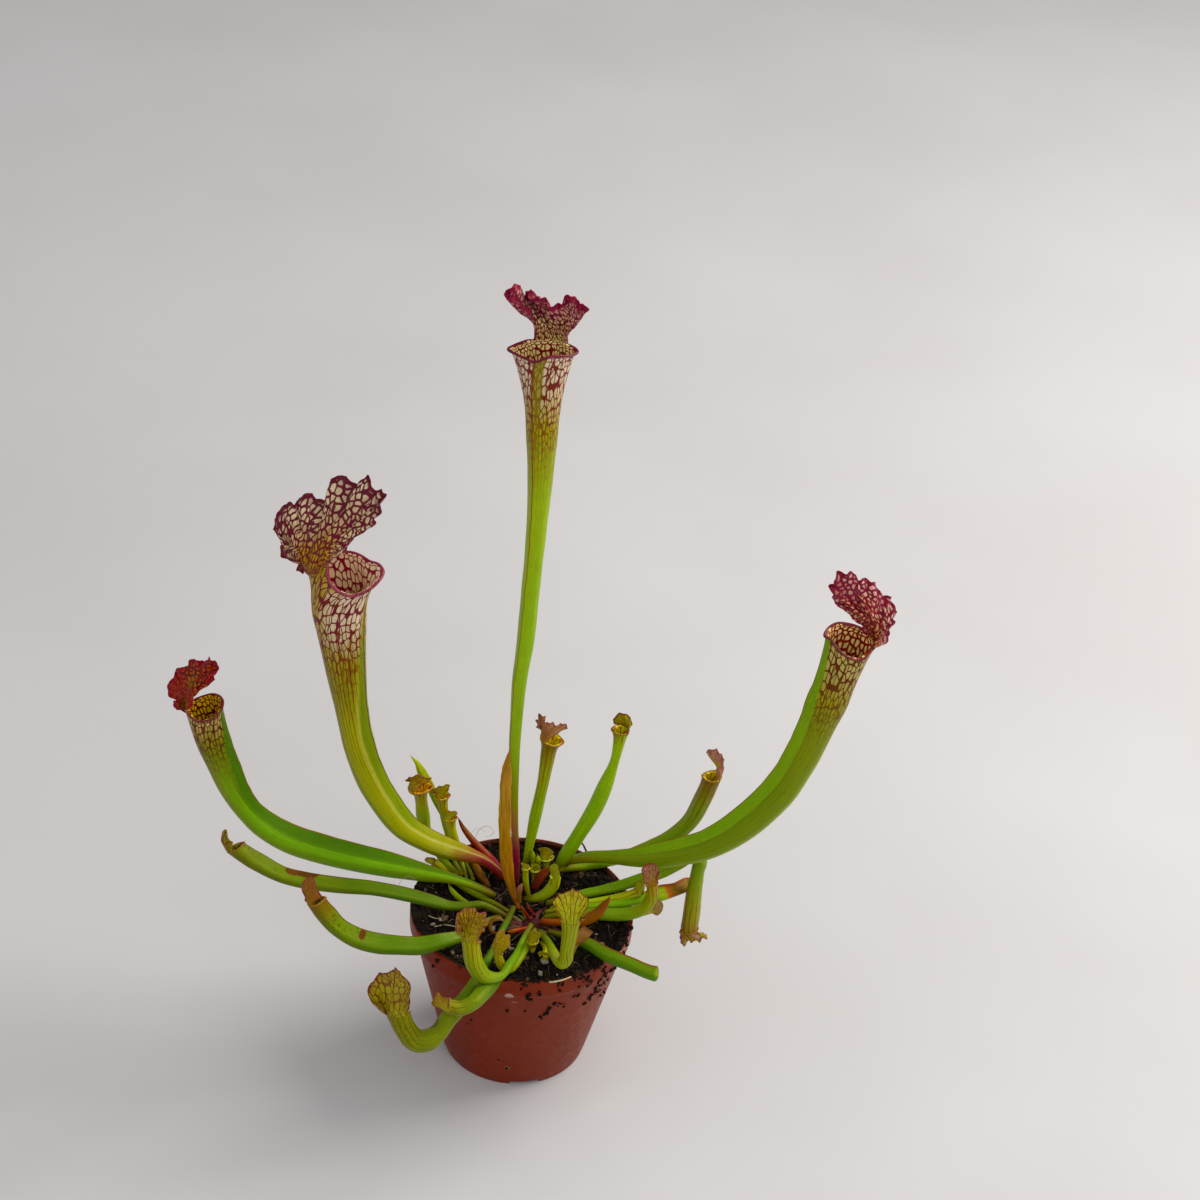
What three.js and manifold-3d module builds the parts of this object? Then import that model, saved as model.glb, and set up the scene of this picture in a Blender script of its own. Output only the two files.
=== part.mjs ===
// Pitcher plant in a round nursery pot. Millimetres, +Z up, origin at the centre of the pot's underside.
import * as THREE from 'three';
import { mergeVertices } from 'three/addons/utils/BufferGeometryUtils.js';
import Module from 'manifold-3d';

// ---------------------------------------------------------------- driving dimensions
const POT_HEIGHT = 69.4;          // underside to the top of the rim
const RIM_RADIUS = 45.0;          // outer radius of the rolled collar
const BASE_RADIUS = 29.4;         // outer radius at the underside
const COLLAR_HEIGHT = 8.2;        // depth of the collar below the rim
const COLLAR_STEP = 1.4;          // how far the collar stands out from the wall
const POT_WALL = 1.5;             // thickness of the wall
const POT_FLOOR = 1.6;            // thickness of the floor
const DRAIN_SLOTS = 4;            // slots round the foot
const DRAIN_WIDTH = 12.5;         // width of one slot
const DRAIN_TURN = -77;           // direction of the front slot, degrees from +X
const DRAIN_HEIGHT = 2.0;         // height of one slot
const SOIL_LEVEL = 66.6;          // mean height of the peat
const SOIL_GAP = 0.3;             // clearance between the peat and the pot
const WALL = 0.75;                // thickness of a pitcher's wall
const HOOD_THICKNESS = 0.8;       // thickness of a hood
const LEAF_GAP = 0.3;             // clearance kept between two leaves that touch
const POT_SEGMENTS = 32;

// ---------------------------------------------------------------- leaves
// Each leaf runs from its base to its tip or mouth. A row is one station along it:
// [x, y, z, tube radius, wing height, x, y, z of the direction in which the wing stands].
// mt: tilt of the mouth, flare: widening of the rim, spout: pulled-out lip at angle sa,
// open: 1 where the mouth is open and the tube hollow below it,
// th: half angle of the neck that carries the hood, hood: outline of the hood from one side
// of the neck round its tip to the other side, mouth: the rim of a big mouth, see mouthPoint.
const LEAVES = [
 {"name":"pitcher_center_tall","tier":0,"open":1,"kind":"tube","dead":0,"mt":0,"flare":1,"spout":0,"sa":-35,"th":38,
  "rows":[[-3.45,14.24,69.5,1.22,0.0,-0.463,-0.886,0.03],[-3.91,15.5,76.86,1.42,0.0,-0.463,-0.886,0.022],[-4.53,16.0,85.82,1.55,0.26,-0.46,-0.888,-0.015],[-5.44,16.0,96.62,1.51,0.39,-0.46,-0.888,-0.017],[-6.42,16.51,113.52,1.61,0.72,-0.461,-0.887,-0.005],[-7.55,17.01,136.08,2.17,1.18,-0.461,-0.887,-0.004],[-7.55,17.02,152.79,2.49,1.36,-0.46,-0.888,0.004],[-7.24,17.01,169.71,2.88,1.28,-0.46,-0.887,0.035],[-5.96,17.51,187.02,3.35,1.17,-0.461,-0.886,0.045],[-5.22,18.01,211.32,3.56,0.91,-0.461,-0.887,0.024],[-4.56,18.01,233.97,3.73,0.79,-0.46,-0.888,0.009],[-4.26,18.01,260.38,4.73,1.0,-0.461,-0.887,0.003],[-5.03,18.51,291.1,6.61,1.1,-0.462,-0.887,0.006],[-5.58,19.01,304.88,8.12,1.0,-0.462,-0.887,0.007],[-5.74,19.01,313.07,8.86,0.72,-0.46,-0.888,-0.005]],
  "mouth":[[-142.0,-10.3,26.01,314.14],[-110.0,-14.11,24.01,313.66],[-85.0,-17.14,21.01,313.58],[-62.0,-18.41,19.01,313.13],[-40.0,-14.92,15.01,313.61],[-20.0,-11.53,12.51,313.67],[0.0,-8.57,11.01,313.56],[30.0,-3.69,10.01,316.59],[60.0,0.51,11.51,316.35],[90.0,3.64,14.01,315.46],[115.0,5.95,18.01,315.1],[142.0,2.44,23.01,315.31],[180.0,-2.09,27.01,314.76]],
  "hood":[[-10.26,25.3,314.12],[-9.53,25.3,317.46],[-10.24,25.3,320.64],[-12.66,25.3,325.68],[-15.73,26.45,328.02],[-18.03,27.79,329.12],[-22.03,29.03,328.31],[-21.84,30.13,329.97],[-19.83,31.03,331.7],[-18.49,31.71,332.67],[-17.38,32.14,331.34],[-16.94,32.3,329.69],[-14.69,32.19,327.94],[-14.37,31.8,329.37],[-13.0,31.16,331.44],[-11.57,30.29,332.63],[-11.79,29.23,331.35],[-10.57,28.01,330.09],[-8.78,26.68,331.75],[-7.69,25.3,332.97],[-6.2,25.3,331.9],[-5.38,25.3,329.97],[-3.88,25.3,328.9],[-1.79,25.3,329.9],[-0.46,25.3,331.62],[0.13,25.3,333.68],[1.88,25.3,334.24],[3.73,25.3,333.2],[5.3,25.3,330.94],[5.78,25.3,328.98],[6.01,25.3,331.01],[8.22,25.3,330.0],[7.61,25.3,328.34],[7.71,25.3,326.73],[5.6,25.3,326.14],[3.91,25.3,324.37],[1.97,25.3,320.95],[1.42,25.3,318.05],[2.31,25.3,315.28]]},
 {"name":"pitcher_left_tall","tier":0,"open":1,"kind":"tube","dead":0,"mt":0,"flare":1,"spout":0,"sa":0,"th":36,
  "rows":[[-8.98,17.23,69.33,1.19,0.0,0.713,0.547,0.439],[-11.0,18.0,71.92,1.74,0.0,0.602,0.567,0.562],[-17.3,18.39,76.78,1.98,0.44,0.455,0.415,0.788],[-24.95,18.63,78.75,2.84,1.44,0.256,0.381,0.889],[-33.19,19.49,80.03,3.55,2.03,0.277,0.378,0.883],[-41.78,20.43,82.81,3.97,2.32,0.442,0.271,0.855],[-51.2,21.46,88.52,4.67,2.49,0.692,0.127,0.711],[-58.76,22.6,98.94,5.43,2.28,0.842,-0.048,0.538],[-64.97,23.76,110.54,5.78,1.91,0.909,-0.158,0.387],[-70.13,24.92,127.14,6.14,1.58,0.885,-0.397,0.245],[-73.86,25.96,146.85,6.73,1.35,0.888,-0.432,0.157],[-76.24,25.96,165.29,8.1,1.19,0.898,-0.426,0.109],[-77.92,25.97,181.8,9.69,0.93,0.896,-0.432,0.1],[-79.38,26.0,195.05,10.85,0.71,0.938,-0.336,0.09],[-79.99,26.01,205.18,11.72,0.49,0.977,-0.2,0.068]],
  "mouth":[[-160.0,-86.62,19.51,211.08],[-144.0,-82.79,19.01,215.2],[-125.0,-82.1,17.01,210.44],[-105.0,-79.2,15.51,206.7],[-80.0,-73.4,15.01,204.16],[-50.0,-67.51,16.51,205.79],[-25.0,-63.77,20.01,207.95],[0.0,-62.26,25.01,209.36],[14.0,-64.45,29.01,209.73],[30.0,-68.23,32.01,208.78],[55.0,-72.45,35.01,209.17],[85.0,-77.71,37.01,208.75],[115.0,-83.24,35.01,208.36],[144.0,-92.07,29.01,207.52],[162.0,-92.43,26.01,207.15],[180.0,-90.36,22.01,208.16]],
  "hood":[[-93.05,27.88,203.56],[-94.6,27.88,204.79],[-95.75,27.88,204.68],[-94.61,27.88,208.01],[-96.92,27.88,210.53],[-99.69,28.47,210.8],[-101.8,29.8,212.01],[-102.18,31.11,214.78],[-102.16,32.27,217.69],[-104.61,33.34,218.13],[-105.52,34.3,219.25],[-104.49,35.13,223.81],[-101.91,35.81,228.59],[-99.32,36.34,230.32],[-97.45,36.69,228.92],[-96.34,36.86,231.62],[-94.06,36.85,233.64],[-91.37,36.67,234.9],[-90.17,36.3,233.01],[-87.81,35.76,232.67],[-85.82,35.07,233.74],[-84.98,34.23,237.02],[-83.72,33.26,237.29],[-82.87,32.18,240.71],[-83.14,31.01,244.94],[-80.75,29.79,247.24],[-77.98,28.52,248.5],[-75.58,27.45,247.84],[-73.2,26.61,245.94],[-71.27,25.79,248.83],[-69.56,25.02,252.09],[-68.13,24.3,250.48],[-67.07,23.65,247.9],[-64.93,23.09,246.7],[-63.02,22.63,247.38],[-61.26,22.27,245.79],[-63.26,22.02,244.43],[-64.71,21.9,243.05],[-63.53,21.89,240.52],[-62.74,22.01,237.86],[-64.23,22.24,235.79],[-65.37,22.59,234.57],[-65.37,23.05,232.05],[-66.93,23.6,231.11],[-68.9,24.24,231.41],[-71.95,24.95,228.42],[-73.9,25.73,225.49],[-74.13,26.54,222.24],[-75.53,27.38,219.75],[-76.31,27.88,216.63],[-78.2,27.88,215.08],[-80.88,27.88,215.28],[-82.76,27.88,212.82],[-83.88,27.88,209.51]]},
 {"name":"pitcher_left_far","tier":0,"open":1,"kind":"tube","dead":0,"mt":0,"flare":1,"spout":0,"sa":0,"th":34,
  "rows":[[-11.32,4.0,71.22,1.09,0.0,0.369,0.536,0.759],[-14.23,3.96,72.57,1.49,0.16,0.345,0.543,0.766],[-21.53,4.91,74.96,1.55,0.34,0.277,0.538,0.796],[-29.8,5.76,76.32,1.76,0.88,0.164,0.554,0.816],[-40.72,7.38,75.97,2.62,2.25,0.129,0.558,0.82],[-53.71,9.04,76.26,3.36,3.48,0.118,0.484,0.867],[-67.63,10.89,76.62,3.67,4.17,0.121,0.447,0.887],[-80.9,12.86,77.63,3.88,4.44,0.18,0.404,0.897],[-96.19,14.95,80.56,4.08,4.27,0.31,0.375,0.874],[-106.98,17.26,85.6,4.17,3.65,0.544,0.253,0.8],[-114.09,18.49,92.42,4.05,3.1,0.779,0.097,0.62],[-120.01,19.64,102.04,4.74,3.18,0.903,-0.104,0.416],[-124.87,19.76,116.17,5.58,2.97,0.931,-0.175,0.321],[-128.51,19.79,127.58,6.18,2.51,0.946,-0.168,0.278],[-131.06,19.9,140.04,6.78,1.25,0.953,-0.184,0.24]],
  "mouth":[[-146.0,-136.96,15.9,142.55],[-120.0,-134.67,13.9,141.32],[-90.0,-131.27,13.4,139.83],[-60.0,-127.0,13.9,141.11],[-30.0,-123.96,15.9,143.36],[0.0,-123.23,18.9,145.63],[22.0,-124.87,22.9,145.23],[50.0,-127.67,25.4,144.35],[85.0,-131.03,26.4,142.8],[115.0,-134.94,25.9,141.05],[146.0,-137.4,23.9,140.06],[180.0,-138.67,19.9,140.9]],
  "hood":[[-138.51,20.9,137.73],[-140.46,20.9,139.5],[-142.43,20.9,139.79],[-142.99,21.06,142.56],[-141.67,21.41,142.68],[-144.16,22.25,144.02],[-145.48,23.27,146.08],[-145.4,24.34,149.21],[-144.07,24.7,150.06],[-142.94,25.27,152.19],[-142.79,25.79,154.26],[-140.92,25.52,156.33],[-138.84,24.95,156.94],[-137.47,24.15,159.82],[-136.87,23.17,161.77],[-134.71,22.07,163.01],[-132.55,20.9,163.33],[-130.48,20.2,162.83],[-129.36,19.54,165.33],[-129.04,18.95,166.97],[-127.41,18.47,166.75],[-126.2,18.13,165.21],[-124.65,17.94,162.15],[-126.41,17.91,161.51],[-126.26,18.05,159.51],[-126.56,18.47,156.77],[-129.24,19.14,155.54],[-131.75,19.84,153.09],[-133.46,20.4,150.33],[-134.34,20.8,148.5],[-134.59,20.9,146.94],[-135.8,20.9,145.35],[-135.85,20.9,142.41]]},
 {"name":"pitcher_right_big","tier":0,"open":1,"kind":"tube","dead":0,"mt":0,"flare":1,"spout":0,"sa":0,"th":34,
  "rows":[[10.55,26.35,69.1,1.11,0.0,-0.51,0.733,0.451],[13.61,27.96,70.79,1.66,0.17,-0.219,0.862,0.458],[19.45,25.84,74.99,1.66,0.59,-0.216,0.686,0.694],[25.74,22.66,79.05,1.83,1.22,-0.163,0.604,0.78],[34.62,17.53,83.89,1.99,1.7,-0.123,0.581,0.805],[44.34,12.28,88.52,2.64,2.6,-0.181,0.549,0.816],[54.71,8.53,93.24,3.48,3.58,-0.259,0.553,0.792],[64.99,5.97,98.83,3.83,3.95,-0.361,0.526,0.77],[73.41,4.53,104.47,4.04,4.0,-0.546,0.41,0.73],[82.81,3.57,113.43,4.64,4.04,-0.694,0.32,0.645],[91.72,3.16,124.82,4.97,3.96,-0.796,0.246,0.553],[99.14,3.32,137.27,5.28,3.64,-0.892,0.144,0.428],[104.67,3.58,152.21,5.44,3.23,-0.95,-0.039,0.31],[108.73,4.22,166.95,5.91,3.14,-0.954,-0.158,0.254],[112.06,4.75,181.03,6.73,2.93,-0.959,-0.167,0.228],[114.51,5.31,193.48,6.94,2.4,-0.959,-0.181,0.219],[116.76,5.93,205.62,7.56,1.4,-0.947,-0.234,0.221]],
  "mouth":[[-146.0,122.89,9.43,210.0],[-115.0,119.09,11.43,210.77],[-85.0,114.93,12.43,211.05],[-55.0,111.1,11.93,211.24],[-25.0,108.09,9.43,210.61],[0.0,106.52,4.93,210.13],[25.0,108.7,2.43,210.25],[50.0,111.56,0.43,207.81],[80.0,115.99,-0.57,205.05],[110.0,120.61,-0.07,204.23],[146.0,123.91,2.93,205.89],[180.0,126.44,5.93,207.72]],
  "hood":[[121.21,7.35,210.81],[119.43,7.35,216.13],[117.83,7.35,218.47],[115.76,7.35,218.5],[114.28,7.16,219.85],[114.57,6.66,222.02],[112.08,6.11,223.96],[109.71,5.65,224.94],[108.22,5.25,224.85],[107.26,4.91,226.56],[107.21,4.64,228.53],[109.04,4.45,230.4],[109.03,4.36,232.03],[107.3,4.36,232.54],[105.77,4.44,233.0],[106.78,4.62,233.87],[106.97,4.88,235.5],[107.9,5.22,237.15],[109.65,5.62,238.17],[111.56,6.07,237.83],[113.34,6.57,238.56],[114.63,7.08,237.24],[114.21,7.78,234.73],[115.89,8.65,233.42],[117.69,9.47,234.17],[119.65,10.23,233.63],[121.73,10.89,232.05],[123.73,11.45,231.2],[124.77,11.89,228.98],[125.4,12.18,227.04],[127.5,12.33,225.34],[129.35,12.32,225.53],[130.42,12.16,223.02],[131.78,11.86,221.09],[132.44,11.41,218.72],[131.15,10.32,216.61],[132.42,9.73,215.31],[130.34,8.69,213.54],[130.12,8.06,212.11],[130.71,7.55,210.23],[129.86,7.35,207.99],[127.59,7.35,208.0],[125.81,7.35,207.13],[124.34,7.35,203.75]]},
 {"name":"leaf_left_mid","tier":1,"open":0,"kind":"tube","dead":0,"mt":20,"flare":1.05,"spout":0.1,"sa":0,"th":40,
  "rows":[[-5.56,-7.9,70.8,0.99,0.0,0.427,0.533,0.73],[-10.71,-8.0,73.89,1.34,0.0,0.392,0.521,0.758],[-16.18,-9.04,76.98,1.38,0.15,0.118,0.536,0.836],[-21.47,-10.1,76.54,1.53,0.34,-0.096,0.543,0.834],[-28.58,-11.34,76.42,1.4,1.2,0.081,0.569,0.818],[-36.42,-12.58,78.68,1.57,2.09,0.196,0.578,0.792],[-44.75,-13.66,81.39,1.62,2.35,0.154,0.569,0.808],[-58.88,-14.68,84.21,1.7,2.46,0.071,0.554,0.829],[-72.75,-14.75,84.32,1.87,2.7,0.038,0.558,0.829],[-86.11,-14.74,85.38,2.01,2.68,0.118,0.553,0.825],[-95.74,-14.65,87.72,2.16,2.43,0.314,0.536,0.784],[-106.08,-13.58,92.83,2.65,2.27,0.439,0.509,0.74],[-111.44,-12.37,96.08,2.97,1.48,0.491,0.493,0.718],[-114.02,-12.17,98.37,3.19,0.71,0.513,0.489,0.705]],
  "mouth":[],
  "hood":[[-116.0,-13.42,97.28],[-118.36,-13.25,99.93],[-119.19,-12.81,102.53],[-118.72,-12.99,106.25],[-117.45,-13.42,108.73],[-116.68,-13.42,107.81],[-116.32,-13.42,104.33],[-114.37,-13.42,102.51]]},
 {"name":"leaf_left_low","tier":1,"open":0,"kind":"tube","dead":1,"mt":10,"flare":1,"spout":0,"sa":0,"th":50,
  "rows":[[-7.58,-7.69,70.8,0.89,0.0,0.143,0.234,0.962],[-12.6,-14.09,72.95,1.44,0.32,-0.168,0.325,0.931],[-17.38,-20.24,72.96,1.77,0.89,-0.403,0.402,0.823],[-22.69,-25.43,72.82,1.8,1.54,-0.276,0.465,0.841],[-29.87,-30.62,73.79,2.03,2.28,-0.24,0.529,0.814],[-37.93,-33.79,72.99,2.31,2.83,-0.141,0.54,0.83],[-46.15,-35.85,73.98,2.28,3.03,0.002,0.556,0.831],[-54.71,-36.91,74.86,2.47,3.29,0.131,0.549,0.825],[-63.15,-37.81,77.97,2.54,3.11,0.359,0.523,0.773],[-70.76,-37.57,83.2,2.5,2.69,0.616,0.427,0.662],[-75.89,-37.4,90.06,2.8,2.4,0.77,0.335,0.542],[-79.11,-37.21,95.92,3.0,1.5,0.809,0.286,0.513]],
  "mouth":[],
  "hood":[[-82.31,-37.9,95.96],[-83.5,-37.9,100.37],[-83.91,-37.9,104.84],[-82.38,-37.9,107.99],[-80.47,-37.9,108.69],[-78.91,-37.9,106.36],[-78.11,-37.9,102.94],[-76.16,-37.9,99.64]]},
 {"name":"pitcher_front_droop","tier":1,"open":1,"kind":"tube","dead":0,"mt":20,"flare":1.03,"spout":0.1,"sa":0,"th":75,
  "rows":[[-3.37,-2.18,71.0,1.17,0.0,-0.907,0.202,0.369],[-5.02,-10.0,71.22,1.34,0.0,-0.924,0.227,0.309],[-6.95,-18.0,71.92,1.35,0.0,-0.959,0.225,0.172],[-9.59,-31.0,72.83,1.32,0.14,-0.974,0.223,0.038],[-11.75,-40.04,73.5,1.57,0.35,-0.916,0.256,0.31],[-14.72,-50.07,72.77,1.98,0.54,-0.893,0.257,0.369],[-17.74,-57.09,70.21,2.59,0.84,-0.872,0.324,0.368],[-20.86,-61.08,67.33,3.04,0.99,-0.82,0.391,0.419],[-23.6,-64.08,65.13,3.04,0.99,-0.838,0.337,0.428],[-26.58,-67.14,61.03,3.11,0.86,-0.761,0.495,0.418],[-30.7,-69.23,58.43,4.04,0.99,-0.349,0.818,0.457],[-35.49,-69.22,57.95,4.43,1.01,0.199,0.958,0.205],[-39.77,-68.11,62.44,4.24,0.78,0.277,0.956,-0.096],[-42.72,-66.03,67.64,4.29,0.59,0.305,0.933,-0.191]],
  "mouth":[],
  "hood":[[-48.08,-69.23,71.35],[-50.05,-69.23,74.22],[-52.02,-69.07,75.91],[-53.84,-68.27,76.52],[-54.73,-67.42,78.2],[-54.66,-66.75,80.4],[-53.96,-66.47,82.01],[-52.48,-66.55,84.53],[-51.36,-66.88,87.48],[-50.18,-67.69,89.85],[-47.82,-68.7,91.01],[-45.88,-69.4,92.35],[-44.74,-69.74,93.53],[-44.16,-70.01,95.59],[-42.81,-70.17,93.62],[-42.2,-70.13,91.89],[-40.48,-70.01,90.46],[-38.73,-69.79,88.18],[-38.27,-69.5,83.91],[-38.76,-69.27,80.09],[-38.3,-69.23,77.04],[-38.59,-69.23,73.93]]},
 {"name":"pitcher_front_left","tier":1,"open":1,"kind":"tube","dead":0,"mt":20,"flare":1.02,"spout":0.1,"sa":0,"th":72,
  "rows":[[4.34,-12.28,71.3,1.13,0.0,-0.804,0.238,0.545],[1.93,-21.0,71.55,1.15,0.0,-0.9,0.233,0.369],[0.01,-31.0,72.57,1.42,0.0,-0.877,0.26,0.405],[-2.23,-42.03,75.81,1.7,0.18,-0.81,0.325,0.488],[-4.73,-49.05,76.47,1.51,0.26,-0.642,0.51,0.572],[-8.55,-52.1,77.53,2.19,0.38,-0.074,0.701,0.709],[-12.15,-53.13,79.55,3.17,0.49,0.367,0.82,0.44],[-15.33,-53.08,84.93,3.48,0.42,0.567,0.806,0.166],[-16.68,-52.04,90.07,3.46,0.41,0.563,0.825,-0.05],[-17.4,-51.01,94.46,3.54,0.34,0.583,0.808,-0.086]],
  "mouth":[],
  "hood":[[-20.89,-53.3,98.63],[-21.22,-53.3,102.11],[-22.09,-53.0,104.25],[-22.96,-52.49,105.97],[-23.06,-52.09,107.85],[-21.63,-52.05,109.96],[-19.76,-52.38,111.44],[-18.25,-52.95,112.83],[-16.68,-53.63,112.83],[-15.08,-54.14,111.95],[-12.21,-54.56,111.87],[-11.93,-54.44,109.57],[-11.46,-54.09,106.83],[-12.13,-53.6,103.83],[-13.19,-53.3,101.46],[-13.89,-53.3,99.88]]},
 {"name":"pitcher_front_over_rim","tier":1,"open":0,"kind":"tube","dead":0,"mt":0,"flare":1,"spout":0.1,"sa":0,"th":60,
  "rows":[[2.73,-17.64,70.8,0.99,0.0,-0.878,0.196,0.437],[-0.2,-29.0,69.99,1.15,0.0,-0.896,0.25,0.368],[-3.25,-39.0,70.73,1.53,0.0,-0.814,0.333,0.476],[-5.53,-45.03,71.92,1.57,0.16,-0.74,0.419,0.526],[-8.97,-53.1,73.49,2.66,0.46,-0.659,0.427,0.619],[-12.0,-59.11,74.46,2.94,0.51,-0.632,0.398,0.665],[-14.7,-64.11,74.62,2.75,0.48,-0.549,0.446,0.707],[-19.16,-66.63,73.72,2.73,0.47,-0.175,0.513,0.84],[-23.69,-67.07,74.68,2.56,0.27,0.107,0.52,0.848]],
  "mouth":[],
  "hood":[[-26.49,-68.13,74.24],[-28.82,-68.13,75.52],[-30.12,-68.13,76.67],[-29.34,-68.13,79.56],[-28.64,-68.13,81.68],[-27.91,-68.13,82.52],[-26.71,-68.13,80.87],[-25.18,-68.13,80.52],[-23.64,-68.13,80.18]]},
 {"name":"pitcher_front_small_curl","tier":1,"open":0,"kind":"tube","dead":0,"mt":20,"flare":1.02,"spout":0.1,"sa":0,"th":72,
  "rows":[[6.11,-14.79,71.3,0.99,0.0,-0.87,0.214,0.444],[3.6,-25.0,71.32,1.42,0.0,-0.882,0.244,0.402],[0.9,-33.02,70.75,1.5,0.16,-0.868,0.346,0.357],[-1.87,-38.58,70.84,1.7,0.3,-0.381,0.529,0.758],[-4.69,-40.08,72.78,1.79,0.32,0.287,0.818,0.498],[-6.43,-40.05,75.89,1.81,0.27,0.595,0.795,0.12],[-7.21,-39.02,78.59,1.77,0.21,0.617,0.779,-0.112]],
  "mouth":[],
  "hood":[[-8.78,-40.12,82.26],[-9.09,-40.11,84.79],[-8.24,-39.93,87.28],[-7.62,-39.7,90.21],[-6.7,-39.71,91.34],[-5.3,-39.97,90.7],[-4.45,-40.25,89.5],[-2.87,-40.49,89.37],[-2.97,-40.47,87.3],[-2.68,-40.33,85.16],[-3.55,-40.13,82.83],[-5.25,-40.12,81.61]]},
 {"name":"pitcher_front_center","tier":1,"open":1,"kind":"tube","dead":0,"mt":20,"flare":1.02,"spout":0.1,"sa":0,"th":80,
  "rows":[[7.98,-16.07,71.3,0.99,0.0,0.563,0.424,0.709],[10.84,-21.0,71.98,1.55,0.0,0.704,0.414,0.576],[13.27,-28.0,73.42,1.89,0.0,0.732,0.372,0.571],[15.6,-34.06,74.21,2.08,0.22,0.454,0.374,0.809],[17.97,-37.59,75.06,2.48,0.32,-0.014,0.642,0.767],[19.29,-38.06,77.62,2.77,0.38,-0.319,0.938,0.135],[19.51,-38.03,82.07,2.72,0.5,-0.004,1.0,0.0],[19.93,-38.0,89.61,3.03,0.42,-0.063,0.998,0.002],[20.06,-38.0,96.77,3.59,0.33,-0.132,0.991,0.003]],
  "mouth":[],
  "hood":[[15.76,-40.84,102.31],[14.47,-40.84,104.68],[13.19,-40.74,106.72],[12.7,-40.51,108.47],[13.69,-40.32,110.92],[15.14,-40.24,112.25],[16.99,-40.26,113.46],[18.86,-40.38,114.25],[19.89,-40.55,116.25],[21.14,-40.84,114.89],[22.69,-40.58,114.33],[24.3,-40.38,112.84],[25.74,-40.26,111.14],[26.43,-40.27,109.47],[25.98,-40.42,107.55],[25.57,-40.6,105.15],[25.28,-40.77,103.75],[25.22,-40.84,101.8],[23.85,-40.84,102.16]]},
 {"name":"leaf_right_cut","tier":1,"open":0,"kind":"blade","dead":0,"mt":0,"flare":1,"spout":0,"sa":0,"th":0,
  "rows":[[11.33,-15.24,71.2,1.07,0.0,0.147,0.601,0.786],[16.75,-17.44,71.7,1.2,0.27,0.192,0.624,0.757],[26.03,-22.85,73.19,1.9,0.95,0.362,0.668,0.651],[36.13,-31.78,74.79,2.12,1.41,0.347,0.608,0.714],[45.21,-37.46,75.97,2.13,1.42,0.293,0.614,0.733],[51.3,-41.65,76.94,2.15,1.43,0.227,0.596,0.77],[55.47,-43.51,77.66,2.39,1.35,0.137,0.594,0.793]],
  "mouth":[],
  "hood":[]},
 {"name":"pitcher_right_hanging","tier":1,"open":0,"kind":"tube","dead":1,"mt":0,"flare":1.05,"spout":0,"sa":0,"th":70,
  "rows":[[9.48,1.65,71.2,1.08,0.0,-0.378,0.542,0.751],[16.35,2.97,73.62,1.16,0.12,-0.312,0.524,0.793],[24.12,5.85,73.83,1.58,0.56,-0.26,0.547,0.796],[31.31,7.74,74.7,1.47,0.98,-0.289,0.535,0.794],[39.51,9.65,76.38,1.55,1.32,-0.342,0.526,0.779],[47.63,11.62,78.93,1.72,1.48,-0.385,0.517,0.765],[55.42,13.67,81.7,1.92,1.28,-0.46,0.501,0.733],[62.79,15.32,86.44,1.96,0.69,-0.538,0.508,0.673],[66.97,15.88,89.98,1.96,0.43,-0.216,0.618,0.756],[69.73,15.45,88.7,2.8,0.36,0.923,0.246,0.297],[69.42,14.49,83.53,2.6,0.27,0.996,0.063,-0.066],[68.8,13.49,72.96,3.09,0.32,0.999,0.038,-0.034],[68.71,12.99,62.18,3.3,0.35,0.999,0.043,-0.022],[68.49,12.99,54.88,3.29,0.2,0.996,0.08,-0.04]],
  "mouth":[],
  "hood":[[65.12,12.78,53.36],[65.19,12.78,50.11],[65.46,12.78,46.88],[67.26,12.78,45.16],[68.78,12.78,46.69],[70.37,12.78,47.4],[72.82,12.78,47.67],[74.31,12.78,49.46],[76.05,12.78,50.73],[75.71,12.78,52.32],[74.48,12.78,52.19],[73.38,12.78,50.71],[71.72,12.78,50.81],[70.77,12.78,52.33],[71.9,12.78,53.54]]},
 {"name":"leaf_right_dead_tip","tier":1,"open":0,"kind":"blade","dead":0,"mt":0,"flare":1,"spout":0,"sa":0,"th":0,
  "rows":[[9.42,-3.76,71.2,0.99,0.0,-0.228,0.425,0.876],[17.5,-1.15,71.9,1.1,0.24,-0.202,0.552,0.809],[25.75,-0.63,72.76,1.25,0.62,-0.161,0.557,0.815],[36.54,0.86,73.76,1.3,1.11,-0.213,0.557,0.803],[47.7,4.56,74.35,1.44,1.62,-0.269,0.536,0.8],[55.15,8.0,74.3,2.0,2.67,-0.262,0.474,0.84],[60.88,11.41,74.26,1.71,2.28,-0.159,0.427,0.89],[65.75,18.34,71.39,1.77,2.37,-0.217,0.439,0.872],[70.38,20.64,72.51,1.51,1.29,-0.246,0.522,0.816],[72.78,21.96,72.53,0.76,0.17,-0.116,0.63,0.768]],
  "mouth":[],
  "hood":[]},
 {"name":"pitcher_right_upright","tier":1,"open":0,"kind":"tube","dead":0,"mt":15,"flare":1,"spout":0.1,"sa":0,"th":75,
  "rows":[[9.22,-7.0,71.2,1.08,0.0,-0.231,0.624,0.746],[16.31,-7.0,73.4,1.3,0.0,-0.208,0.562,0.8],[22.87,-7.04,74.68,1.53,0.16,-0.112,0.55,0.828],[30.06,-7.11,75.09,2.21,0.38,-0.048,0.556,0.83],[36.68,-7.14,75.35,2.28,0.51,-0.112,0.548,0.829],[43.42,-7.14,76.85,2.36,0.52,-0.313,0.519,0.796],[48.68,-7.1,80.07,2.35,0.52,-0.672,0.376,0.638],[51.09,-7.05,84.95,2.38,0.44,-0.784,0.577,0.227],[51.31,-7.02,89.44,2.36,0.39,-0.671,0.741,-0.001],[51.0,-7.0,92.8,2.29,0.3,-0.64,0.767,-0.05]],
  "mouth":[],
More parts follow.
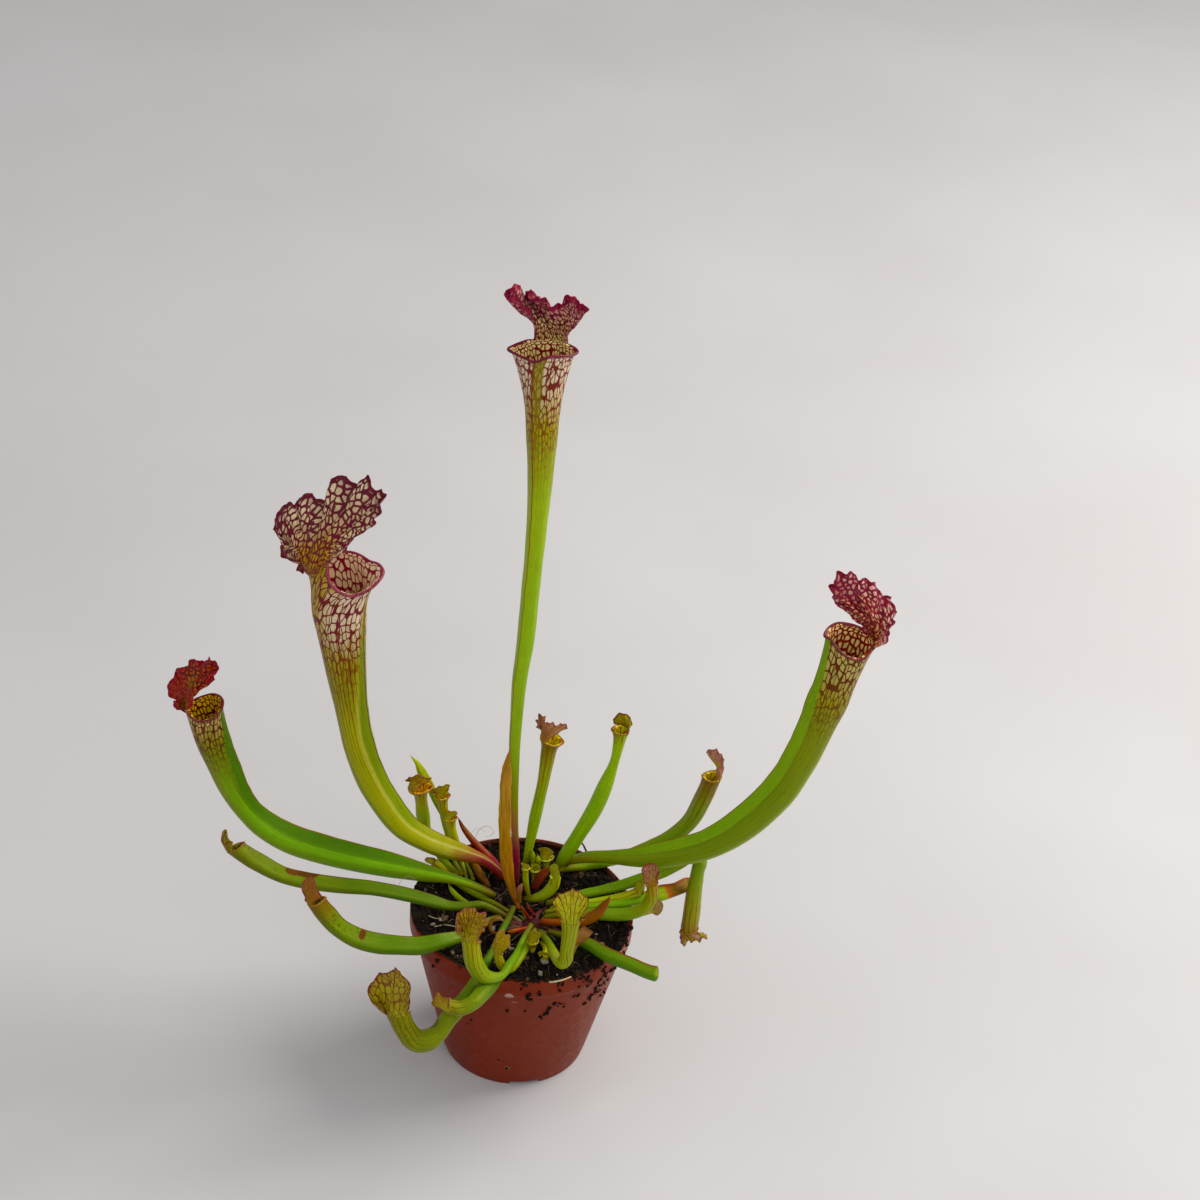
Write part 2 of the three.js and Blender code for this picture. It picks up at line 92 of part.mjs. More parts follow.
  "hood":[[48.0,-8.4,94.96],[46.79,-8.4,97.92],[46.16,-8.4,100.92],[46.99,-8.4,103.05],[48.87,-8.4,104.27],[50.8,-8.6,104.88],[52.49,-8.8,103.45],[52.89,-8.67,100.83],[52.52,-8.44,98.04],[53.35,-8.4,95.01]]},
 {"name":"pitcher_right_short","tier":2,"open":0,"kind":"tube","dead":0,"mt":10,"flare":1,"spout":0.1,"sa":0,"th":70,
  "rows":[[11.27,-1.07,71.2,0.81,0.0,-0.303,0.705,0.641],[18.13,-1.0,74.37,1.02,0.0,-0.229,0.545,0.806],[24.75,0.97,73.58,1.21,0.13,-0.157,0.606,0.78],[31.51,2.94,73.86,1.35,0.23,-0.23,0.557,0.798],[37.45,3.93,75.08,1.44,0.25,-0.274,0.539,0.796],[42.78,4.94,76.39,1.71,0.22,-0.333,0.526,0.783],[46.1,5.47,77.8,1.93,0.16,-0.396,0.487,0.779]],
  "mouth":[],
  "hood":[[44.51,4.71,79.93],[44.53,4.84,82.18],[45.6,4.98,84.01],[47.19,4.71,84.4],[48.31,4.71,82.95],[48.35,4.71,79.81],[48.34,4.71,77.18]]},
 {"name":"pitcher_right_tan_tip","tier":2,"open":0,"kind":"tube","dead":0,"mt":0,"flare":1,"spout":0.1,"sa":0,"th":70,
  "rows":[[26.62,-3.17,69.22,1.03,0.0,-0.157,0.558,0.815],[33.8,-1.41,69.26,1.23,0.0,-0.163,0.553,0.817],[40.81,-0.19,69.66,1.4,0.15,-0.24,0.535,0.81],[48.11,0.67,71.78,1.82,0.19,-0.343,0.52,0.783],[52.27,3.46,71.7,2.09,0.17,-0.407,0.506,0.76]],
  "mouth":[],
  "hood":[[52.41,2.61,69.89],[54.12,2.61,68.75],[55.66,2.61,69.71],[56.5,2.61,71.92],[56.44,2.61,75.08],[55.12,2.61,76.52],[53.52,2.61,76.35],[52.0,2.61,75.14]]},
 {"name":"dead_horn_orange","tier":2,"open":0,"kind":"blade","dead":1,"mt":0,"flare":1,"spout":0,"sa":0,"th":0,
  "rows":[[8.19,-10.49,72.0,1.2,0.0,-0.067,0.556,0.829],[16.01,-11.58,73.18,1.36,0.3,-0.137,0.532,0.836],[24.43,-14.23,76.53,1.73,0.87,-0.356,0.525,0.773],[30.18,-15.21,81.8,1.77,0.88,-0.641,0.5,0.583],[32.94,-15.09,86.94,1.31,0.46,-0.812,0.408,0.417],[34.29,-15.03,90.42,0.63,0.14,-0.881,0.377,0.284],[34.45,-15.0,92.23,0.21,0.0,-0.925,0.363,0.111]],
  "mouth":[],
  "hood":[]},
 {"name":"dead_papery_sheath","tier":2,"open":0,"kind":"tube","dead":1,"mt":0,"flare":1,"spout":0,"sa":0,"th":80,
  "rows":[[21.73,-26.37,70.8,0.99,0.0,-0.813,0.546,0.203],[22.3,-27.0,74.82,1.15,0.0,-0.942,0.254,0.218],[23.21,-26.5,77.34,1.34,0.0,-0.924,0.264,0.278]],
  "mouth":[],
  "hood":[[21.84,-26.78,79.0],[22.43,-26.85,82.23],[23.7,-27.07,84.11],[25.37,-27.1,85.6],[27.0,-26.78,84.46],[29.07,-26.06,82.25],[28.03,-26.14,80.14],[26.62,-26.65,78.09],[24.77,-26.78,76.19]]},
 {"name":"pitcher_back_center_left","tier":1,"open":1,"kind":"tube","dead":1,"mt":8,"flare":1.15,"spout":0.12,"sa":0,"th":55,
  "rows":[[-0.89,24.0,70.12,1.03,0.0,0.989,0.046,-0.138],[0.24,24.0,78.71,1.57,0.13,0.992,0.046,-0.116],[2.07,23.99,96.67,2.28,0.29,0.992,0.046,-0.114],[4.31,23.99,114.86,2.26,0.29,0.994,0.046,-0.103],[5.73,23.99,132.14,3.02,0.32,0.995,0.046,-0.087],[6.28,23.99,137.17,3.84,0.24,0.994,0.046,-0.101]],
  "mouth":[],
  "hood":[[2.21,23.85,141.33],[0.47,23.88,144.1],[0.3,24.18,146.81],[1.37,24.35,148.76],[3.0,24.2,148.05],[3.53,23.95,145.83],[4.8,23.85,144.55],[6.32,23.85,145.69],[8.0,23.85,143.89],[9.89,23.85,145.56],[12.3,23.85,144.82],[11.24,23.85,142.73]]},
 {"name":"pitcher_back_center_right","tier":1,"open":1,"kind":"tube","dead":1,"mt":4,"flare":1.1,"spout":0.1,"sa":0,"th":60,
  "rows":[[11.39,23.5,69.82,0.78,0.0,-0.891,0.181,0.416],[15.62,23.47,78.56,2.6,0.27,-0.892,0.216,0.398],[21.28,24.94,90.47,2.62,0.58,-0.903,0.205,0.378],[26.22,26.45,101.71,2.94,0.65,-0.929,0.176,0.325],[29.58,27.96,112.71,2.82,0.49,-0.953,0.176,0.246],[32.41,28.98,124.73,1.78,0.23,-0.975,0.132,0.178],[33.53,30.0,133.65,2.3,0.19,-0.995,0.008,0.103],[33.95,30.0,139.94,3.02,0.12,-0.996,-0.046,0.071]],
  "mouth":[],
  "hood":[[30.81,30.11,142.52],[30.61,30.27,145.35],[32.05,30.4,147.38],[34.39,30.11,148.07],[36.46,30.38,146.85],[37.62,30.26,144.58],[37.6,30.11,142.21]]},
 {"name":"pitcher_back_right","tier":1,"open":0,"kind":"blade","dead":1,"mt":18,"flare":1.05,"spout":0.12,"sa":0,"th":40,
  "rows":[[12.88,23.35,70.9,0.94,0.0,-0.24,0.594,0.768],[17.99,26.89,69.65,1.41,0.31,-0.329,0.711,0.622],[24.75,28.74,69.51,1.41,0.71,-0.231,0.61,0.758],[32.6,29.32,71.74,1.58,1.06,-0.304,0.529,0.792],[41.25,36.66,69.66,1.96,1.31,-0.398,0.513,0.76],[50.4,37.74,74.43,2.29,1.29,-0.5,0.428,0.753],[58.57,37.72,80.57,2.61,1.3,-0.641,0.433,0.634],[65.83,37.8,90.15,2.92,1.11,-0.825,0.37,0.428],[70.14,36.88,104.03,3.23,0.88,-0.917,0.284,0.278],[72.69,35.96,115.77,3.41,0.43,-0.954,0.178,0.24],[74.3,35.6,119.4,1.9,0.0,-0.954,0.178,0.24],[74.9,35.5,123.4,0.95,0.0,-0.954,0.178,0.24],[74.2,35.5,126.9,0.8,0.0,-0.954,0.178,0.24],[72.2,35.5,129.0,0.75,0.0,-0.954,0.178,0.24],[70.2,35.5,129.1,0.6,0.0,-0.954,0.178,0.24]],
  "mouth":[],
  "hood":[]},
 {"name":"pitcher_backleft_flared","tier":1,"open":1,"kind":"tube","dead":1,"mt":0,"flare":1.5,"spout":0.05,"sa":0,"th":60,
  "rows":[[-27.4,15.38,70.8,1.23,0.0,0.634,0.533,0.56],[-32.73,22.55,69.85,1.85,0.0,0.724,0.465,0.51],[-37.06,28.91,72.1,1.9,0.12,0.804,0.364,0.471],[-42.37,34.98,75.88,2.19,0.23,0.905,0.192,0.379],[-44.22,35.99,83.88,2.7,0.35,0.984,0.052,0.168],[-45.16,35.99,91.63,2.4,0.31,0.992,0.045,0.121],[-45.99,35.99,98.3,3.2,0.34,0.992,0.045,0.121]],
  "mouth":[],
  "hood":[[-50.28,35.88,101.06],[-52.13,35.88,101.38],[-49.92,35.88,102.9],[-46.71,35.88,104.51],[-43.81,35.88,103.27],[-40.96,35.88,103.56],[-42.54,35.88,101.85]]},
 {"name":"pitcher_backleft_mid","tier":2,"open":0,"kind":"tube","dead":0,"mt":0,"flare":1.35,"spout":0.1,"sa":0,"th":60,
  "rows":[[-25.68,15.59,70.8,0.84,0.0,0.872,0.393,0.293],[-29.74,24.0,71.61,1.04,0.0,0.91,0.3,0.286],[-32.66,30.99,76.7,1.21,0.07,0.951,0.179,0.252],[-34.87,33.99,83.54,1.57,0.17,0.974,0.121,0.194],[-36.06,34.99,91.0,1.95,0.21,0.986,0.099,0.136],[-36.59,34.99,95.37,2.21,0.14,0.981,0.145,0.126]],
  "mouth":[],
  "hood":[[-39.02,34.73,97.41],[-41.04,34.73,96.69],[-40.29,34.73,98.83],[-38.3,34.73,100.33],[-36.28,34.73,101.06],[-33.67,34.73,102.1],[-33.8,34.73,100.02],[-34.54,34.73,97.87]]},
 {"name":"pitcher_backleft_low","tier":2,"open":0,"kind":"tube","dead":0,"mt":0,"flare":1.15,"spout":0.05,"sa":0,"th":55,
  "rows":[[-23.59,13.8,70.8,0.72,0.0,0.934,0.291,0.206],[-26.53,22.5,71.86,1.04,0.0,0.923,0.263,0.28],[-29.49,27.49,77.23,1.6,0.1,0.94,0.174,0.295],[-31.74,28.49,84.61,1.76,0.18,0.971,0.111,0.212],[-32.3,28.49,89.52,2.18,0.13,0.988,0.095,0.118]],
  "mouth":[],
  "hood":[[-34.54,28.33,91.51],[-35.4,28.33,92.98],[-33.8,28.33,93.67],[-32.15,28.33,93.32],[-29.69,28.33,93.05],[-29.84,28.33,91.48]]},
 {"name":"leaf_backleft_pointed","tier":2,"open":0,"kind":"blade","dead":0,"mt":0,"flare":1,"spout":0,"sa":0,"th":0,
  "rows":[[-20.87,13.03,70.8,0.82,0.0,0.825,0.316,0.468],[-25.39,27.0,69.33,0.92,0.0,0.843,0.32,0.433],[-30.77,36.0,73.1,0.83,0.0,0.841,0.296,0.452],[-36.23,40.97,80.15,0.83,0.18,0.868,0.281,0.408],[-39.97,41.9,87.83,1.26,0.63,0.881,0.325,0.343],[-42.71,41.87,94.59,1.29,1.11,0.891,0.229,0.393],[-46.06,41.82,101.05,1.31,1.13,0.853,0.313,0.417],[-47.8,41.93,105.66,1.06,0.53,0.837,0.258,0.482],[-49.84,41.97,108.57,0.65,0.14,0.716,0.429,0.551],[-50.65,42.0,109.76,0.18,0.0,0.697,0.498,0.517]],
  "mouth":[],
  "hood":[]},
 {"name":"leaf_back_red_pointed","tier":2,"open":0,"kind":"blade","dead":0,"mt":0,"flare":1,"spout":0,"sa":0,"th":0,
  "rows":[[-10.02,20.47,70.9,1.17,0.0,0.685,0.496,0.534],[-14.23,27.28,69.6,1.59,0.35,0.656,0.502,0.564],[-19.66,30.92,72.39,1.41,0.5,0.67,0.421,0.612],[-24.55,33.92,76.07,1.12,0.4,0.719,0.389,0.576],[-27.49,35.94,78.94,0.88,0.31,0.804,0.337,0.49],[-28.97,36.97,81.46,0.75,0.17,0.865,0.301,0.402],[-29.69,37.0,83.26,0.29,0.0,0.816,0.449,0.365]],
  "mouth":[],
  "hood":[]},
 {"name":"dead_sheath_center","tier":1,"open":0,"kind":"sheath","dead":1,"mt":0,"flare":1,"spout":0,"sa":0,"th":0,
  "rows":[[-1.12,-2.67,71.0,0.86,0.0,-0.911,-0.38,0.16],[-4.06,5.0,72.46,1.51,0.0,-0.925,-0.284,-0.252],[-6.11,7.0,78.45,2.12,0.0,-0.972,-0.081,-0.221],[-7.77,8.5,87.47,2.61,0.0,-0.991,-0.05,-0.126],[-9.19,9.0,101.88,2.49,0.0,-0.997,-0.045,-0.064],[-9.83,9.5,118.68,2.27,0.0,-0.999,-0.044,-0.024],[-9.94,10.0,130.78,1.77,0.0,-0.999,-0.041,0.008],[-9.72,10.5,136.37,1.12,0.0,-0.996,-0.031,0.083],[-9.13,11.0,140.98,0.16,0.0,-0.991,-0.025,0.129]],
  "mouth":[],
  "hood":[]},
 {"name":"dead_blade_backleft","tier":2,"open":0,"kind":"blade","dead":1,"mt":0,"flare":1,"spout":0,"sa":0,"th":0,
  "rows":[[-14.61,10.03,70.8,1.15,0.0,0.648,0.425,0.632],[-18.01,17.35,69.61,1.47,0.0,0.762,0.392,0.515],[-20.91,22.0,71.01,1.37,0.0,0.789,0.407,0.46],[-23.58,27.0,70.58,0.74,0.0,0.739,0.435,0.515],[-25.5,30.0,70.84,0.29,0.0,0.679,0.38,0.629]],
  "mouth":[],
  "hood":[]},
 {"name":"pitcher_left_hidden","tier":2,"open":0,"kind":"tube","dead":0,"mt":0,"flare":1,"spout":0.05,"sa":0,"th":60,
  "rows":[[-5.4,-4.62,70.9,0.81,0.0,0.373,0.582,0.722],[-12.94,2.58,69.22,1.1,0.0,0.387,0.606,0.695],[-20.81,7.05,69.36,1.23,0.0,0.437,0.614,0.658],[-28.09,12.87,69.46,1.31,0.14,0.553,0.553,0.623],[-33.63,19.76,69.35,1.38,0.15,0.583,0.487,0.65],[-37.17,21.98,70.57,1.53,0.16,0.529,0.498,0.687]],
  "mouth":[],
  "hood":[[-38.84,26.35,66.32],[-40.91,26.35,66.64],[-41.79,26.35,68.15],[-41.01,26.35,69.56],[-39.37,26.35,69.99],[-37.71,26.35,69.64],[-36.84,26.35,68.13]]},
 {"name":"thin_blade_left","tier":2,"open":0,"kind":"blade","dead":0,"mt":0,"flare":1,"spout":0,"sa":0,"th":0,
  "rows":[[-16.51,-4.04,70.8,0.78,0.0,0.279,0.455,0.846],[-21.61,-4.0,72.46,1.13,0.0,0.364,0.555,0.748],[-25.93,-1.0,73.13,1.14,0.0,0.564,0.513,0.647],[-29.02,3.0,73.36,0.93,0.0,0.71,0.387,0.588],[-30.61,7.0,73.51,0.36,0.0,0.804,0.3,0.513]],
  "mouth":[],
  "hood":[]},
 {"name":"crown_pitcher_flared","tier":2,"open":0,"kind":"tube","dead":0,"mt":0,"flare":1.35,"spout":0.1,"sa":0,"th":60,
  "rows":[[8.34,20.39,70.9,0.82,0.0,0.996,0.049,0.07],[7.93,24.0,74.23,1.64,0.0,0.997,0.045,0.066],[7.79,24.0,76.73,2.05,0.0,0.998,0.017,0.056]],
  "mouth":[],
  "hood":[[5.54,23.97,80.34],[4.3,23.97,80.74],[5.08,23.97,81.34],[7.1,23.97,81.82],[8.77,23.97,81.2],[10.49,23.97,79.8],[10.17,23.97,78.19]]},
 {"name":"crown_pitcher_bud_left","tier":2,"open":0,"kind":"tube","dead":0,"mt":0,"flare":1.1,"spout":0.1,"sa":0,"th":65,
  "rows":[[3.93,14.13,70.9,0.92,0.0,0.999,0.032,0.042],[3.73,16.0,74.34,1.44,0.0,0.999,-0.004,0.04],[3.72,16.0,76.45,1.74,0.0,1.0,-0.02,0.005]],
  "mouth":[],
  "hood":[[2.13,16.03,77.58],[2.26,16.03,78.91],[4.07,16.03,79.36],[5.8,16.03,77.44],[6.29,16.03,75.9]]},
 {"name":"crown_bud_round","tier":2,"open":0,"kind":"blade","dead":0,"mt":0,"flare":1,"spout":0,"sa":0,"th":0,
  "rows":[[3.01,20.35,70.9,0.82,0.0,0.996,0.047,0.077],[2.62,21.0,75.62,0.92,0.0,0.997,0.046,0.07],[2.44,21.5,78.36,1.12,0.0,0.996,0.046,0.074],[2.2,21.5,80.96,0.81,0.0,0.996,0.045,0.081],[2.14,21.5,82.01,0.2,0.0,0.998,0.045,0.053]],
  "mouth":[],
  "hood":[]},
 {"name":"crown_bud_tiny","tier":2,"open":0,"kind":"blade","dead":0,"mt":0,"flare":1,"spout":0,"sa":0,"th":0,
  "rows":[[5.29,20.0,70.9,0.61,0.0,0.996,0.048,0.081],[4.88,21.0,75.33,0.92,0.0,0.995,0.049,0.087],[4.63,21.3,77.7,1.22,0.0,0.993,0.051,0.11],[4.44,21.5,79.09,0.71,0.0,0.989,0.053,0.139],[4.35,21.5,79.61,0.16,0.0,0.984,0.045,0.17]],
  "mouth":[],
  "hood":[]},
 {"name":"crown_pitcher_pale","tier":2,"open":0,"kind":"tube","dead":0,"mt":0,"flare":1.05,"spout":0.1,"sa":0,"th":60,
  "rows":[[2.39,5.04,71.0,0.81,0.0,0.966,0.076,0.248],[0.81,6.0,76.87,1.21,0.0,0.982,0.064,0.175],[0.26,7.0,82.26,1.21,0.0,0.996,0.047,0.081],[0.15,7.0,84.34,1.41,0.0,0.998,0.045,0.052]],
  "mouth":[],
  "hood":[[-1.1,6.95,85.29],[-1.58,6.95,86.8],[-0.15,6.95,86.43],[1.26,6.95,86.32],[1.53,6.95,85.05]]},
 {"name":"crown_pitcher_curved","tier":2,"open":0,"kind":"tube","dead":0,"mt":10,"flare":1,"spout":0.1,"sa":0,"th":70,
  "rows":[[0.96,3.77,71.0,0.91,0.0,-0.228,0.581,0.781],[4.95,0.46,74.54,1.59,0.13,-0.361,0.545,0.757],[9.08,0.96,76.76,2.1,0.22,-0.651,0.413,0.637],[11.86,1.97,80.55,2.33,0.26,-0.778,0.578,0.244],[12.6,2.5,84.43,2.12,0.23,-0.749,0.66,0.061]],
  "mouth":[],
  "hood":[[10.17,1.38,87.98],[10.0,1.38,90.81],[11.12,1.38,92.22],[12.74,1.38,91.87],[13.26,1.38,89.86],[14.21,1.38,87.37]]},
 {"name":"crown_bud_pink","tier":2,"open":0,"kind":"blade","dead":0,"mt":0,"flare":1,"spout":0,"sa":0,"th":0,
  "rows":[[-1.09,1.19,71.0,0.73,0.0,-0.988,0.051,-0.149],[-1.65,2.0,74.99,1.03,0.0,-0.998,0.035,-0.056],[-1.41,2.5,77.61,1.24,0.0,-0.981,0.096,0.171],[-0.88,2.5,79.11,1.08,0.0,-0.945,0.165,0.283],[-0.72,2.5,79.91,0.45,0.0,-0.959,0.211,0.192]],
  "mouth":[],
  "hood":[]},
 {"name":"dead_leaf_crown","tier":2,"open":0,"kind":"sheath","dead":1,"mt":0,"flare":1,"spout":0,"sa":0,"th":0,
  "rows":[[4.08,10.25,71.0,1.15,0.0,0.927,-0.198,-0.319],[5.26,12.0,73.35,1.64,0.0,0.9,-0.245,-0.361],[7.04,14.0,75.83,1.75,0.0,0.813,-0.341,-0.472],[8.9,16.0,76.73,1.3,0.0,0.697,-0.485,-0.529],[9.85,17.0,76.79,0.45,0.0,0.682,-0.628,-0.376]],
  "mouth":[],
  "hood":[]},
 {"name":"stem_red_left","tier":2,"open":0,"kind":"blade","dead":0,"mt":0,"flare":1,"spout":0,"sa":0,"th":0,
  "rows":[[3.91,-8.92,71.5,0.72,0.0,0.735,0.476,0.483],[1.18,-3.0,69.81,0.72,0.0,0.743,0.435,0.509],[-0.79,-0.0,70.73,0.64,0.0,0.764,0.332,0.554]],
  "mouth":[],
  "hood":[]},
 {"name":"stem_red_back","tier":2,"open":0,"kind":"blade","dead":0,"mt":0,"flare":1,"spout":0,"sa":0,"th":0,
  "rows":[[5.34,-6.3,71.5,0.6,0.0,0.882,0.471,0.038],[3.06,-2.0,71.13,0.61,0.0,0.855,0.449,0.26],[1.75,-0.0,72.44,0.51,0.0,0.872,0.339,0.354]],
  "mouth":[],
  "hood":[]},
 {"name":"crown_pitcher_front","tier":2,"open":0,"kind":"tube","dead":0,"mt":0,"flare":1,"spout":0.05,"sa":0,"th":65,
  "rows":[[5.81,-28.0,70.8,0.81,0.0,0.981,-0.061,0.183],[5.79,-25.5,71.73,1.59,0.0,0.999,0.019,0.031],[5.65,-25.5,74.45,2.17,0.0,0.996,0.071,0.053]],
  "mouth":[],
  "hood":[[3.6,-25.62,76.04],[3.49,-25.62,78.1],[4.6,-25.62,79.52],[6.33,-25.62,80.22],[8.36,-25.62,79.14],[8.84,-25.62,77.63],[7.94,-25.62,75.98]]},
 {"name":"crown_pitcher_yellow","tier":2,"open":0,"kind":"tube","dead":0,"mt":0,"flare":1,"spout":0.05,"sa":0,"th":65,
  "rows":[[9.08,-22.04,71.0,0.75,0.0,0.85,0.401,0.341],[11.01,-28.0,73.18,1.06,0.0,0.889,0.282,0.362],[11.11,-31.0,72.98,1.29,0.0,0.982,0.02,0.185]],
  "mouth":[],
  "hood":[[9.13,-31.02,71.48],[8.24,-31.02,73.21],[8.97,-31.02,74.33],[10.93,-31.02,74.54],[12.4,-31.02,72.87],[12.32,-31.02,70.77],[10.85,-31.02,68.78],[9.21,-31.02,69.92]]},
 {"name":"stub_red_front","tier":2,"open":0,"kind":"blade","dead":0,"mt":0,"flare":1,"spout":0,"sa":0,"th":0,
  "rows":[[4.06,-13.98,71.3,0.9,0.0,-0.172,0.51,0.843],[0.28,-16.08,71.8,1.0,0.0,-0.201,0.537,0.819],[-3.16,-18.51,72.5,1.0,0.0,-0.193,0.541,0.818],[-4.61,-19.33,72.8,0.79,0.0,-0.128,0.531,0.837]],
  "mouth":[],
  "hood":[]},
 {"name":"dead_curl_left","tier":2,"open":0,"kind":"blade","dead":1,"mt":0,"flare":1,"spout":0,"sa":0,"th":0,
  "rows":[[-8.1,-19.26,70.8,0.71,0.0,0.519,0.352,0.779],[-11.26,-19.47,73.0,0.53,0.0,0.874,0.265,0.407],[-11.19,-17.05,76.0,0.7,0.0,0.866,-0.274,-0.418],[-8.4,-16.51,77.0,0.59,0.0,0.02,-0.57,-0.822],[-6.17,-16.16,75.5,0.36,0.0,-0.436,-0.482,-0.76]],
  "mouth":[],
  "hood":[]},
];

const wasm = await Module();
wasm.setup();

// ---------------------------------------------------------------- solids
function toManifold(geometry) {
  const g = geometry.index ? geometry.clone() : geometry.clone();
  g.deleteAttribute('normal');
  g.deleteAttribute('uv');
  const m = mergeVertices(g, 1e-4);
  return new wasm.Manifold(new wasm.Mesh({
    numProp: 3,
    vertProperties: new Float32Array(m.attributes.position.array),
    triVerts: new Uint32Array(m.index.array),
  }));
}
function listToManifold(verts, tris) {
  return new wasm.Manifold(new wasm.Mesh({
    numProp: 3,
    vertProperties: new Float32Array(verts.flat()),
    triVerts: new Uint32Array(tris.flat()),
  }));
}
function toGeometry(solid) {
  const mesh = solid.getMesh();
  const n = mesh.numProp;
  const count = mesh.vertProperties.length / n;
  const pos = new Float32Array(count * 3);
  for (let i = 0; i < count; i++) {
    for (let k = 0; k < 3; k++) pos[i * 3 + k] = mesh.vertProperties[i * n + k];
  }
  const g = new THREE.BufferGeometry();
  g.setAttribute('position', new THREE.BufferAttribute(pos, 3));
  g.setIndex(new THREE.BufferAttribute(new Uint32Array(mesh.triVerts), 1));
  g.computeVertexNormals();
  return g;
}
function largest(solid) {
  const bodies = solid.decompose();
  let best = bodies[0];
  for (const b of bodies) if (b.volume() > best.volume()) best = b;
  return best;
}

// ---------------------------------------------------------------- leaves
// A row of a leaf: centre x y z, tube radius, wing height, wing direction.
function sampleRows(rows, sub) {
  const n = rows.length;
  const t = [0];
  for (let i = 1; i < n; i++) {
    const d = Math.hypot(rows[i][0] - rows[i - 1][0], rows[i][1] - rows[i - 1][1], rows[i][2] - rows[i - 1][2]);
    t.push(t[i - 1] + Math.max(d, 0.2));
  }
  const slope = rows.map((r, i) => {
    const a = Math.max(i - 1, 0), b = Math.min(i + 1, n - 1);
    return r.map((_, k) => (rows[b][k] - rows[a][k]) / (t[b] - t[a]));
  });
  const out = [];
  for (let i = 0; i < n - 1; i++) {
    const h = t[i + 1] - t[i];
    for (let j = 0; j < sub; j++) {
      const u = j / sub;
      out.push(hermite(rows[i], rows[i + 1], slope[i], slope[i + 1], h, u, t[i]));
    }
  }
  out.push(hermite(rows[n - 2], rows[n - 1], slope[n - 2], slope[n - 1], t[n - 1] - t[n - 2], 1, t[n - 2]));
  return { samples: out, length: t[n - 1] };
}
function hermite(p, q, m, w, h, u, t0) {
  const u2 = u * u, u3 = u2 * u;
  const a = 2 * u3 - 3 * u2 + 1, b = u3 - 2 * u2 + u, c = -2 * u3 + 3 * u2, d = u3 - u2;
  const v = p.map((_, k) => a * p[k] + b * h * m[k] + c * q[k] + d * h * w[k]);
  const da = (6 * u2 - 6 * u) / h, db = 3 * u2 - 4 * u + 1, dc = -da, dd = 3 * u2 - 2 * u;
  const g = [0, 1, 2].map((k) => da * p[k] + db * m[k] + dc * q[k] + dd * w[k]);
  return { v, g, t: t0 + h * u };
}
const smooth = (x) => { const c = Math.min(1, Math.max(0, x)); return c * c * (3 - 2 * c); };

function frames(leaf, sub) {
  const { samples, length } = sampleRows(leaf.rows, sub);
  return samples.map((s) => {
    const T = new THREE.Vector3(...s.g).normalize();
    const N = new THREE.Vector3(s.v[5], s.v[6], s.v[7]);
    N.addScaledVector(T, -N.dot(T)).normalize();
    const B = new THREE.Vector3().crossVectors(T, N);
    const e = leaf.kind === 'tube' ? smooth((s.t / length - 0.86) / 0.14) : 0;
    const tilt = leaf.mt * e * Math.PI / 180;
    const Nm = N.clone().multiplyScalar(Math.cos(tilt)).addScaledVector(T, -Math.sin(tilt));
    return { c: new THREE.Vector3(s.v[0], s.v[1], s.v[2]), T, N: Nm, B, r: Math.max(0.16, s.v[3]), h: Math.max(0, s.v[4]), e };
  });
}
function ringPoint(leaf, f, a, grow, wing) {
  let w = a > Math.PI ? a - 2 * Math.PI : a;
  const flare = 1 + (leaf.flare - 1) * Math.pow(f.e, 4);
  let d = w - leaf.sa * Math.PI / 180;
  const spout = leaf.spout * Math.exp(-d * d / 0.16) * Math.pow(f.e, 8);
  const r = (f.r * flare) * (1 + spout) + grow;
  const flat = leaf.kind === 'sheath' ? 0.45 : 1;
  const blade = wing ? f.h * Math.pow(Math.max(0, 1 - Math.abs(w) / 0.9), 1.5) : 0;
  const p = f.c.clone()
    .addScaledVector(f.N, r * Math.cos(w) + blade)
    .addScaledVector(f.B, r * Math.sin(w) * flat);
  if (leaf.mouth.length && f.e > 0) p.lerp(mouthPoint(leaf, w, grow), f.e * f.e * f.e);
  return p;
}
// The rim of a big mouth is a closed curve: angle from the wing side in degrees, then x y z.
function mouthPoint(leaf, w, grow) {
  const M = leaf.mouth, n = M.length;
  let deg = w * 180 / Math.PI;
  if (deg < M[0][0]) deg += 360;
  const at = (i) => { const k = ((i % n) + n) % n; return [M[k][0] + 360 * Math.floor(i / n), M[k][1], M[k][2], M[k][3]]; };
  let i = 0;
  while (at(i + 1)[0] < deg) i++;
  const p0 = at(i - 1), p1 = at(i), p2 = at(i + 1), p3 = at(i + 2);
  const h = p2[0] - p1[0], u = (deg - p1[0]) / h, u2 = u * u, u3 = u2 * u;
  const out = [1, 2, 3].map((k) => {
    const m1 = (p2[k] - p0[k]) / (p2[0] - p0[0]) * h, m2 = (p3[k] - p1[k]) / (p3[0] - p1[0]) * h;
    return (2 * u3 - 3 * u2 + 1) * p1[k] + (u3 - 2 * u2 + u) * m1 + (3 * u2 - 2 * u3) * p2[k] + (u3 - u2) * m2;
  });
  const c = [1, 2, 3].map((k) => M.reduce((a, q) => a + q[k], 0) / n);
  const dir = new THREE.Vector3(out[0] - c[0], out[1] - c[1], out[2] - c[2]).normalize();
  return new THREE.Vector3(...out).addScaledVector(dir, grow);
}
function ringAngles(n) {
  const out = [];
  for (let j = 0; j < n; j++) {
    const a = 2 * Math.PI * j / n;
    out.push(a - 0.3 * Math.sin(a));
  }
  return out;
}
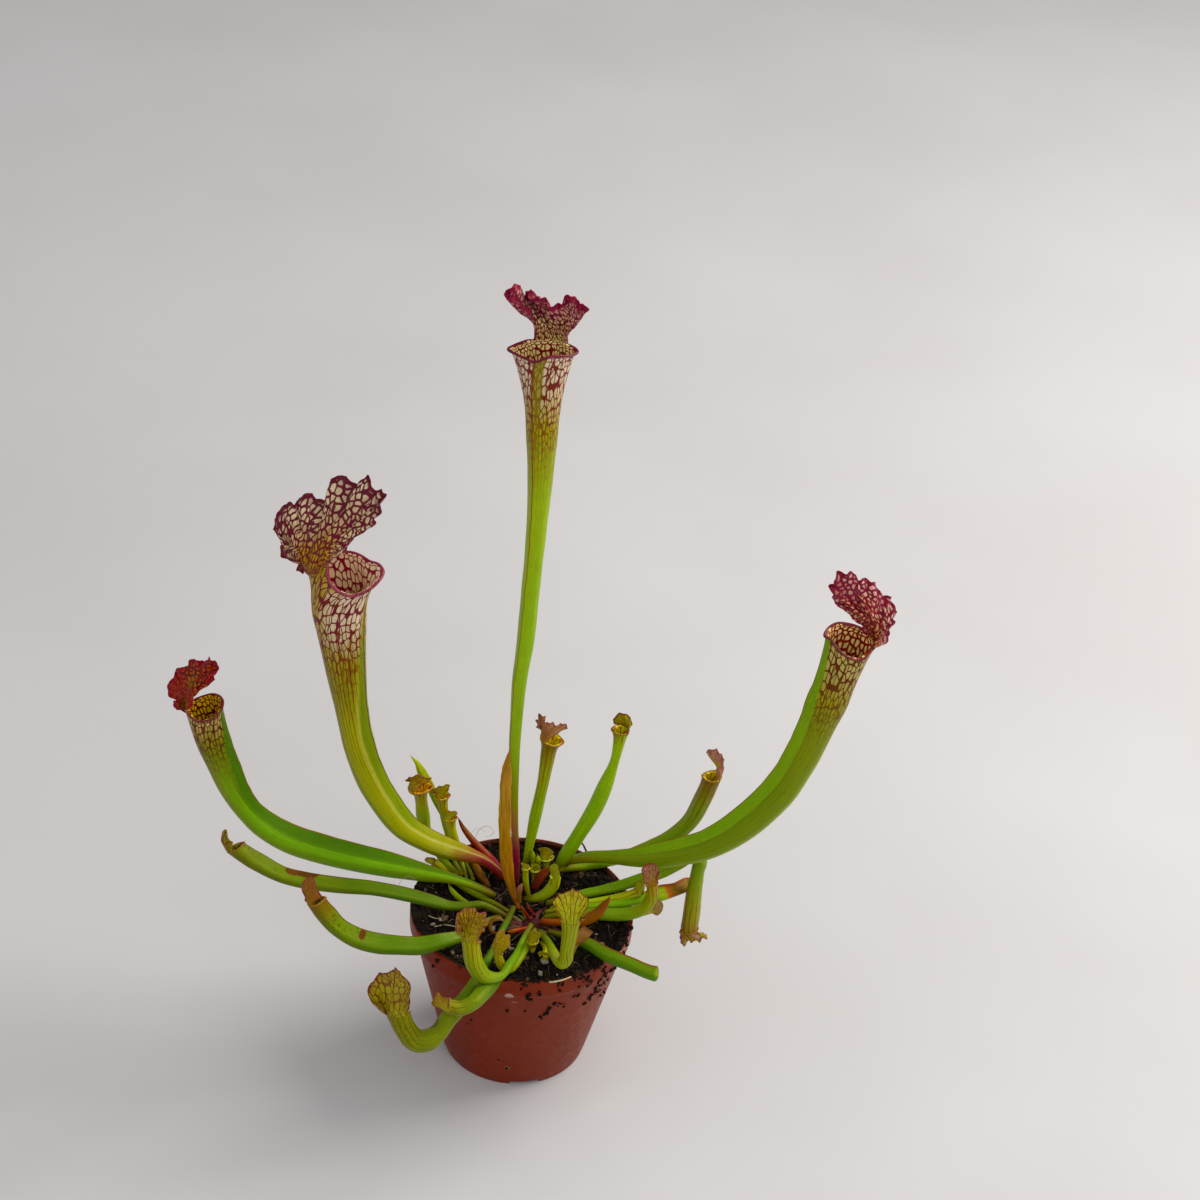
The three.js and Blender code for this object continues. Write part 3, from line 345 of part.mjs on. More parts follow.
function tubeSolid(leaf, n, sub, grow) {
  const fr = frames(leaf, sub);
  const angles = ringAngles(n);
  const verts = [], tris = [];
  const addRing = (f, g, wing) => {
    const start = verts.length;
    for (const a of angles) verts.push(ringPoint(leaf, f, a, g, wing).toArray());
    return start;
  };
  const band = (s0, s1, flip) => {
    for (let j = 0; j < n; j++) {
      const k = (j + 1) % n;
      if (!flip) { tris.push([s0 + j, s0 + k, s1 + k], [s0 + j, s1 + k, s1 + j]); }
      else { tris.push([s0 + j, s1 + k, s0 + k], [s0 + j, s1 + j, s1 + k]); }
    }
  };
  const outer = fr.map((f) => addRing(f, grow, true));
  const first = verts.length;
  verts.push(fr[0].c.clone().addScaledVector(fr[0].T, -0.15 - grow).toArray());
  for (let j = 0; j < n; j++) tris.push([first, outer[0] + (j + 1) % n, outer[0] + j]);
  for (let i = 1; i < outer.length; i++) band(outer[i - 1], outer[i], false);
  const last = fr[fr.length - 1];
  const hollow = leaf.open === 1 && grow === 0;
  if (!hollow) {
    const end = verts.length;
    verts.push(last.c.clone().addScaledVector(last.T, 0.15 + grow).toArray());
    const s = outer[outer.length - 1];
    for (let j = 0; j < n; j++) tris.push([end, s + j, s + (j + 1) % n]);
  } else {
    const depth = Math.max(2, Math.round((fr.length - 1) * (leaf.tier === 0 ? 0.42 : 0.3)));
    const inner = [];
    for (let i = fr.length - 1; i >= fr.length - depth; i--) {
      if (fr[i].r < WALL + 0.7) break;
      inner.push(addRing(fr[i], -WALL, false));
    }
    band(outer[outer.length - 1], inner[0], false);
    for (let i = 1; i < inner.length; i++) band(inner[i - 1], inner[i], false);
    const f = fr[fr.length - inner.length];
    const end = verts.length;
    verts.push(f.c.clone().addScaledVector(f.T, -0.5).toArray());
    const s = inner[inner.length - 1];
    for (let j = 0; j < n; j++) tris.push([end, s + j, s + (j + 1) % n]);
  }
  return listToManifold(verts, tris);
}
function hoodSolid(leaf, cols, rows, grow) {
  const fr = frames(leaf, 1);
  const f = fr[fr.length - 1];
  const outline = leaf.hood.map((p) => new THREE.Vector3(...p));
  const th = leaf.th * Math.PI / 180;
  const arc = (t, sign) => ringPoint(leaf, f, Math.PI + sign * t * th, -WALL * 0.5, false).addScaledVector(f.T, -0.9);
  const o0 = outline[0], o1 = outline[outline.length - 1];
  const same = arc(-1, 1).distanceTo(o0) + arc(1, 1).distanceTo(o1);
  const other = arc(-1, -1).distanceTo(o0) + arc(1, -1).distanceTo(o1);
  const sign = same <= other ? 1 : -1;
  const lens = [0];
  for (let i = 1; i < outline.length; i++) lens.push(lens[i - 1] + outline[i].distanceTo(outline[i - 1]));
  const at = (t) => {
    const d = (t + 1) / 2 * lens[lens.length - 1];
    let i = 1;
    while (i < lens.length - 1 && lens[i] < d) i++;
    const u = (d - lens[i - 1]) / Math.max(1e-6, lens[i] - lens[i - 1]);
    return outline[i - 1].clone().lerp(outline[i], Math.min(1, Math.max(0, u)));
  };
  const P = [];
  for (let i = 0; i <= rows; i++) {
    const line = [];
    for (let j = 0; j <= cols; j++) {
      const t = -1 + 2 * j / cols;
      const A = arc(t, sign), O = at(t);
      const u = i / rows, u2 = u * u, u3 = u2 * u;
      const D = O.clone().sub(A);
      const m0 = f.T.clone().multiplyScalar(D.length() * 0.8).addScaledVector(D, 0.2);
      const m1 = D.clone().multiplyScalar(0.8);
      line.push(A.clone().multiplyScalar(2 * u3 - 3 * u2 + 1).addScaledVector(m0, u3 - 2 * u2 + u)
        .addScaledVector(O, -2 * u3 + 3 * u2).addScaledVector(m1, u3 - u2));
    }
    P.push(line);
  }
  const verts = [], tris = [];
  const half = HOOD_THICKNESS / 2 + grow;
  const normal = (i, j) => {
    const a = P[Math.min(rows, i + 1)][j].clone().sub(P[Math.max(0, i - 1)][j]);
    const b = P[i][Math.min(cols, j + 1)].clone().sub(P[i][Math.max(0, j - 1)]);
    const c = a.cross(b);
    return c.lengthSq() < 1e-12 ? f.N.clone() : c.normalize();
  };
  for (let side = -1; side <= 1; side += 2) {
    for (let i = 0; i <= rows; i++) {
      for (let j = 0; j <= cols; j++) verts.push(P[i][j].clone().addScaledVector(normal(i, j), side * half).toArray());
    }
  }
  const w = cols + 1, off = w * (rows + 1);
  const q = (i, j, s) => s * off + i * w + j;
  for (let i = 0; i < rows; i++) {
    for (let j = 0; j < cols; j++) {
      const a = q(i, j, 0), b = q(i, j + 1, 0), c = q(i + 1, j + 1, 0), d = q(i + 1, j, 0);
      tris.push([a, b, c], [a, c, d]);
      const e = q(i, j, 1), g = q(i, j + 1, 1), h = q(i + 1, j + 1, 1), k = q(i + 1, j, 1);
      tris.push([e, h, g], [e, k, h]);
    }
  }
  const edge = [];
  for (let j = 0; j < cols; j++) edge.push([0, j, 0, j + 1]);
  for (let i = 0; i < rows; i++) edge.push([i, cols, i + 1, cols]);
  for (let j = cols; j > 0; j--) edge.push([rows, j, rows, j - 1]);
  for (let i = rows; i > 0; i--) edge.push([i, 0, i - 1, 0]);
  for (const [i0, j0, i1, j1] of edge) {
    const a = q(i0, j0, 0), b = q(i1, j1, 0), c = q(i1, j1, 1), d = q(i0, j0, 1);
    tris.push([a, c, b], [a, d, c]);
  }
  let m = listToManifold(verts, tris);
  if (m.volume() < 0) m = listToManifold(verts, tris.map(([a, b, c]) => [a, c, b]));
  return m;
}
function leafSolid(leaf, grow) {
  const n = [10, 7, 6][leaf.tier];
  const sub = leaf.tier === 0 ? 2 : 1;
  let body = tubeSolid(leaf, n, sub, grow);
  if (leaf.hood.length) {
    const cols = [12, 7, 5][leaf.tier], rows = [3, 2, 1][leaf.tier];
    body = body.add(hoodSolid(leaf, cols, rows, grow));
  }
  return body;
}

// ---------------------------------------------------------------- pot
function potSolid() {
  const H = POT_HEIGHT, R = RIM_RADIUS;
  const yc = H - COLLAR_HEIGHT;
  const taper = (R - COLLAR_STEP - BASE_RADIUS) / yc;
  const outer = (y) => BASE_RADIUS + taper * y;
  const profile = [
    [0, 0], [BASE_RADIUS - 0.8, 0], [BASE_RADIUS, 0.8], [outer(yc * 0.5), yc * 0.5], [outer(yc - 0.4), yc - 0.4],
    [R - 1.0, yc], [R - 0.2, yc + 0.6], [R, H - 0.6], [R - 0.6, H], [R - POT_WALL - 0.6, H], [R - POT_WALL - 1.0, H - 0.6],
    [outer(yc) - POT_WALL, yc - 1.0], [outer(POT_FLOOR) - POT_WALL, POT_FLOOR], [0, POT_FLOOR],
  ].map(([x, y]) => new THREE.Vector2(x, y));
  const lathe = new THREE.LatheGeometry(profile, POT_SEGMENTS);
  lathe.rotateX(Math.PI / 2);
  let pot = toManifold(lathe);
  if (pot.volume() < 0) throw new Error('pot is inside out');
  for (let i = 0; i < DRAIN_SLOTS; i++) {
    const a = 2 * Math.PI * i / DRAIN_SLOTS + DRAIN_TURN * Math.PI / 180;
    const slot = new THREE.BoxGeometry(9, DRAIN_WIDTH, DRAIN_HEIGHT * 2);
    slot.translate(BASE_RADIUS + 0.6, 0, 0);
    slot.rotateZ(a);
    pot = pot.subtract(toManifold(slot));
  }
  return pot;
}
function soilHeight(x, y) {
  const r = Math.hypot(x, y);
  return SOIL_LEVEL + 0.5 * Math.sin(x * 0.31 + 1.0) * Math.cos(y * 0.27) + 0.3 * Math.sin(x * 0.83 - y * 0.61)
    - 0.9 * smooth((r - 34) / 8);
}
function soilSolid(lift) {
  const H = POT_HEIGHT, R = RIM_RADIUS;
  const yc = H - COLLAR_HEIGHT;
  const taper = (R - COLLAR_STEP - BASE_RADIUS) / yc;
  const inner = (y) => BASE_RADIUS + taper * y - POT_WALL - SOIL_GAP - 0.15;
  const top = R - POT_WALL - 1.0 - SOIL_GAP - 0.35;
  const profile = [
    [0, POT_FLOOR + SOIL_GAP], [inner(POT_FLOOR) - 0.2, POT_FLOOR + SOIL_GAP], [inner(yc - 1.2), yc - 1.2],
    [top - 0.6, SOIL_LEVEL - 1.4], [top - 1.4, SOIL_LEVEL], [30, SOIL_LEVEL], [20, SOIL_LEVEL], [10, SOIL_LEVEL], [0, SOIL_LEVEL],
  ].map(([x, y]) => new THREE.Vector2(x, y));
  const lathe = new THREE.LatheGeometry(profile, 24);
  lathe.rotateX(Math.PI / 2);
  const pos = lathe.attributes.position;
  for (let i = 0; i < pos.count; i++) {
    if (pos.getZ(i) > SOIL_LEVEL - 0.5) pos.setZ(i, soilHeight(pos.getX(i), pos.getY(i)) + lift);
  }
  return toManifold(lathe);
}
function crownSolid() {
  const knob = new THREE.SphereGeometry(1, 12, 8);
  knob.scale(5.2, 4.2, 2.4);
  knob.translate(5.0, -9.5, SOIL_LEVEL + 2.9);
  return toManifold(knob);
}

// ---------------------------------------------------------------- assembly
const plant = new THREE.Group();
const finishes = {
  pot: { color: 0x7a3a28, roughness: 0.75, metalness: 0 },
  soil: { color: 0x241811, roughness: 1, metalness: 0 },
  crown: { color: 0x5a1c1c, roughness: 0.7, metalness: 0 },
  green: { color: 0x7f9a1e, roughness: 0.45, metalness: 0 },
  yellow: { color: 0xa8a028, roughness: 0.45, metalness: 0 },
  dead: { color: 0x8a5a2a, roughness: 0.85, metalness: 0 },
  red: { color: 0x8c2a20, roughness: 0.55, metalness: 0 },
};
function place(name, solid, finish) {
  const mesh = new THREE.Mesh(toGeometry(solid), new THREE.MeshStandardMaterial(finish));
  mesh.name = name;
  plant.add(mesh);
}
const boxesMeet = (a, b) => [0, 1, 2].every((k) => a.min[k] <= b.max[k] && b.min[k] <= a.max[k]);

place('pot', potSolid(), finishes.pot);
place('soil', soilSolid(0), finishes.soil);

// Where two leaves touch, the later one is cut back by the clearance. The rim and the peat come first.
const rimSpace = new THREE.LatheGeometry([
  [RIM_RADIUS - POT_WALL - 1.0 - LEAF_GAP, POT_HEIGHT - COLLAR_HEIGHT - LEAF_GAP], [RIM_RADIUS + LEAF_GAP, POT_HEIGHT - COLLAR_HEIGHT - LEAF_GAP],
  [RIM_RADIUS + LEAF_GAP, POT_HEIGHT + LEAF_GAP], [RIM_RADIUS - POT_WALL - 1.0 - LEAF_GAP, POT_HEIGHT + LEAF_GAP],
  [RIM_RADIUS - POT_WALL - 1.0 - LEAF_GAP, POT_HEIGHT - COLLAR_HEIGHT - LEAF_GAP],
].map(([x, y]) => new THREE.Vector2(x, y)), POT_SEGMENTS);
rimSpace.rotateX(Math.PI / 2);
const kept = [];
for (const [name, solid] of [['rim', toManifold(rimSpace)], ['peat', soilSolid(LEAF_GAP)]]) {
  kept.push({ name, fat: solid, fatBox: solid.boundingBox() });
}
for (const tier of [0, 1, 2]) {
  for (const leaf of LEAVES) {
    if (leaf.tier !== tier) continue;
    let solid = leafSolid(leaf, 0);
    for (const other of kept) {
      if (!boxesMeet(solid.boundingBox(), other.fatBox)) continue;
      if (solid.intersect(other.fat).volume() < 1e-4) continue;
      solid = largest(solid.subtract(other.fat));
    }
    const fat = leafSolid(leaf, LEAF_GAP);
    kept.push({ name: leaf.name, fat, fatBox: fat.boundingBox() });
    const finish = leaf.dead && leaf.hood.length === 0 ? finishes.dead
      : leaf.name.includes('red') ? finishes.red
      : leaf.tier === 2 ? finishes.yellow : finishes.green;
    place(leaf.name, solid, finish);
  }
}
let crown = crownSolid();
for (const other of kept) {
  if (boxesMeet(crown.boundingBox(), other.fatBox)) crown = crown.subtract(other.fat);
}
place('crown', largest(crown), finishes.crown);

export default plant;
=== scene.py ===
import math

import bpy
import numpy as np
from mathutils import Matrix, Vector


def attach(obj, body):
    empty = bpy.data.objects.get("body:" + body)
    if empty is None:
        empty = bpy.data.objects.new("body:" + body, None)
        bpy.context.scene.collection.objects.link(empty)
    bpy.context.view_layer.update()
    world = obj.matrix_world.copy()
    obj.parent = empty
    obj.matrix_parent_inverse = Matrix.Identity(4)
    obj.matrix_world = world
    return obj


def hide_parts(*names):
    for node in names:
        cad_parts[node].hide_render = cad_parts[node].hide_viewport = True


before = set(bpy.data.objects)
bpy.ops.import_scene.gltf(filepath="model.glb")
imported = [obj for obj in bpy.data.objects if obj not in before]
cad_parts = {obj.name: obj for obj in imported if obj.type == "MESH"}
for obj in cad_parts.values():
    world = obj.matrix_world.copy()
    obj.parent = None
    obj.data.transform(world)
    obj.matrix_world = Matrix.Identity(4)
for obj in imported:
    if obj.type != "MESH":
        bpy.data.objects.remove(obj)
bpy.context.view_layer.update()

MM = 0.001
# Driving sizes in millimetres, as in the construction model.
POT_HEIGHT, RIM_RADIUS, BASE_RADIUS = 69.4, 45.0, 29.4
COLLAR_HEIGHT, COLLAR_STEP, POT_WALL, POT_FLOOR = 8.2, 1.4, 1.5, 1.6
DRAIN_SLOTS, DRAIN_WIDTH, DRAIN_HEIGHT, DRAIN_TURN = 4, 12.5, 2.0, -77.0
SOIL_LEVEL = 66.6
WALL = 0.75

# Each leaf runs from its base to its tip or mouth. A row is one station along it:
# [x, y, z, tube radius, wing height, x, y, z of the direction in which the wing stands].
LEAVES = [
 {"name":"pitcher_center_tall","tier":0,"open":1,"kind":"tube","dead":0,"mt":0,"flare":1,"spout":0,"sa":-35,"th":38,
  "rows":[[-3.45,14.24,69.5,1.22,0.0,-0.463,-0.886,0.03],[-3.91,15.5,76.86,1.42,0.0,-0.463,-0.886,0.022],[-4.53,16.0,85.82,1.55,0.26,-0.46,-0.888,-0.015],[-5.44,16.0,96.62,1.51,0.39,-0.46,-0.888,-0.017],[-6.42,16.51,113.52,1.61,0.72,-0.461,-0.887,-0.005],[-7.55,17.01,136.08,2.17,1.18,-0.461,-0.887,-0.004],[-7.55,17.02,152.79,2.49,1.36,-0.46,-0.888,0.004],[-7.24,17.01,169.71,2.88,1.28,-0.46,-0.887,0.035],[-5.96,17.51,187.02,3.35,1.17,-0.461,-0.886,0.045],[-5.22,18.01,211.32,3.56,0.91,-0.461,-0.887,0.024],[-4.56,18.01,233.97,3.73,0.79,-0.46,-0.888,0.009],[-4.26,18.01,260.38,4.73,1.0,-0.461,-0.887,0.003],[-5.03,18.51,291.1,6.61,1.1,-0.462,-0.887,0.006],[-5.58,19.01,304.88,8.12,1.0,-0.462,-0.887,0.007],[-5.74,19.01,313.07,8.86,0.72,-0.46,-0.888,-0.005]],
  "mouth":[[-142.0,-10.3,26.01,314.14],[-110.0,-14.11,24.01,313.66],[-85.0,-17.14,21.01,313.58],[-62.0,-18.41,19.01,313.13],[-40.0,-14.92,15.01,313.61],[-20.0,-11.53,12.51,313.67],[0.0,-8.57,11.01,313.56],[30.0,-3.69,10.01,316.59],[60.0,0.51,11.51,316.35],[90.0,3.64,14.01,315.46],[115.0,5.95,18.01,315.1],[142.0,2.44,23.01,315.31],[180.0,-2.09,27.01,314.76]],
  "hood":[[-10.26,25.3,314.12],[-9.53,25.3,317.46],[-10.24,25.3,320.64],[-12.66,25.3,325.68],[-15.73,26.45,328.02],[-18.03,27.79,329.12],[-22.03,29.03,328.31],[-21.84,30.13,329.97],[-19.83,31.03,331.7],[-18.49,31.71,332.67],[-17.38,32.14,331.34],[-16.94,32.3,329.69],[-14.69,32.19,327.94],[-14.37,31.8,329.37],[-13.0,31.16,331.44],[-11.57,30.29,332.63],[-11.79,29.23,331.35],[-10.57,28.01,330.09],[-8.78,26.68,331.75],[-7.69,25.3,332.97],[-6.2,25.3,331.9],[-5.38,25.3,329.97],[-3.88,25.3,328.9],[-1.79,25.3,329.9],[-0.46,25.3,331.62],[0.13,25.3,333.68],[1.88,25.3,334.24],[3.73,25.3,333.2],[5.3,25.3,330.94],[5.78,25.3,328.98],[6.01,25.3,331.01],[8.22,25.3,330.0],[7.61,25.3,328.34],[7.71,25.3,326.73],[5.6,25.3,326.14],[3.91,25.3,324.37],[1.97,25.3,320.95],[1.42,25.3,318.05],[2.31,25.3,315.28]]},
 {"name":"pitcher_left_tall","tier":0,"open":1,"kind":"tube","dead":0,"mt":0,"flare":1,"spout":0,"sa":0,"th":36,
  "rows":[[-8.98,17.23,69.33,1.19,0.0,0.713,0.547,0.439],[-11.0,18.0,71.92,1.74,0.0,0.602,0.567,0.562],[-17.3,18.39,76.78,1.98,0.44,0.455,0.415,0.788],[-24.95,18.63,78.75,2.84,1.44,0.256,0.381,0.889],[-33.19,19.49,80.03,3.55,2.03,0.277,0.378,0.883],[-41.78,20.43,82.81,3.97,2.32,0.442,0.271,0.855],[-51.2,21.46,88.52,4.67,2.49,0.692,0.127,0.711],[-58.76,22.6,98.94,5.43,2.28,0.842,-0.048,0.538],[-64.97,23.76,110.54,5.78,1.91,0.909,-0.158,0.387],[-70.13,24.92,127.14,6.14,1.58,0.885,-0.397,0.245],[-73.86,25.96,146.85,6.73,1.35,0.888,-0.432,0.157],[-76.24,25.96,165.29,8.1,1.19,0.898,-0.426,0.109],[-77.92,25.97,181.8,9.69,0.93,0.896,-0.432,0.1],[-79.38,26.0,195.05,10.85,0.71,0.938,-0.336,0.09],[-79.99,26.01,205.18,11.72,0.49,0.977,-0.2,0.068]],
  "mouth":[[-160.0,-86.62,19.51,211.08],[-144.0,-82.79,19.01,215.2],[-125.0,-82.1,17.01,210.44],[-105.0,-79.2,15.51,206.7],[-80.0,-73.4,15.01,204.16],[-50.0,-67.51,16.51,205.79],[-25.0,-63.77,20.01,207.95],[0.0,-62.26,25.01,209.36],[14.0,-64.45,29.01,209.73],[30.0,-68.23,32.01,208.78],[55.0,-72.45,35.01,209.17],[85.0,-77.71,37.01,208.75],[115.0,-83.24,35.01,208.36],[144.0,-92.07,29.01,207.52],[162.0,-92.43,26.01,207.15],[180.0,-90.36,22.01,208.16]],
  "hood":[[-93.05,27.88,203.56],[-94.6,27.88,204.79],[-95.75,27.88,204.68],[-94.61,27.88,208.01],[-96.92,27.88,210.53],[-99.69,28.47,210.8],[-101.8,29.8,212.01],[-102.18,31.11,214.78],[-102.16,32.27,217.69],[-104.61,33.34,218.13],[-105.52,34.3,219.25],[-104.49,35.13,223.81],[-101.91,35.81,228.59],[-99.32,36.34,230.32],[-97.45,36.69,228.92],[-96.34,36.86,231.62],[-94.06,36.85,233.64],[-91.37,36.67,234.9],[-90.17,36.3,233.01],[-87.81,35.76,232.67],[-85.82,35.07,233.74],[-84.98,34.23,237.02],[-83.72,33.26,237.29],[-82.87,32.18,240.71],[-83.14,31.01,244.94],[-80.75,29.79,247.24],[-77.98,28.52,248.5],[-75.58,27.45,247.84],[-73.2,26.61,245.94],[-71.27,25.79,248.83],[-69.56,25.02,252.09],[-68.13,24.3,250.48],[-67.07,23.65,247.9],[-64.93,23.09,246.7],[-63.02,22.63,247.38],[-61.26,22.27,245.79],[-63.26,22.02,244.43],[-64.71,21.9,243.05],[-63.53,21.89,240.52],[-62.74,22.01,237.86],[-64.23,22.24,235.79],[-65.37,22.59,234.57],[-65.37,23.05,232.05],[-66.93,23.6,231.11],[-68.9,24.24,231.41],[-71.95,24.95,228.42],[-73.9,25.73,225.49],[-74.13,26.54,222.24],[-75.53,27.38,219.75],[-76.31,27.88,216.63],[-78.2,27.88,215.08],[-80.88,27.88,215.28],[-82.76,27.88,212.82],[-83.88,27.88,209.51]]},
 {"name":"pitcher_left_far","tier":0,"open":1,"kind":"tube","dead":0,"mt":0,"flare":1,"spout":0,"sa":0,"th":34,
  "rows":[[-11.32,4.0,71.22,1.09,0.0,0.369,0.536,0.759],[-14.23,3.96,72.57,1.49,0.16,0.345,0.543,0.766],[-21.53,4.91,74.96,1.55,0.34,0.277,0.538,0.796],[-29.8,5.76,76.32,1.76,0.88,0.164,0.554,0.816],[-40.72,7.38,75.97,2.62,2.25,0.129,0.558,0.82],[-53.71,9.04,76.26,3.36,3.48,0.118,0.484,0.867],[-67.63,10.89,76.62,3.67,4.17,0.121,0.447,0.887],[-80.9,12.86,77.63,3.88,4.44,0.18,0.404,0.897],[-96.19,14.95,80.56,4.08,4.27,0.31,0.375,0.874],[-106.98,17.26,85.6,4.17,3.65,0.544,0.253,0.8],[-114.09,18.49,92.42,4.05,3.1,0.779,0.097,0.62],[-120.01,19.64,102.04,4.74,3.18,0.903,-0.104,0.416],[-124.87,19.76,116.17,5.58,2.97,0.931,-0.175,0.321],[-128.51,19.79,127.58,6.18,2.51,0.946,-0.168,0.278],[-131.06,19.9,140.04,6.78,1.25,0.953,-0.184,0.24]],
  "mouth":[[-146.0,-136.96,15.9,142.55],[-120.0,-134.67,13.9,141.32],[-90.0,-131.27,13.4,139.83],[-60.0,-127.0,13.9,141.11],[-30.0,-123.96,15.9,143.36],[0.0,-123.23,18.9,145.63],[22.0,-124.87,22.9,145.23],[50.0,-127.67,25.4,144.35],[85.0,-131.03,26.4,142.8],[115.0,-134.94,25.9,141.05],[146.0,-137.4,23.9,140.06],[180.0,-138.67,19.9,140.9]],
  "hood":[[-138.51,20.9,137.73],[-140.46,20.9,139.5],[-142.43,20.9,139.79],[-142.99,21.06,142.56],[-141.67,21.41,142.68],[-144.16,22.25,144.02],[-145.48,23.27,146.08],[-145.4,24.34,149.21],[-144.07,24.7,150.06],[-142.94,25.27,152.19],[-142.79,25.79,154.26],[-140.92,25.52,156.33],[-138.84,24.95,156.94],[-137.47,24.15,159.82],[-136.87,23.17,161.77],[-134.71,22.07,163.01],[-132.55,20.9,163.33],[-130.48,20.2,162.83],[-129.36,19.54,165.33],[-129.04,18.95,166.97],[-127.41,18.47,166.75],[-126.2,18.13,165.21],[-124.65,17.94,162.15],[-126.41,17.91,161.51],[-126.26,18.05,159.51],[-126.56,18.47,156.77],[-129.24,19.14,155.54],[-131.75,19.84,153.09],[-133.46,20.4,150.33],[-134.34,20.8,148.5],[-134.59,20.9,146.94],[-135.8,20.9,145.35],[-135.85,20.9,142.41]]},
 {"name":"pitcher_right_big","tier":0,"open":1,"kind":"tube","dead":0,"mt":0,"flare":1,"spout":0,"sa":0,"th":34,
  "rows":[[10.55,26.35,69.1,1.11,0.0,-0.51,0.733,0.451],[13.61,27.96,70.79,1.66,0.17,-0.219,0.862,0.458],[19.45,25.84,74.99,1.66,0.59,-0.216,0.686,0.694],[25.74,22.66,79.05,1.83,1.22,-0.163,0.604,0.78],[34.62,17.53,83.89,1.99,1.7,-0.123,0.581,0.805],[44.34,12.28,88.52,2.64,2.6,-0.181,0.549,0.816],[54.71,8.53,93.24,3.48,3.58,-0.259,0.553,0.792],[64.99,5.97,98.83,3.83,3.95,-0.361,0.526,0.77],[73.41,4.53,104.47,4.04,4.0,-0.546,0.41,0.73],[82.81,3.57,113.43,4.64,4.04,-0.694,0.32,0.645],[91.72,3.16,124.82,4.97,3.96,-0.796,0.246,0.553],[99.14,3.32,137.27,5.28,3.64,-0.892,0.144,0.428],[104.67,3.58,152.21,5.44,3.23,-0.95,-0.039,0.31],[108.73,4.22,166.95,5.91,3.14,-0.954,-0.158,0.254],[112.06,4.75,181.03,6.73,2.93,-0.959,-0.167,0.228],[114.51,5.31,193.48,6.94,2.4,-0.959,-0.181,0.219],[116.76,5.93,205.62,7.56,1.4,-0.947,-0.234,0.221]],
  "mouth":[[-146.0,122.89,9.43,210.0],[-115.0,119.09,11.43,210.77],[-85.0,114.93,12.43,211.05],[-55.0,111.1,11.93,211.24],[-25.0,108.09,9.43,210.61],[0.0,106.52,4.93,210.13],[25.0,108.7,2.43,210.25],[50.0,111.56,0.43,207.81],[80.0,115.99,-0.57,205.05],[110.0,120.61,-0.07,204.23],[146.0,123.91,2.93,205.89],[180.0,126.44,5.93,207.72]],
  "hood":[[121.21,7.35,210.81],[119.43,7.35,216.13],[117.83,7.35,218.47],[115.76,7.35,218.5],[114.28,7.16,219.85],[114.57,6.66,222.02],[112.08,6.11,223.96],[109.71,5.65,224.94],[108.22,5.25,224.85],[107.26,4.91,226.56],[107.21,4.64,228.53],[109.04,4.45,230.4],[109.03,4.36,232.03],[107.3,4.36,232.54],[105.77,4.44,233.0],[106.78,4.62,233.87],[106.97,4.88,235.5],[107.9,5.22,237.15],[109.65,5.62,238.17],[111.56,6.07,237.83],[113.34,6.57,238.56],[114.63,7.08,237.24],[114.21,7.78,234.73],[115.89,8.65,233.42],[117.69,9.47,234.17],[119.65,10.23,233.63],[121.73,10.89,232.05],[123.73,11.45,231.2],[124.77,11.89,228.98],[125.4,12.18,227.04],[127.5,12.33,225.34],[129.35,12.32,225.53],[130.42,12.16,223.02],[131.78,11.86,221.09],[132.44,11.41,218.72],[131.15,10.32,216.61],[132.42,9.73,215.31],[130.34,8.69,213.54],[130.12,8.06,212.11],[130.71,7.55,210.23],[129.86,7.35,207.99],[127.59,7.35,208.0],[125.81,7.35,207.13],[124.34,7.35,203.75]]},
 {"name":"leaf_left_mid","tier":1,"open":0,"kind":"tube","dead":0,"mt":20,"flare":1.05,"spout":0.1,"sa":0,"th":40,
  "rows":[[-5.56,-7.9,70.8,0.99,0.0,0.427,0.533,0.73],[-10.71,-8.0,73.89,1.34,0.0,0.392,0.521,0.758],[-16.18,-9.04,76.98,1.38,0.15,0.118,0.536,0.836],[-21.47,-10.1,76.54,1.53,0.34,-0.096,0.543,0.834],[-28.58,-11.34,76.42,1.4,1.2,0.081,0.569,0.818],[-36.42,-12.58,78.68,1.57,2.09,0.196,0.578,0.792],[-44.75,-13.66,81.39,1.62,2.35,0.154,0.569,0.808],[-58.88,-14.68,84.21,1.7,2.46,0.071,0.554,0.829],[-72.75,-14.75,84.32,1.87,2.7,0.038,0.558,0.829],[-86.11,-14.74,85.38,2.01,2.68,0.118,0.553,0.825],[-95.74,-14.65,87.72,2.16,2.43,0.314,0.536,0.784],[-106.08,-13.58,92.83,2.65,2.27,0.439,0.509,0.74],[-111.44,-12.37,96.08,2.97,1.48,0.491,0.493,0.718],[-114.02,-12.17,98.37,3.19,0.71,0.513,0.489,0.705]],
  "mouth":[],
  "hood":[[-116.0,-13.42,97.28],[-118.36,-13.25,99.93],[-119.19,-12.81,102.53],[-118.72,-12.99,106.25],[-117.45,-13.42,108.73],[-116.68,-13.42,107.81],[-116.32,-13.42,104.33],[-114.37,-13.42,102.51]]},
 {"name":"leaf_left_low","tier":1,"open":0,"kind":"tube","dead":1,"mt":10,"flare":1,"spout":0,"sa":0,"th":50,
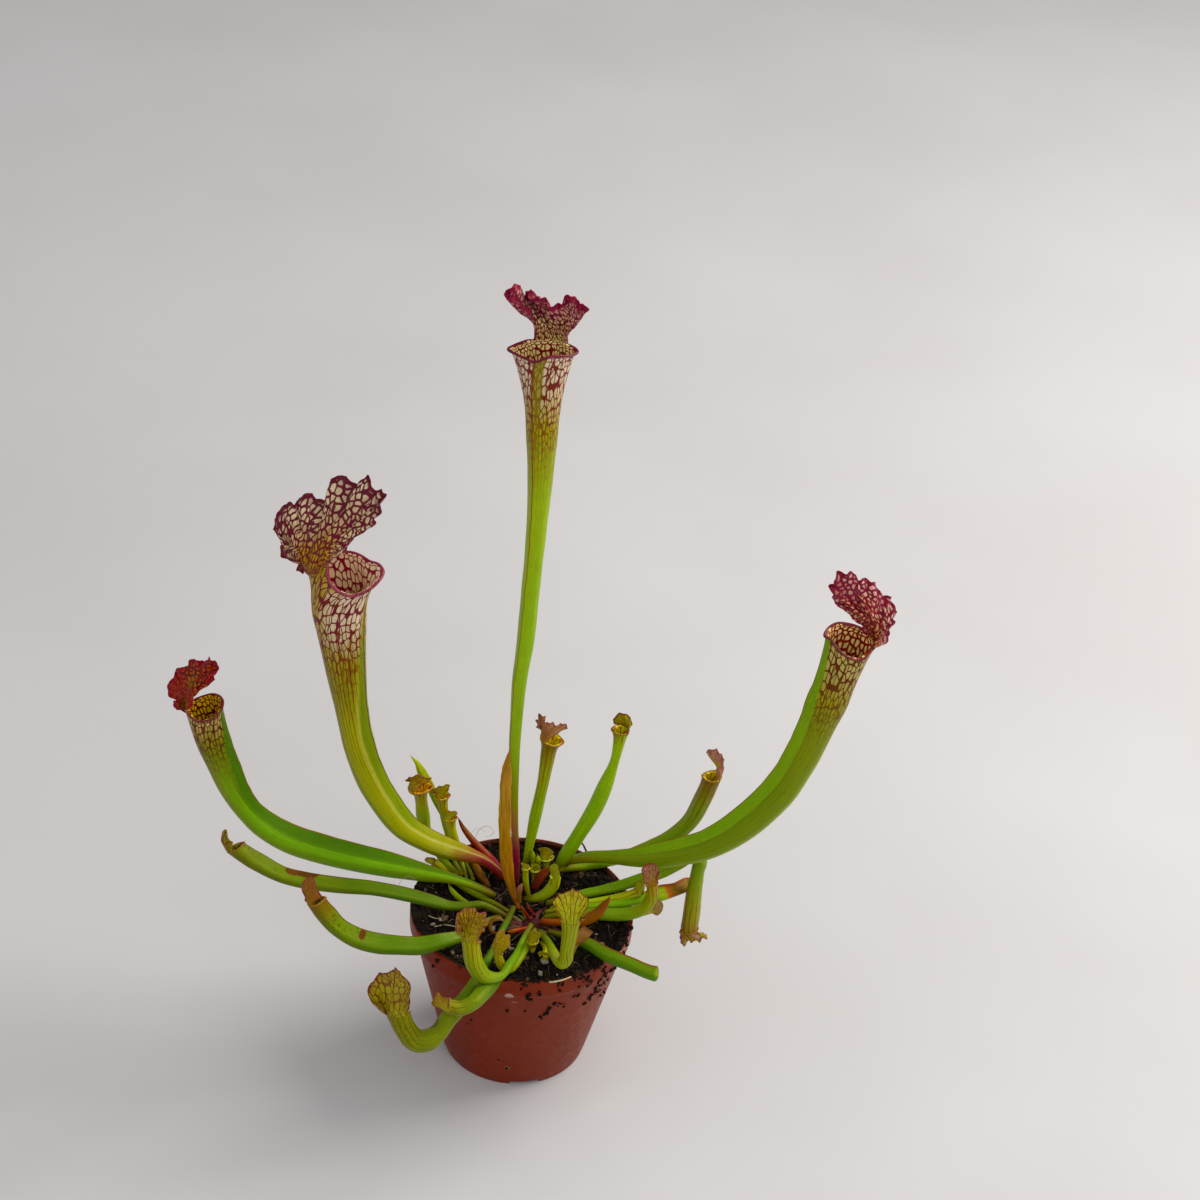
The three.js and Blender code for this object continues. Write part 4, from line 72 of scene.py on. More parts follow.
  "rows":[[-7.58,-7.69,70.8,0.89,0.0,0.143,0.234,0.962],[-12.6,-14.09,72.95,1.44,0.32,-0.168,0.325,0.931],[-17.38,-20.24,72.96,1.77,0.89,-0.403,0.402,0.823],[-22.69,-25.43,72.82,1.8,1.54,-0.276,0.465,0.841],[-29.87,-30.62,73.79,2.03,2.28,-0.24,0.529,0.814],[-37.93,-33.79,72.99,2.31,2.83,-0.141,0.54,0.83],[-46.15,-35.85,73.98,2.28,3.03,0.002,0.556,0.831],[-54.71,-36.91,74.86,2.47,3.29,0.131,0.549,0.825],[-63.15,-37.81,77.97,2.54,3.11,0.359,0.523,0.773],[-70.76,-37.57,83.2,2.5,2.69,0.616,0.427,0.662],[-75.89,-37.4,90.06,2.8,2.4,0.77,0.335,0.542],[-79.11,-37.21,95.92,3.0,1.5,0.809,0.286,0.513]],
  "mouth":[],
  "hood":[[-82.31,-37.9,95.96],[-83.5,-37.9,100.37],[-83.91,-37.9,104.84],[-82.38,-37.9,107.99],[-80.47,-37.9,108.69],[-78.91,-37.9,106.36],[-78.11,-37.9,102.94],[-76.16,-37.9,99.64]]},
 {"name":"pitcher_front_droop","tier":1,"open":1,"kind":"tube","dead":0,"mt":20,"flare":1.03,"spout":0.1,"sa":0,"th":75,
  "rows":[[-3.37,-2.18,71.0,1.17,0.0,-0.907,0.202,0.369],[-5.02,-10.0,71.22,1.34,0.0,-0.924,0.227,0.309],[-6.95,-18.0,71.92,1.35,0.0,-0.959,0.225,0.172],[-9.59,-31.0,72.83,1.32,0.14,-0.974,0.223,0.038],[-11.75,-40.04,73.5,1.57,0.35,-0.916,0.256,0.31],[-14.72,-50.07,72.77,1.98,0.54,-0.893,0.257,0.369],[-17.74,-57.09,70.21,2.59,0.84,-0.872,0.324,0.368],[-20.86,-61.08,67.33,3.04,0.99,-0.82,0.391,0.419],[-23.6,-64.08,65.13,3.04,0.99,-0.838,0.337,0.428],[-26.58,-67.14,61.03,3.11,0.86,-0.761,0.495,0.418],[-30.7,-69.23,58.43,4.04,0.99,-0.349,0.818,0.457],[-35.49,-69.22,57.95,4.43,1.01,0.199,0.958,0.205],[-39.77,-68.11,62.44,4.24,0.78,0.277,0.956,-0.096],[-42.72,-66.03,67.64,4.29,0.59,0.305,0.933,-0.191]],
  "mouth":[],
  "hood":[[-48.08,-69.23,71.35],[-50.05,-69.23,74.22],[-52.02,-69.07,75.91],[-53.84,-68.27,76.52],[-54.73,-67.42,78.2],[-54.66,-66.75,80.4],[-53.96,-66.47,82.01],[-52.48,-66.55,84.53],[-51.36,-66.88,87.48],[-50.18,-67.69,89.85],[-47.82,-68.7,91.01],[-45.88,-69.4,92.35],[-44.74,-69.74,93.53],[-44.16,-70.01,95.59],[-42.81,-70.17,93.62],[-42.2,-70.13,91.89],[-40.48,-70.01,90.46],[-38.73,-69.79,88.18],[-38.27,-69.5,83.91],[-38.76,-69.27,80.09],[-38.3,-69.23,77.04],[-38.59,-69.23,73.93]]},
 {"name":"pitcher_front_left","tier":1,"open":1,"kind":"tube","dead":0,"mt":20,"flare":1.02,"spout":0.1,"sa":0,"th":72,
  "rows":[[4.34,-12.28,71.3,1.13,0.0,-0.804,0.238,0.545],[1.93,-21.0,71.55,1.15,0.0,-0.9,0.233,0.369],[0.01,-31.0,72.57,1.42,0.0,-0.877,0.26,0.405],[-2.23,-42.03,75.81,1.7,0.18,-0.81,0.325,0.488],[-4.73,-49.05,76.47,1.51,0.26,-0.642,0.51,0.572],[-8.55,-52.1,77.53,2.19,0.38,-0.074,0.701,0.709],[-12.15,-53.13,79.55,3.17,0.49,0.367,0.82,0.44],[-15.33,-53.08,84.93,3.48,0.42,0.567,0.806,0.166],[-16.68,-52.04,90.07,3.46,0.41,0.563,0.825,-0.05],[-17.4,-51.01,94.46,3.54,0.34,0.583,0.808,-0.086]],
  "mouth":[],
  "hood":[[-20.89,-53.3,98.63],[-21.22,-53.3,102.11],[-22.09,-53.0,104.25],[-22.96,-52.49,105.97],[-23.06,-52.09,107.85],[-21.63,-52.05,109.96],[-19.76,-52.38,111.44],[-18.25,-52.95,112.83],[-16.68,-53.63,112.83],[-15.08,-54.14,111.95],[-12.21,-54.56,111.87],[-11.93,-54.44,109.57],[-11.46,-54.09,106.83],[-12.13,-53.6,103.83],[-13.19,-53.3,101.46],[-13.89,-53.3,99.88]]},
 {"name":"pitcher_front_over_rim","tier":1,"open":0,"kind":"tube","dead":0,"mt":0,"flare":1,"spout":0.1,"sa":0,"th":60,
  "rows":[[2.73,-17.64,70.8,0.99,0.0,-0.878,0.196,0.437],[-0.2,-29.0,69.99,1.15,0.0,-0.896,0.25,0.368],[-3.25,-39.0,70.73,1.53,0.0,-0.814,0.333,0.476],[-5.53,-45.03,71.92,1.57,0.16,-0.74,0.419,0.526],[-8.97,-53.1,73.49,2.66,0.46,-0.659,0.427,0.619],[-12.0,-59.11,74.46,2.94,0.51,-0.632,0.398,0.665],[-14.7,-64.11,74.62,2.75,0.48,-0.549,0.446,0.707],[-19.16,-66.63,73.72,2.73,0.47,-0.175,0.513,0.84],[-23.69,-67.07,74.68,2.56,0.27,0.107,0.52,0.848]],
  "mouth":[],
  "hood":[[-26.49,-68.13,74.24],[-28.82,-68.13,75.52],[-30.12,-68.13,76.67],[-29.34,-68.13,79.56],[-28.64,-68.13,81.68],[-27.91,-68.13,82.52],[-26.71,-68.13,80.87],[-25.18,-68.13,80.52],[-23.64,-68.13,80.18]]},
 {"name":"pitcher_front_small_curl","tier":1,"open":0,"kind":"tube","dead":0,"mt":20,"flare":1.02,"spout":0.1,"sa":0,"th":72,
  "rows":[[6.11,-14.79,71.3,0.99,0.0,-0.87,0.214,0.444],[3.6,-25.0,71.32,1.42,0.0,-0.882,0.244,0.402],[0.9,-33.02,70.75,1.5,0.16,-0.868,0.346,0.357],[-1.87,-38.58,70.84,1.7,0.3,-0.381,0.529,0.758],[-4.69,-40.08,72.78,1.79,0.32,0.287,0.818,0.498],[-6.43,-40.05,75.89,1.81,0.27,0.595,0.795,0.12],[-7.21,-39.02,78.59,1.77,0.21,0.617,0.779,-0.112]],
  "mouth":[],
  "hood":[[-8.78,-40.12,82.26],[-9.09,-40.11,84.79],[-8.24,-39.93,87.28],[-7.62,-39.7,90.21],[-6.7,-39.71,91.34],[-5.3,-39.97,90.7],[-4.45,-40.25,89.5],[-2.87,-40.49,89.37],[-2.97,-40.47,87.3],[-2.68,-40.33,85.16],[-3.55,-40.13,82.83],[-5.25,-40.12,81.61]]},
 {"name":"pitcher_front_center","tier":1,"open":1,"kind":"tube","dead":0,"mt":20,"flare":1.02,"spout":0.1,"sa":0,"th":80,
  "rows":[[7.98,-16.07,71.3,0.99,0.0,0.563,0.424,0.709],[10.84,-21.0,71.98,1.55,0.0,0.704,0.414,0.576],[13.27,-28.0,73.42,1.89,0.0,0.732,0.372,0.571],[15.6,-34.06,74.21,2.08,0.22,0.454,0.374,0.809],[17.97,-37.59,75.06,2.48,0.32,-0.014,0.642,0.767],[19.29,-38.06,77.62,2.77,0.38,-0.319,0.938,0.135],[19.51,-38.03,82.07,2.72,0.5,-0.004,1.0,0.0],[19.93,-38.0,89.61,3.03,0.42,-0.063,0.998,0.002],[20.06,-38.0,96.77,3.59,0.33,-0.132,0.991,0.003]],
  "mouth":[],
  "hood":[[15.76,-40.84,102.31],[14.47,-40.84,104.68],[13.19,-40.74,106.72],[12.7,-40.51,108.47],[13.69,-40.32,110.92],[15.14,-40.24,112.25],[16.99,-40.26,113.46],[18.86,-40.38,114.25],[19.89,-40.55,116.25],[21.14,-40.84,114.89],[22.69,-40.58,114.33],[24.3,-40.38,112.84],[25.74,-40.26,111.14],[26.43,-40.27,109.47],[25.98,-40.42,107.55],[25.57,-40.6,105.15],[25.28,-40.77,103.75],[25.22,-40.84,101.8],[23.85,-40.84,102.16]]},
 {"name":"leaf_right_cut","tier":1,"open":0,"kind":"blade","dead":0,"mt":0,"flare":1,"spout":0,"sa":0,"th":0,
  "rows":[[11.33,-15.24,71.2,1.07,0.0,0.147,0.601,0.786],[16.75,-17.44,71.7,1.2,0.27,0.192,0.624,0.757],[26.03,-22.85,73.19,1.9,0.95,0.362,0.668,0.651],[36.13,-31.78,74.79,2.12,1.41,0.347,0.608,0.714],[45.21,-37.46,75.97,2.13,1.42,0.293,0.614,0.733],[51.3,-41.65,76.94,2.15,1.43,0.227,0.596,0.77],[55.47,-43.51,77.66,2.39,1.35,0.137,0.594,0.793]],
  "mouth":[],
  "hood":[]},
 {"name":"pitcher_right_hanging","tier":1,"open":0,"kind":"tube","dead":1,"mt":0,"flare":1.05,"spout":0,"sa":0,"th":70,
  "rows":[[9.48,1.65,71.2,1.08,0.0,-0.378,0.542,0.751],[16.35,2.97,73.62,1.16,0.12,-0.312,0.524,0.793],[24.12,5.85,73.83,1.58,0.56,-0.26,0.547,0.796],[31.31,7.74,74.7,1.47,0.98,-0.289,0.535,0.794],[39.51,9.65,76.38,1.55,1.32,-0.342,0.526,0.779],[47.63,11.62,78.93,1.72,1.48,-0.385,0.517,0.765],[55.42,13.67,81.7,1.92,1.28,-0.46,0.501,0.733],[62.79,15.32,86.44,1.96,0.69,-0.538,0.508,0.673],[66.97,15.88,89.98,1.96,0.43,-0.216,0.618,0.756],[69.73,15.45,88.7,2.8,0.36,0.923,0.246,0.297],[69.42,14.49,83.53,2.6,0.27,0.996,0.063,-0.066],[68.8,13.49,72.96,3.09,0.32,0.999,0.038,-0.034],[68.71,12.99,62.18,3.3,0.35,0.999,0.043,-0.022],[68.49,12.99,54.88,3.29,0.2,0.996,0.08,-0.04]],
  "mouth":[],
  "hood":[[65.12,12.78,53.36],[65.19,12.78,50.11],[65.46,12.78,46.88],[67.26,12.78,45.16],[68.78,12.78,46.69],[70.37,12.78,47.4],[72.82,12.78,47.67],[74.31,12.78,49.46],[76.05,12.78,50.73],[75.71,12.78,52.32],[74.48,12.78,52.19],[73.38,12.78,50.71],[71.72,12.78,50.81],[70.77,12.78,52.33],[71.9,12.78,53.54]]},
 {"name":"leaf_right_dead_tip","tier":1,"open":0,"kind":"blade","dead":0,"mt":0,"flare":1,"spout":0,"sa":0,"th":0,
  "rows":[[9.42,-3.76,71.2,0.99,0.0,-0.228,0.425,0.876],[17.5,-1.15,71.9,1.1,0.24,-0.202,0.552,0.809],[25.75,-0.63,72.76,1.25,0.62,-0.161,0.557,0.815],[36.54,0.86,73.76,1.3,1.11,-0.213,0.557,0.803],[47.7,4.56,74.35,1.44,1.62,-0.269,0.536,0.8],[55.15,8.0,74.3,2.0,2.67,-0.262,0.474,0.84],[60.88,11.41,74.26,1.71,2.28,-0.159,0.427,0.89],[65.75,18.34,71.39,1.77,2.37,-0.217,0.439,0.872],[70.38,20.64,72.51,1.51,1.29,-0.246,0.522,0.816],[72.78,21.96,72.53,0.76,0.17,-0.116,0.63,0.768]],
  "mouth":[],
  "hood":[]},
 {"name":"pitcher_right_upright","tier":1,"open":0,"kind":"tube","dead":0,"mt":15,"flare":1,"spout":0.1,"sa":0,"th":75,
  "rows":[[9.22,-7.0,71.2,1.08,0.0,-0.231,0.624,0.746],[16.31,-7.0,73.4,1.3,0.0,-0.208,0.562,0.8],[22.87,-7.04,74.68,1.53,0.16,-0.112,0.55,0.828],[30.06,-7.11,75.09,2.21,0.38,-0.048,0.556,0.83],[36.68,-7.14,75.35,2.28,0.51,-0.112,0.548,0.829],[43.42,-7.14,76.85,2.36,0.52,-0.313,0.519,0.796],[48.68,-7.1,80.07,2.35,0.52,-0.672,0.376,0.638],[51.09,-7.05,84.95,2.38,0.44,-0.784,0.577,0.227],[51.31,-7.02,89.44,2.36,0.39,-0.671,0.741,-0.001],[51.0,-7.0,92.8,2.29,0.3,-0.64,0.767,-0.05]],
  "mouth":[],
  "hood":[[48.0,-8.4,94.96],[46.79,-8.4,97.92],[46.16,-8.4,100.92],[46.99,-8.4,103.05],[48.87,-8.4,104.27],[50.8,-8.6,104.88],[52.49,-8.8,103.45],[52.89,-8.67,100.83],[52.52,-8.44,98.04],[53.35,-8.4,95.01]]},
 {"name":"pitcher_right_short","tier":2,"open":0,"kind":"tube","dead":0,"mt":10,"flare":1,"spout":0.1,"sa":0,"th":70,
  "rows":[[11.27,-1.07,71.2,0.81,0.0,-0.303,0.705,0.641],[18.13,-1.0,74.37,1.02,0.0,-0.229,0.545,0.806],[24.75,0.97,73.58,1.21,0.13,-0.157,0.606,0.78],[31.51,2.94,73.86,1.35,0.23,-0.23,0.557,0.798],[37.45,3.93,75.08,1.44,0.25,-0.274,0.539,0.796],[42.78,4.94,76.39,1.71,0.22,-0.333,0.526,0.783],[46.1,5.47,77.8,1.93,0.16,-0.396,0.487,0.779]],
  "mouth":[],
  "hood":[[44.51,4.71,79.93],[44.53,4.84,82.18],[45.6,4.98,84.01],[47.19,4.71,84.4],[48.31,4.71,82.95],[48.35,4.71,79.81],[48.34,4.71,77.18]]},
 {"name":"pitcher_right_tan_tip","tier":2,"open":0,"kind":"tube","dead":0,"mt":0,"flare":1,"spout":0.1,"sa":0,"th":70,
  "rows":[[26.62,-3.17,69.22,1.03,0.0,-0.157,0.558,0.815],[33.8,-1.41,69.26,1.23,0.0,-0.163,0.553,0.817],[40.81,-0.19,69.66,1.4,0.15,-0.24,0.535,0.81],[48.11,0.67,71.78,1.82,0.19,-0.343,0.52,0.783],[52.27,3.46,71.7,2.09,0.17,-0.407,0.506,0.76]],
  "mouth":[],
  "hood":[[52.41,2.61,69.89],[54.12,2.61,68.75],[55.66,2.61,69.71],[56.5,2.61,71.92],[56.44,2.61,75.08],[55.12,2.61,76.52],[53.52,2.61,76.35],[52.0,2.61,75.14]]},
 {"name":"dead_horn_orange","tier":2,"open":0,"kind":"blade","dead":1,"mt":0,"flare":1,"spout":0,"sa":0,"th":0,
  "rows":[[8.19,-10.49,72.0,1.2,0.0,-0.067,0.556,0.829],[16.01,-11.58,73.18,1.36,0.3,-0.137,0.532,0.836],[24.43,-14.23,76.53,1.73,0.87,-0.356,0.525,0.773],[30.18,-15.21,81.8,1.77,0.88,-0.641,0.5,0.583],[32.94,-15.09,86.94,1.31,0.46,-0.812,0.408,0.417],[34.29,-15.03,90.42,0.63,0.14,-0.881,0.377,0.284],[34.45,-15.0,92.23,0.21,0.0,-0.925,0.363,0.111]],
  "mouth":[],
  "hood":[]},
 {"name":"dead_papery_sheath","tier":2,"open":0,"kind":"tube","dead":1,"mt":0,"flare":1,"spout":0,"sa":0,"th":80,
  "rows":[[21.73,-26.37,70.8,0.99,0.0,-0.813,0.546,0.203],[22.3,-27.0,74.82,1.15,0.0,-0.942,0.254,0.218],[23.21,-26.5,77.34,1.34,0.0,-0.924,0.264,0.278]],
  "mouth":[],
  "hood":[[21.84,-26.78,79.0],[22.43,-26.85,82.23],[23.7,-27.07,84.11],[25.37,-27.1,85.6],[27.0,-26.78,84.46],[29.07,-26.06,82.25],[28.03,-26.14,80.14],[26.62,-26.65,78.09],[24.77,-26.78,76.19]]},
 {"name":"pitcher_back_center_left","tier":1,"open":1,"kind":"tube","dead":1,"mt":8,"flare":1.15,"spout":0.12,"sa":0,"th":55,
  "rows":[[-0.89,24.0,70.12,1.03,0.0,0.989,0.046,-0.138],[0.24,24.0,78.71,1.57,0.13,0.992,0.046,-0.116],[2.07,23.99,96.67,2.28,0.29,0.992,0.046,-0.114],[4.31,23.99,114.86,2.26,0.29,0.994,0.046,-0.103],[5.73,23.99,132.14,3.02,0.32,0.995,0.046,-0.087],[6.28,23.99,137.17,3.84,0.24,0.994,0.046,-0.101]],
  "mouth":[],
  "hood":[[2.21,23.85,141.33],[0.47,23.88,144.1],[0.3,24.18,146.81],[1.37,24.35,148.76],[3.0,24.2,148.05],[3.53,23.95,145.83],[4.8,23.85,144.55],[6.32,23.85,145.69],[8.0,23.85,143.89],[9.89,23.85,145.56],[12.3,23.85,144.82],[11.24,23.85,142.73]]},
 {"name":"pitcher_back_center_right","tier":1,"open":1,"kind":"tube","dead":1,"mt":4,"flare":1.1,"spout":0.1,"sa":0,"th":60,
  "rows":[[11.39,23.5,69.82,0.78,0.0,-0.891,0.181,0.416],[15.62,23.47,78.56,2.6,0.27,-0.892,0.216,0.398],[21.28,24.94,90.47,2.62,0.58,-0.903,0.205,0.378],[26.22,26.45,101.71,2.94,0.65,-0.929,0.176,0.325],[29.58,27.96,112.71,2.82,0.49,-0.953,0.176,0.246],[32.41,28.98,124.73,1.78,0.23,-0.975,0.132,0.178],[33.53,30.0,133.65,2.3,0.19,-0.995,0.008,0.103],[33.95,30.0,139.94,3.02,0.12,-0.996,-0.046,0.071]],
  "mouth":[],
  "hood":[[30.81,30.11,142.52],[30.61,30.27,145.35],[32.05,30.4,147.38],[34.39,30.11,148.07],[36.46,30.38,146.85],[37.62,30.26,144.58],[37.6,30.11,142.21]]},
 {"name":"pitcher_back_right","tier":1,"open":0,"kind":"tube","dead":1,"mt":18,"flare":1.05,"spout":0.12,"sa":0,"th":40,
  "rows":[[12.88,23.35,70.9,0.94,0.0,-0.24,0.594,0.768],[17.99,26.89,69.65,1.41,0.31,-0.329,0.711,0.622],[24.75,28.74,69.51,1.41,0.71,-0.231,0.61,0.758],[32.6,29.32,71.74,1.58,1.06,-0.304,0.529,0.792],[41.25,36.66,69.66,1.96,1.31,-0.398,0.513,0.76],[50.4,37.74,74.43,2.29,1.29,-0.5,0.428,0.753],[58.57,37.72,80.57,2.61,1.3,-0.641,0.433,0.634],[65.83,37.8,90.15,2.92,1.11,-0.825,0.37,0.428],[70.14,36.88,104.03,3.23,0.88,-0.917,0.284,0.278],[72.69,35.96,115.77,3.41,0.43,-0.954,0.178,0.24]],
  "mouth":[],
  "hood":[[76.15,35.48,116.87],[75.42,35.48,120.36],[76.2,35.48,125.02],[75.17,35.48,127.45],[73.39,35.48,129.29],[72.48,35.48,130.45],[69.35,35.48,129.38],[69.04,35.48,128.34],[71.93,35.48,127.62],[73.76,35.48,125.28],[73.68,35.48,121.71],[73.55,35.48,118.64]]},
 {"name":"pitcher_backleft_flared","tier":1,"open":1,"kind":"tube","dead":1,"mt":0,"flare":1.5,"spout":0.05,"sa":0,"th":60,
  "rows":[[-27.4,15.38,70.8,1.23,0.0,0.634,0.533,0.56],[-32.73,22.55,69.85,1.85,0.0,0.724,0.465,0.51],[-37.06,28.91,72.1,1.9,0.12,0.804,0.364,0.471],[-42.37,34.98,75.88,2.19,0.23,0.905,0.192,0.379],[-44.22,35.99,83.88,2.7,0.35,0.984,0.052,0.168],[-45.16,35.99,91.63,2.4,0.31,0.992,0.045,0.121],[-45.99,35.99,98.3,3.2,0.34,0.992,0.045,0.121]],
  "mouth":[],
  "hood":[[-50.28,35.88,101.06],[-52.13,35.88,101.38],[-49.92,35.88,102.9],[-46.71,35.88,104.51],[-43.81,35.88,103.27],[-40.96,35.88,103.56],[-42.54,35.88,101.85]]},
 {"name":"pitcher_backleft_mid","tier":2,"open":0,"kind":"tube","dead":0,"mt":0,"flare":1.35,"spout":0.1,"sa":0,"th":60,
  "rows":[[-25.68,15.59,70.8,0.84,0.0,0.872,0.393,0.293],[-29.74,24.0,71.61,1.04,0.0,0.91,0.3,0.286],[-32.66,30.99,76.7,1.21,0.07,0.951,0.179,0.252],[-34.87,33.99,83.54,1.57,0.17,0.974,0.121,0.194],[-36.06,34.99,91.0,1.95,0.21,0.986,0.099,0.136],[-36.59,34.99,95.37,2.21,0.14,0.981,0.145,0.126]],
  "mouth":[],
  "hood":[[-39.02,34.73,97.41],[-41.04,34.73,96.69],[-40.29,34.73,98.83],[-38.3,34.73,100.33],[-36.28,34.73,101.06],[-33.67,34.73,102.1],[-33.8,34.73,100.02],[-34.54,34.73,97.87]]},
 {"name":"pitcher_backleft_low","tier":2,"open":0,"kind":"tube","dead":0,"mt":0,"flare":1.15,"spout":0.05,"sa":0,"th":55,
  "rows":[[-23.59,13.8,70.8,0.72,0.0,0.934,0.291,0.206],[-26.53,22.5,71.86,1.04,0.0,0.923,0.263,0.28],[-29.49,27.49,77.23,1.6,0.1,0.94,0.174,0.295],[-31.74,28.49,84.61,1.76,0.18,0.971,0.111,0.212],[-32.3,28.49,89.52,2.18,0.13,0.988,0.095,0.118]],
  "mouth":[],
  "hood":[[-34.54,28.33,91.51],[-35.4,28.33,92.98],[-33.8,28.33,93.67],[-32.15,28.33,93.32],[-29.69,28.33,93.05],[-29.84,28.33,91.48]]},
 {"name":"leaf_backleft_pointed","tier":2,"open":0,"kind":"blade","dead":0,"mt":0,"flare":1,"spout":0,"sa":0,"th":0,
  "rows":[[-20.87,13.03,70.8,0.82,0.0,0.825,0.316,0.468],[-25.39,27.0,69.33,0.92,0.0,0.843,0.32,0.433],[-30.77,36.0,73.1,0.83,0.0,0.841,0.296,0.452],[-36.23,40.97,80.15,0.83,0.18,0.868,0.281,0.408],[-39.97,41.9,87.83,1.26,0.63,0.881,0.325,0.343],[-42.71,41.87,94.59,1.29,1.11,0.891,0.229,0.393],[-46.06,41.82,101.05,1.31,1.13,0.853,0.313,0.417],[-47.8,41.93,105.66,1.06,0.53,0.837,0.258,0.482],[-49.84,41.97,108.57,0.65,0.14,0.716,0.429,0.551],[-50.65,42.0,109.76,0.18,0.0,0.697,0.498,0.517]],
  "mouth":[],
  "hood":[]},
 {"name":"leaf_back_red_pointed","tier":2,"open":0,"kind":"blade","dead":0,"mt":0,"flare":1,"spout":0,"sa":0,"th":0,
  "rows":[[-10.02,20.47,70.9,1.17,0.0,0.685,0.496,0.534],[-14.23,27.28,69.6,1.59,0.35,0.656,0.502,0.564],[-19.66,30.92,72.39,1.41,0.5,0.67,0.421,0.612],[-24.55,33.92,76.07,1.12,0.4,0.719,0.389,0.576],[-27.49,35.94,78.94,0.88,0.31,0.804,0.337,0.49],[-28.97,36.97,81.46,0.75,0.17,0.865,0.301,0.402],[-29.69,37.0,83.26,0.29,0.0,0.816,0.449,0.365]],
  "mouth":[],
  "hood":[]},
 {"name":"dead_sheath_center","tier":1,"open":0,"kind":"sheath","dead":1,"mt":0,"flare":1,"spout":0,"sa":0,"th":0,
  "rows":[[-1.12,-2.67,71.0,0.86,0.0,-0.911,-0.38,0.16],[-4.06,5.0,72.46,1.51,0.0,-0.925,-0.284,-0.252],[-6.11,7.0,78.45,2.12,0.0,-0.972,-0.081,-0.221],[-7.77,8.5,87.47,2.61,0.0,-0.991,-0.05,-0.126],[-9.19,9.0,101.88,2.49,0.0,-0.997,-0.045,-0.064],[-9.83,9.5,118.68,2.27,0.0,-0.999,-0.044,-0.024],[-9.94,10.0,130.78,1.77,0.0,-0.999,-0.041,0.008],[-9.72,10.5,136.37,1.12,0.0,-0.996,-0.031,0.083],[-9.13,11.0,140.98,0.16,0.0,-0.991,-0.025,0.129]],
  "mouth":[],
  "hood":[]},
 {"name":"dead_blade_backleft","tier":2,"open":0,"kind":"blade","dead":1,"mt":0,"flare":1,"spout":0,"sa":0,"th":0,
  "rows":[[-14.61,10.03,70.8,1.15,0.0,0.648,0.425,0.632],[-18.01,17.35,69.61,1.47,0.0,0.762,0.392,0.515],[-20.91,22.0,71.01,1.37,0.0,0.789,0.407,0.46],[-23.58,27.0,70.58,0.74,0.0,0.739,0.435,0.515],[-25.5,30.0,70.84,0.29,0.0,0.679,0.38,0.629]],
  "mouth":[],
  "hood":[]},
 {"name":"pitcher_left_hidden","tier":2,"open":0,"kind":"tube","dead":0,"mt":0,"flare":1,"spout":0.05,"sa":0,"th":60,
  "rows":[[-5.4,-4.62,70.9,0.81,0.0,0.373,0.582,0.722],[-12.94,2.58,69.22,1.1,0.0,0.387,0.606,0.695],[-20.81,7.05,69.36,1.23,0.0,0.437,0.614,0.658],[-28.09,12.87,69.46,1.31,0.14,0.553,0.553,0.623],[-33.63,19.76,69.35,1.38,0.15,0.583,0.487,0.65],[-37.17,21.98,70.57,1.53,0.16,0.529,0.498,0.687]],
  "mouth":[],
  "hood":[[-38.84,26.35,66.32],[-40.91,26.35,66.64],[-41.79,26.35,68.15],[-41.01,26.35,69.56],[-39.37,26.35,69.99],[-37.71,26.35,69.64],[-36.84,26.35,68.13]]},
 {"name":"thin_blade_left","tier":2,"open":0,"kind":"blade","dead":0,"mt":0,"flare":1,"spout":0,"sa":0,"th":0,
  "rows":[[-16.51,-4.04,70.8,0.78,0.0,0.279,0.455,0.846],[-21.61,-4.0,72.46,1.13,0.0,0.364,0.555,0.748],[-25.93,-1.0,73.13,1.14,0.0,0.564,0.513,0.647],[-29.02,3.0,73.36,0.93,0.0,0.71,0.387,0.588],[-30.61,7.0,73.51,0.36,0.0,0.804,0.3,0.513]],
  "mouth":[],
  "hood":[]},
 {"name":"crown_pitcher_flared","tier":2,"open":0,"kind":"tube","dead":0,"mt":0,"flare":1.35,"spout":0.1,"sa":0,"th":60,
  "rows":[[8.34,20.39,70.9,0.82,0.0,0.996,0.049,0.07],[7.93,24.0,74.23,1.64,0.0,0.997,0.045,0.066],[7.79,24.0,76.73,2.05,0.0,0.998,0.017,0.056]],
  "mouth":[],
  "hood":[[5.54,23.97,80.34],[4.3,23.97,80.74],[5.08,23.97,81.34],[7.1,23.97,81.82],[8.77,23.97,81.2],[10.49,23.97,79.8],[10.17,23.97,78.19]]},
 {"name":"crown_pitcher_bud_left","tier":2,"open":0,"kind":"tube","dead":0,"mt":0,"flare":1.1,"spout":0.1,"sa":0,"th":65,
  "rows":[[3.93,14.13,70.9,0.92,0.0,0.999,0.032,0.042],[3.73,16.0,74.34,1.44,0.0,0.999,-0.004,0.04],[3.72,16.0,76.45,1.74,0.0,1.0,-0.02,0.005]],
  "mouth":[],
  "hood":[[2.13,16.03,77.58],[2.26,16.03,78.91],[4.07,16.03,79.36],[5.8,16.03,77.44],[6.29,16.03,75.9]]},
 {"name":"crown_bud_round","tier":2,"open":0,"kind":"blade","dead":0,"mt":0,"flare":1,"spout":0,"sa":0,"th":0,
  "rows":[[3.01,20.35,70.9,0.82,0.0,0.996,0.047,0.077],[2.62,21.0,75.62,0.92,0.0,0.997,0.046,0.07],[2.44,21.5,78.36,1.12,0.0,0.996,0.046,0.074],[2.2,21.5,80.96,0.81,0.0,0.996,0.045,0.081],[2.14,21.5,82.01,0.2,0.0,0.998,0.045,0.053]],
  "mouth":[],
  "hood":[]},
 {"name":"crown_bud_tiny","tier":2,"open":0,"kind":"blade","dead":0,"mt":0,"flare":1,"spout":0,"sa":0,"th":0,
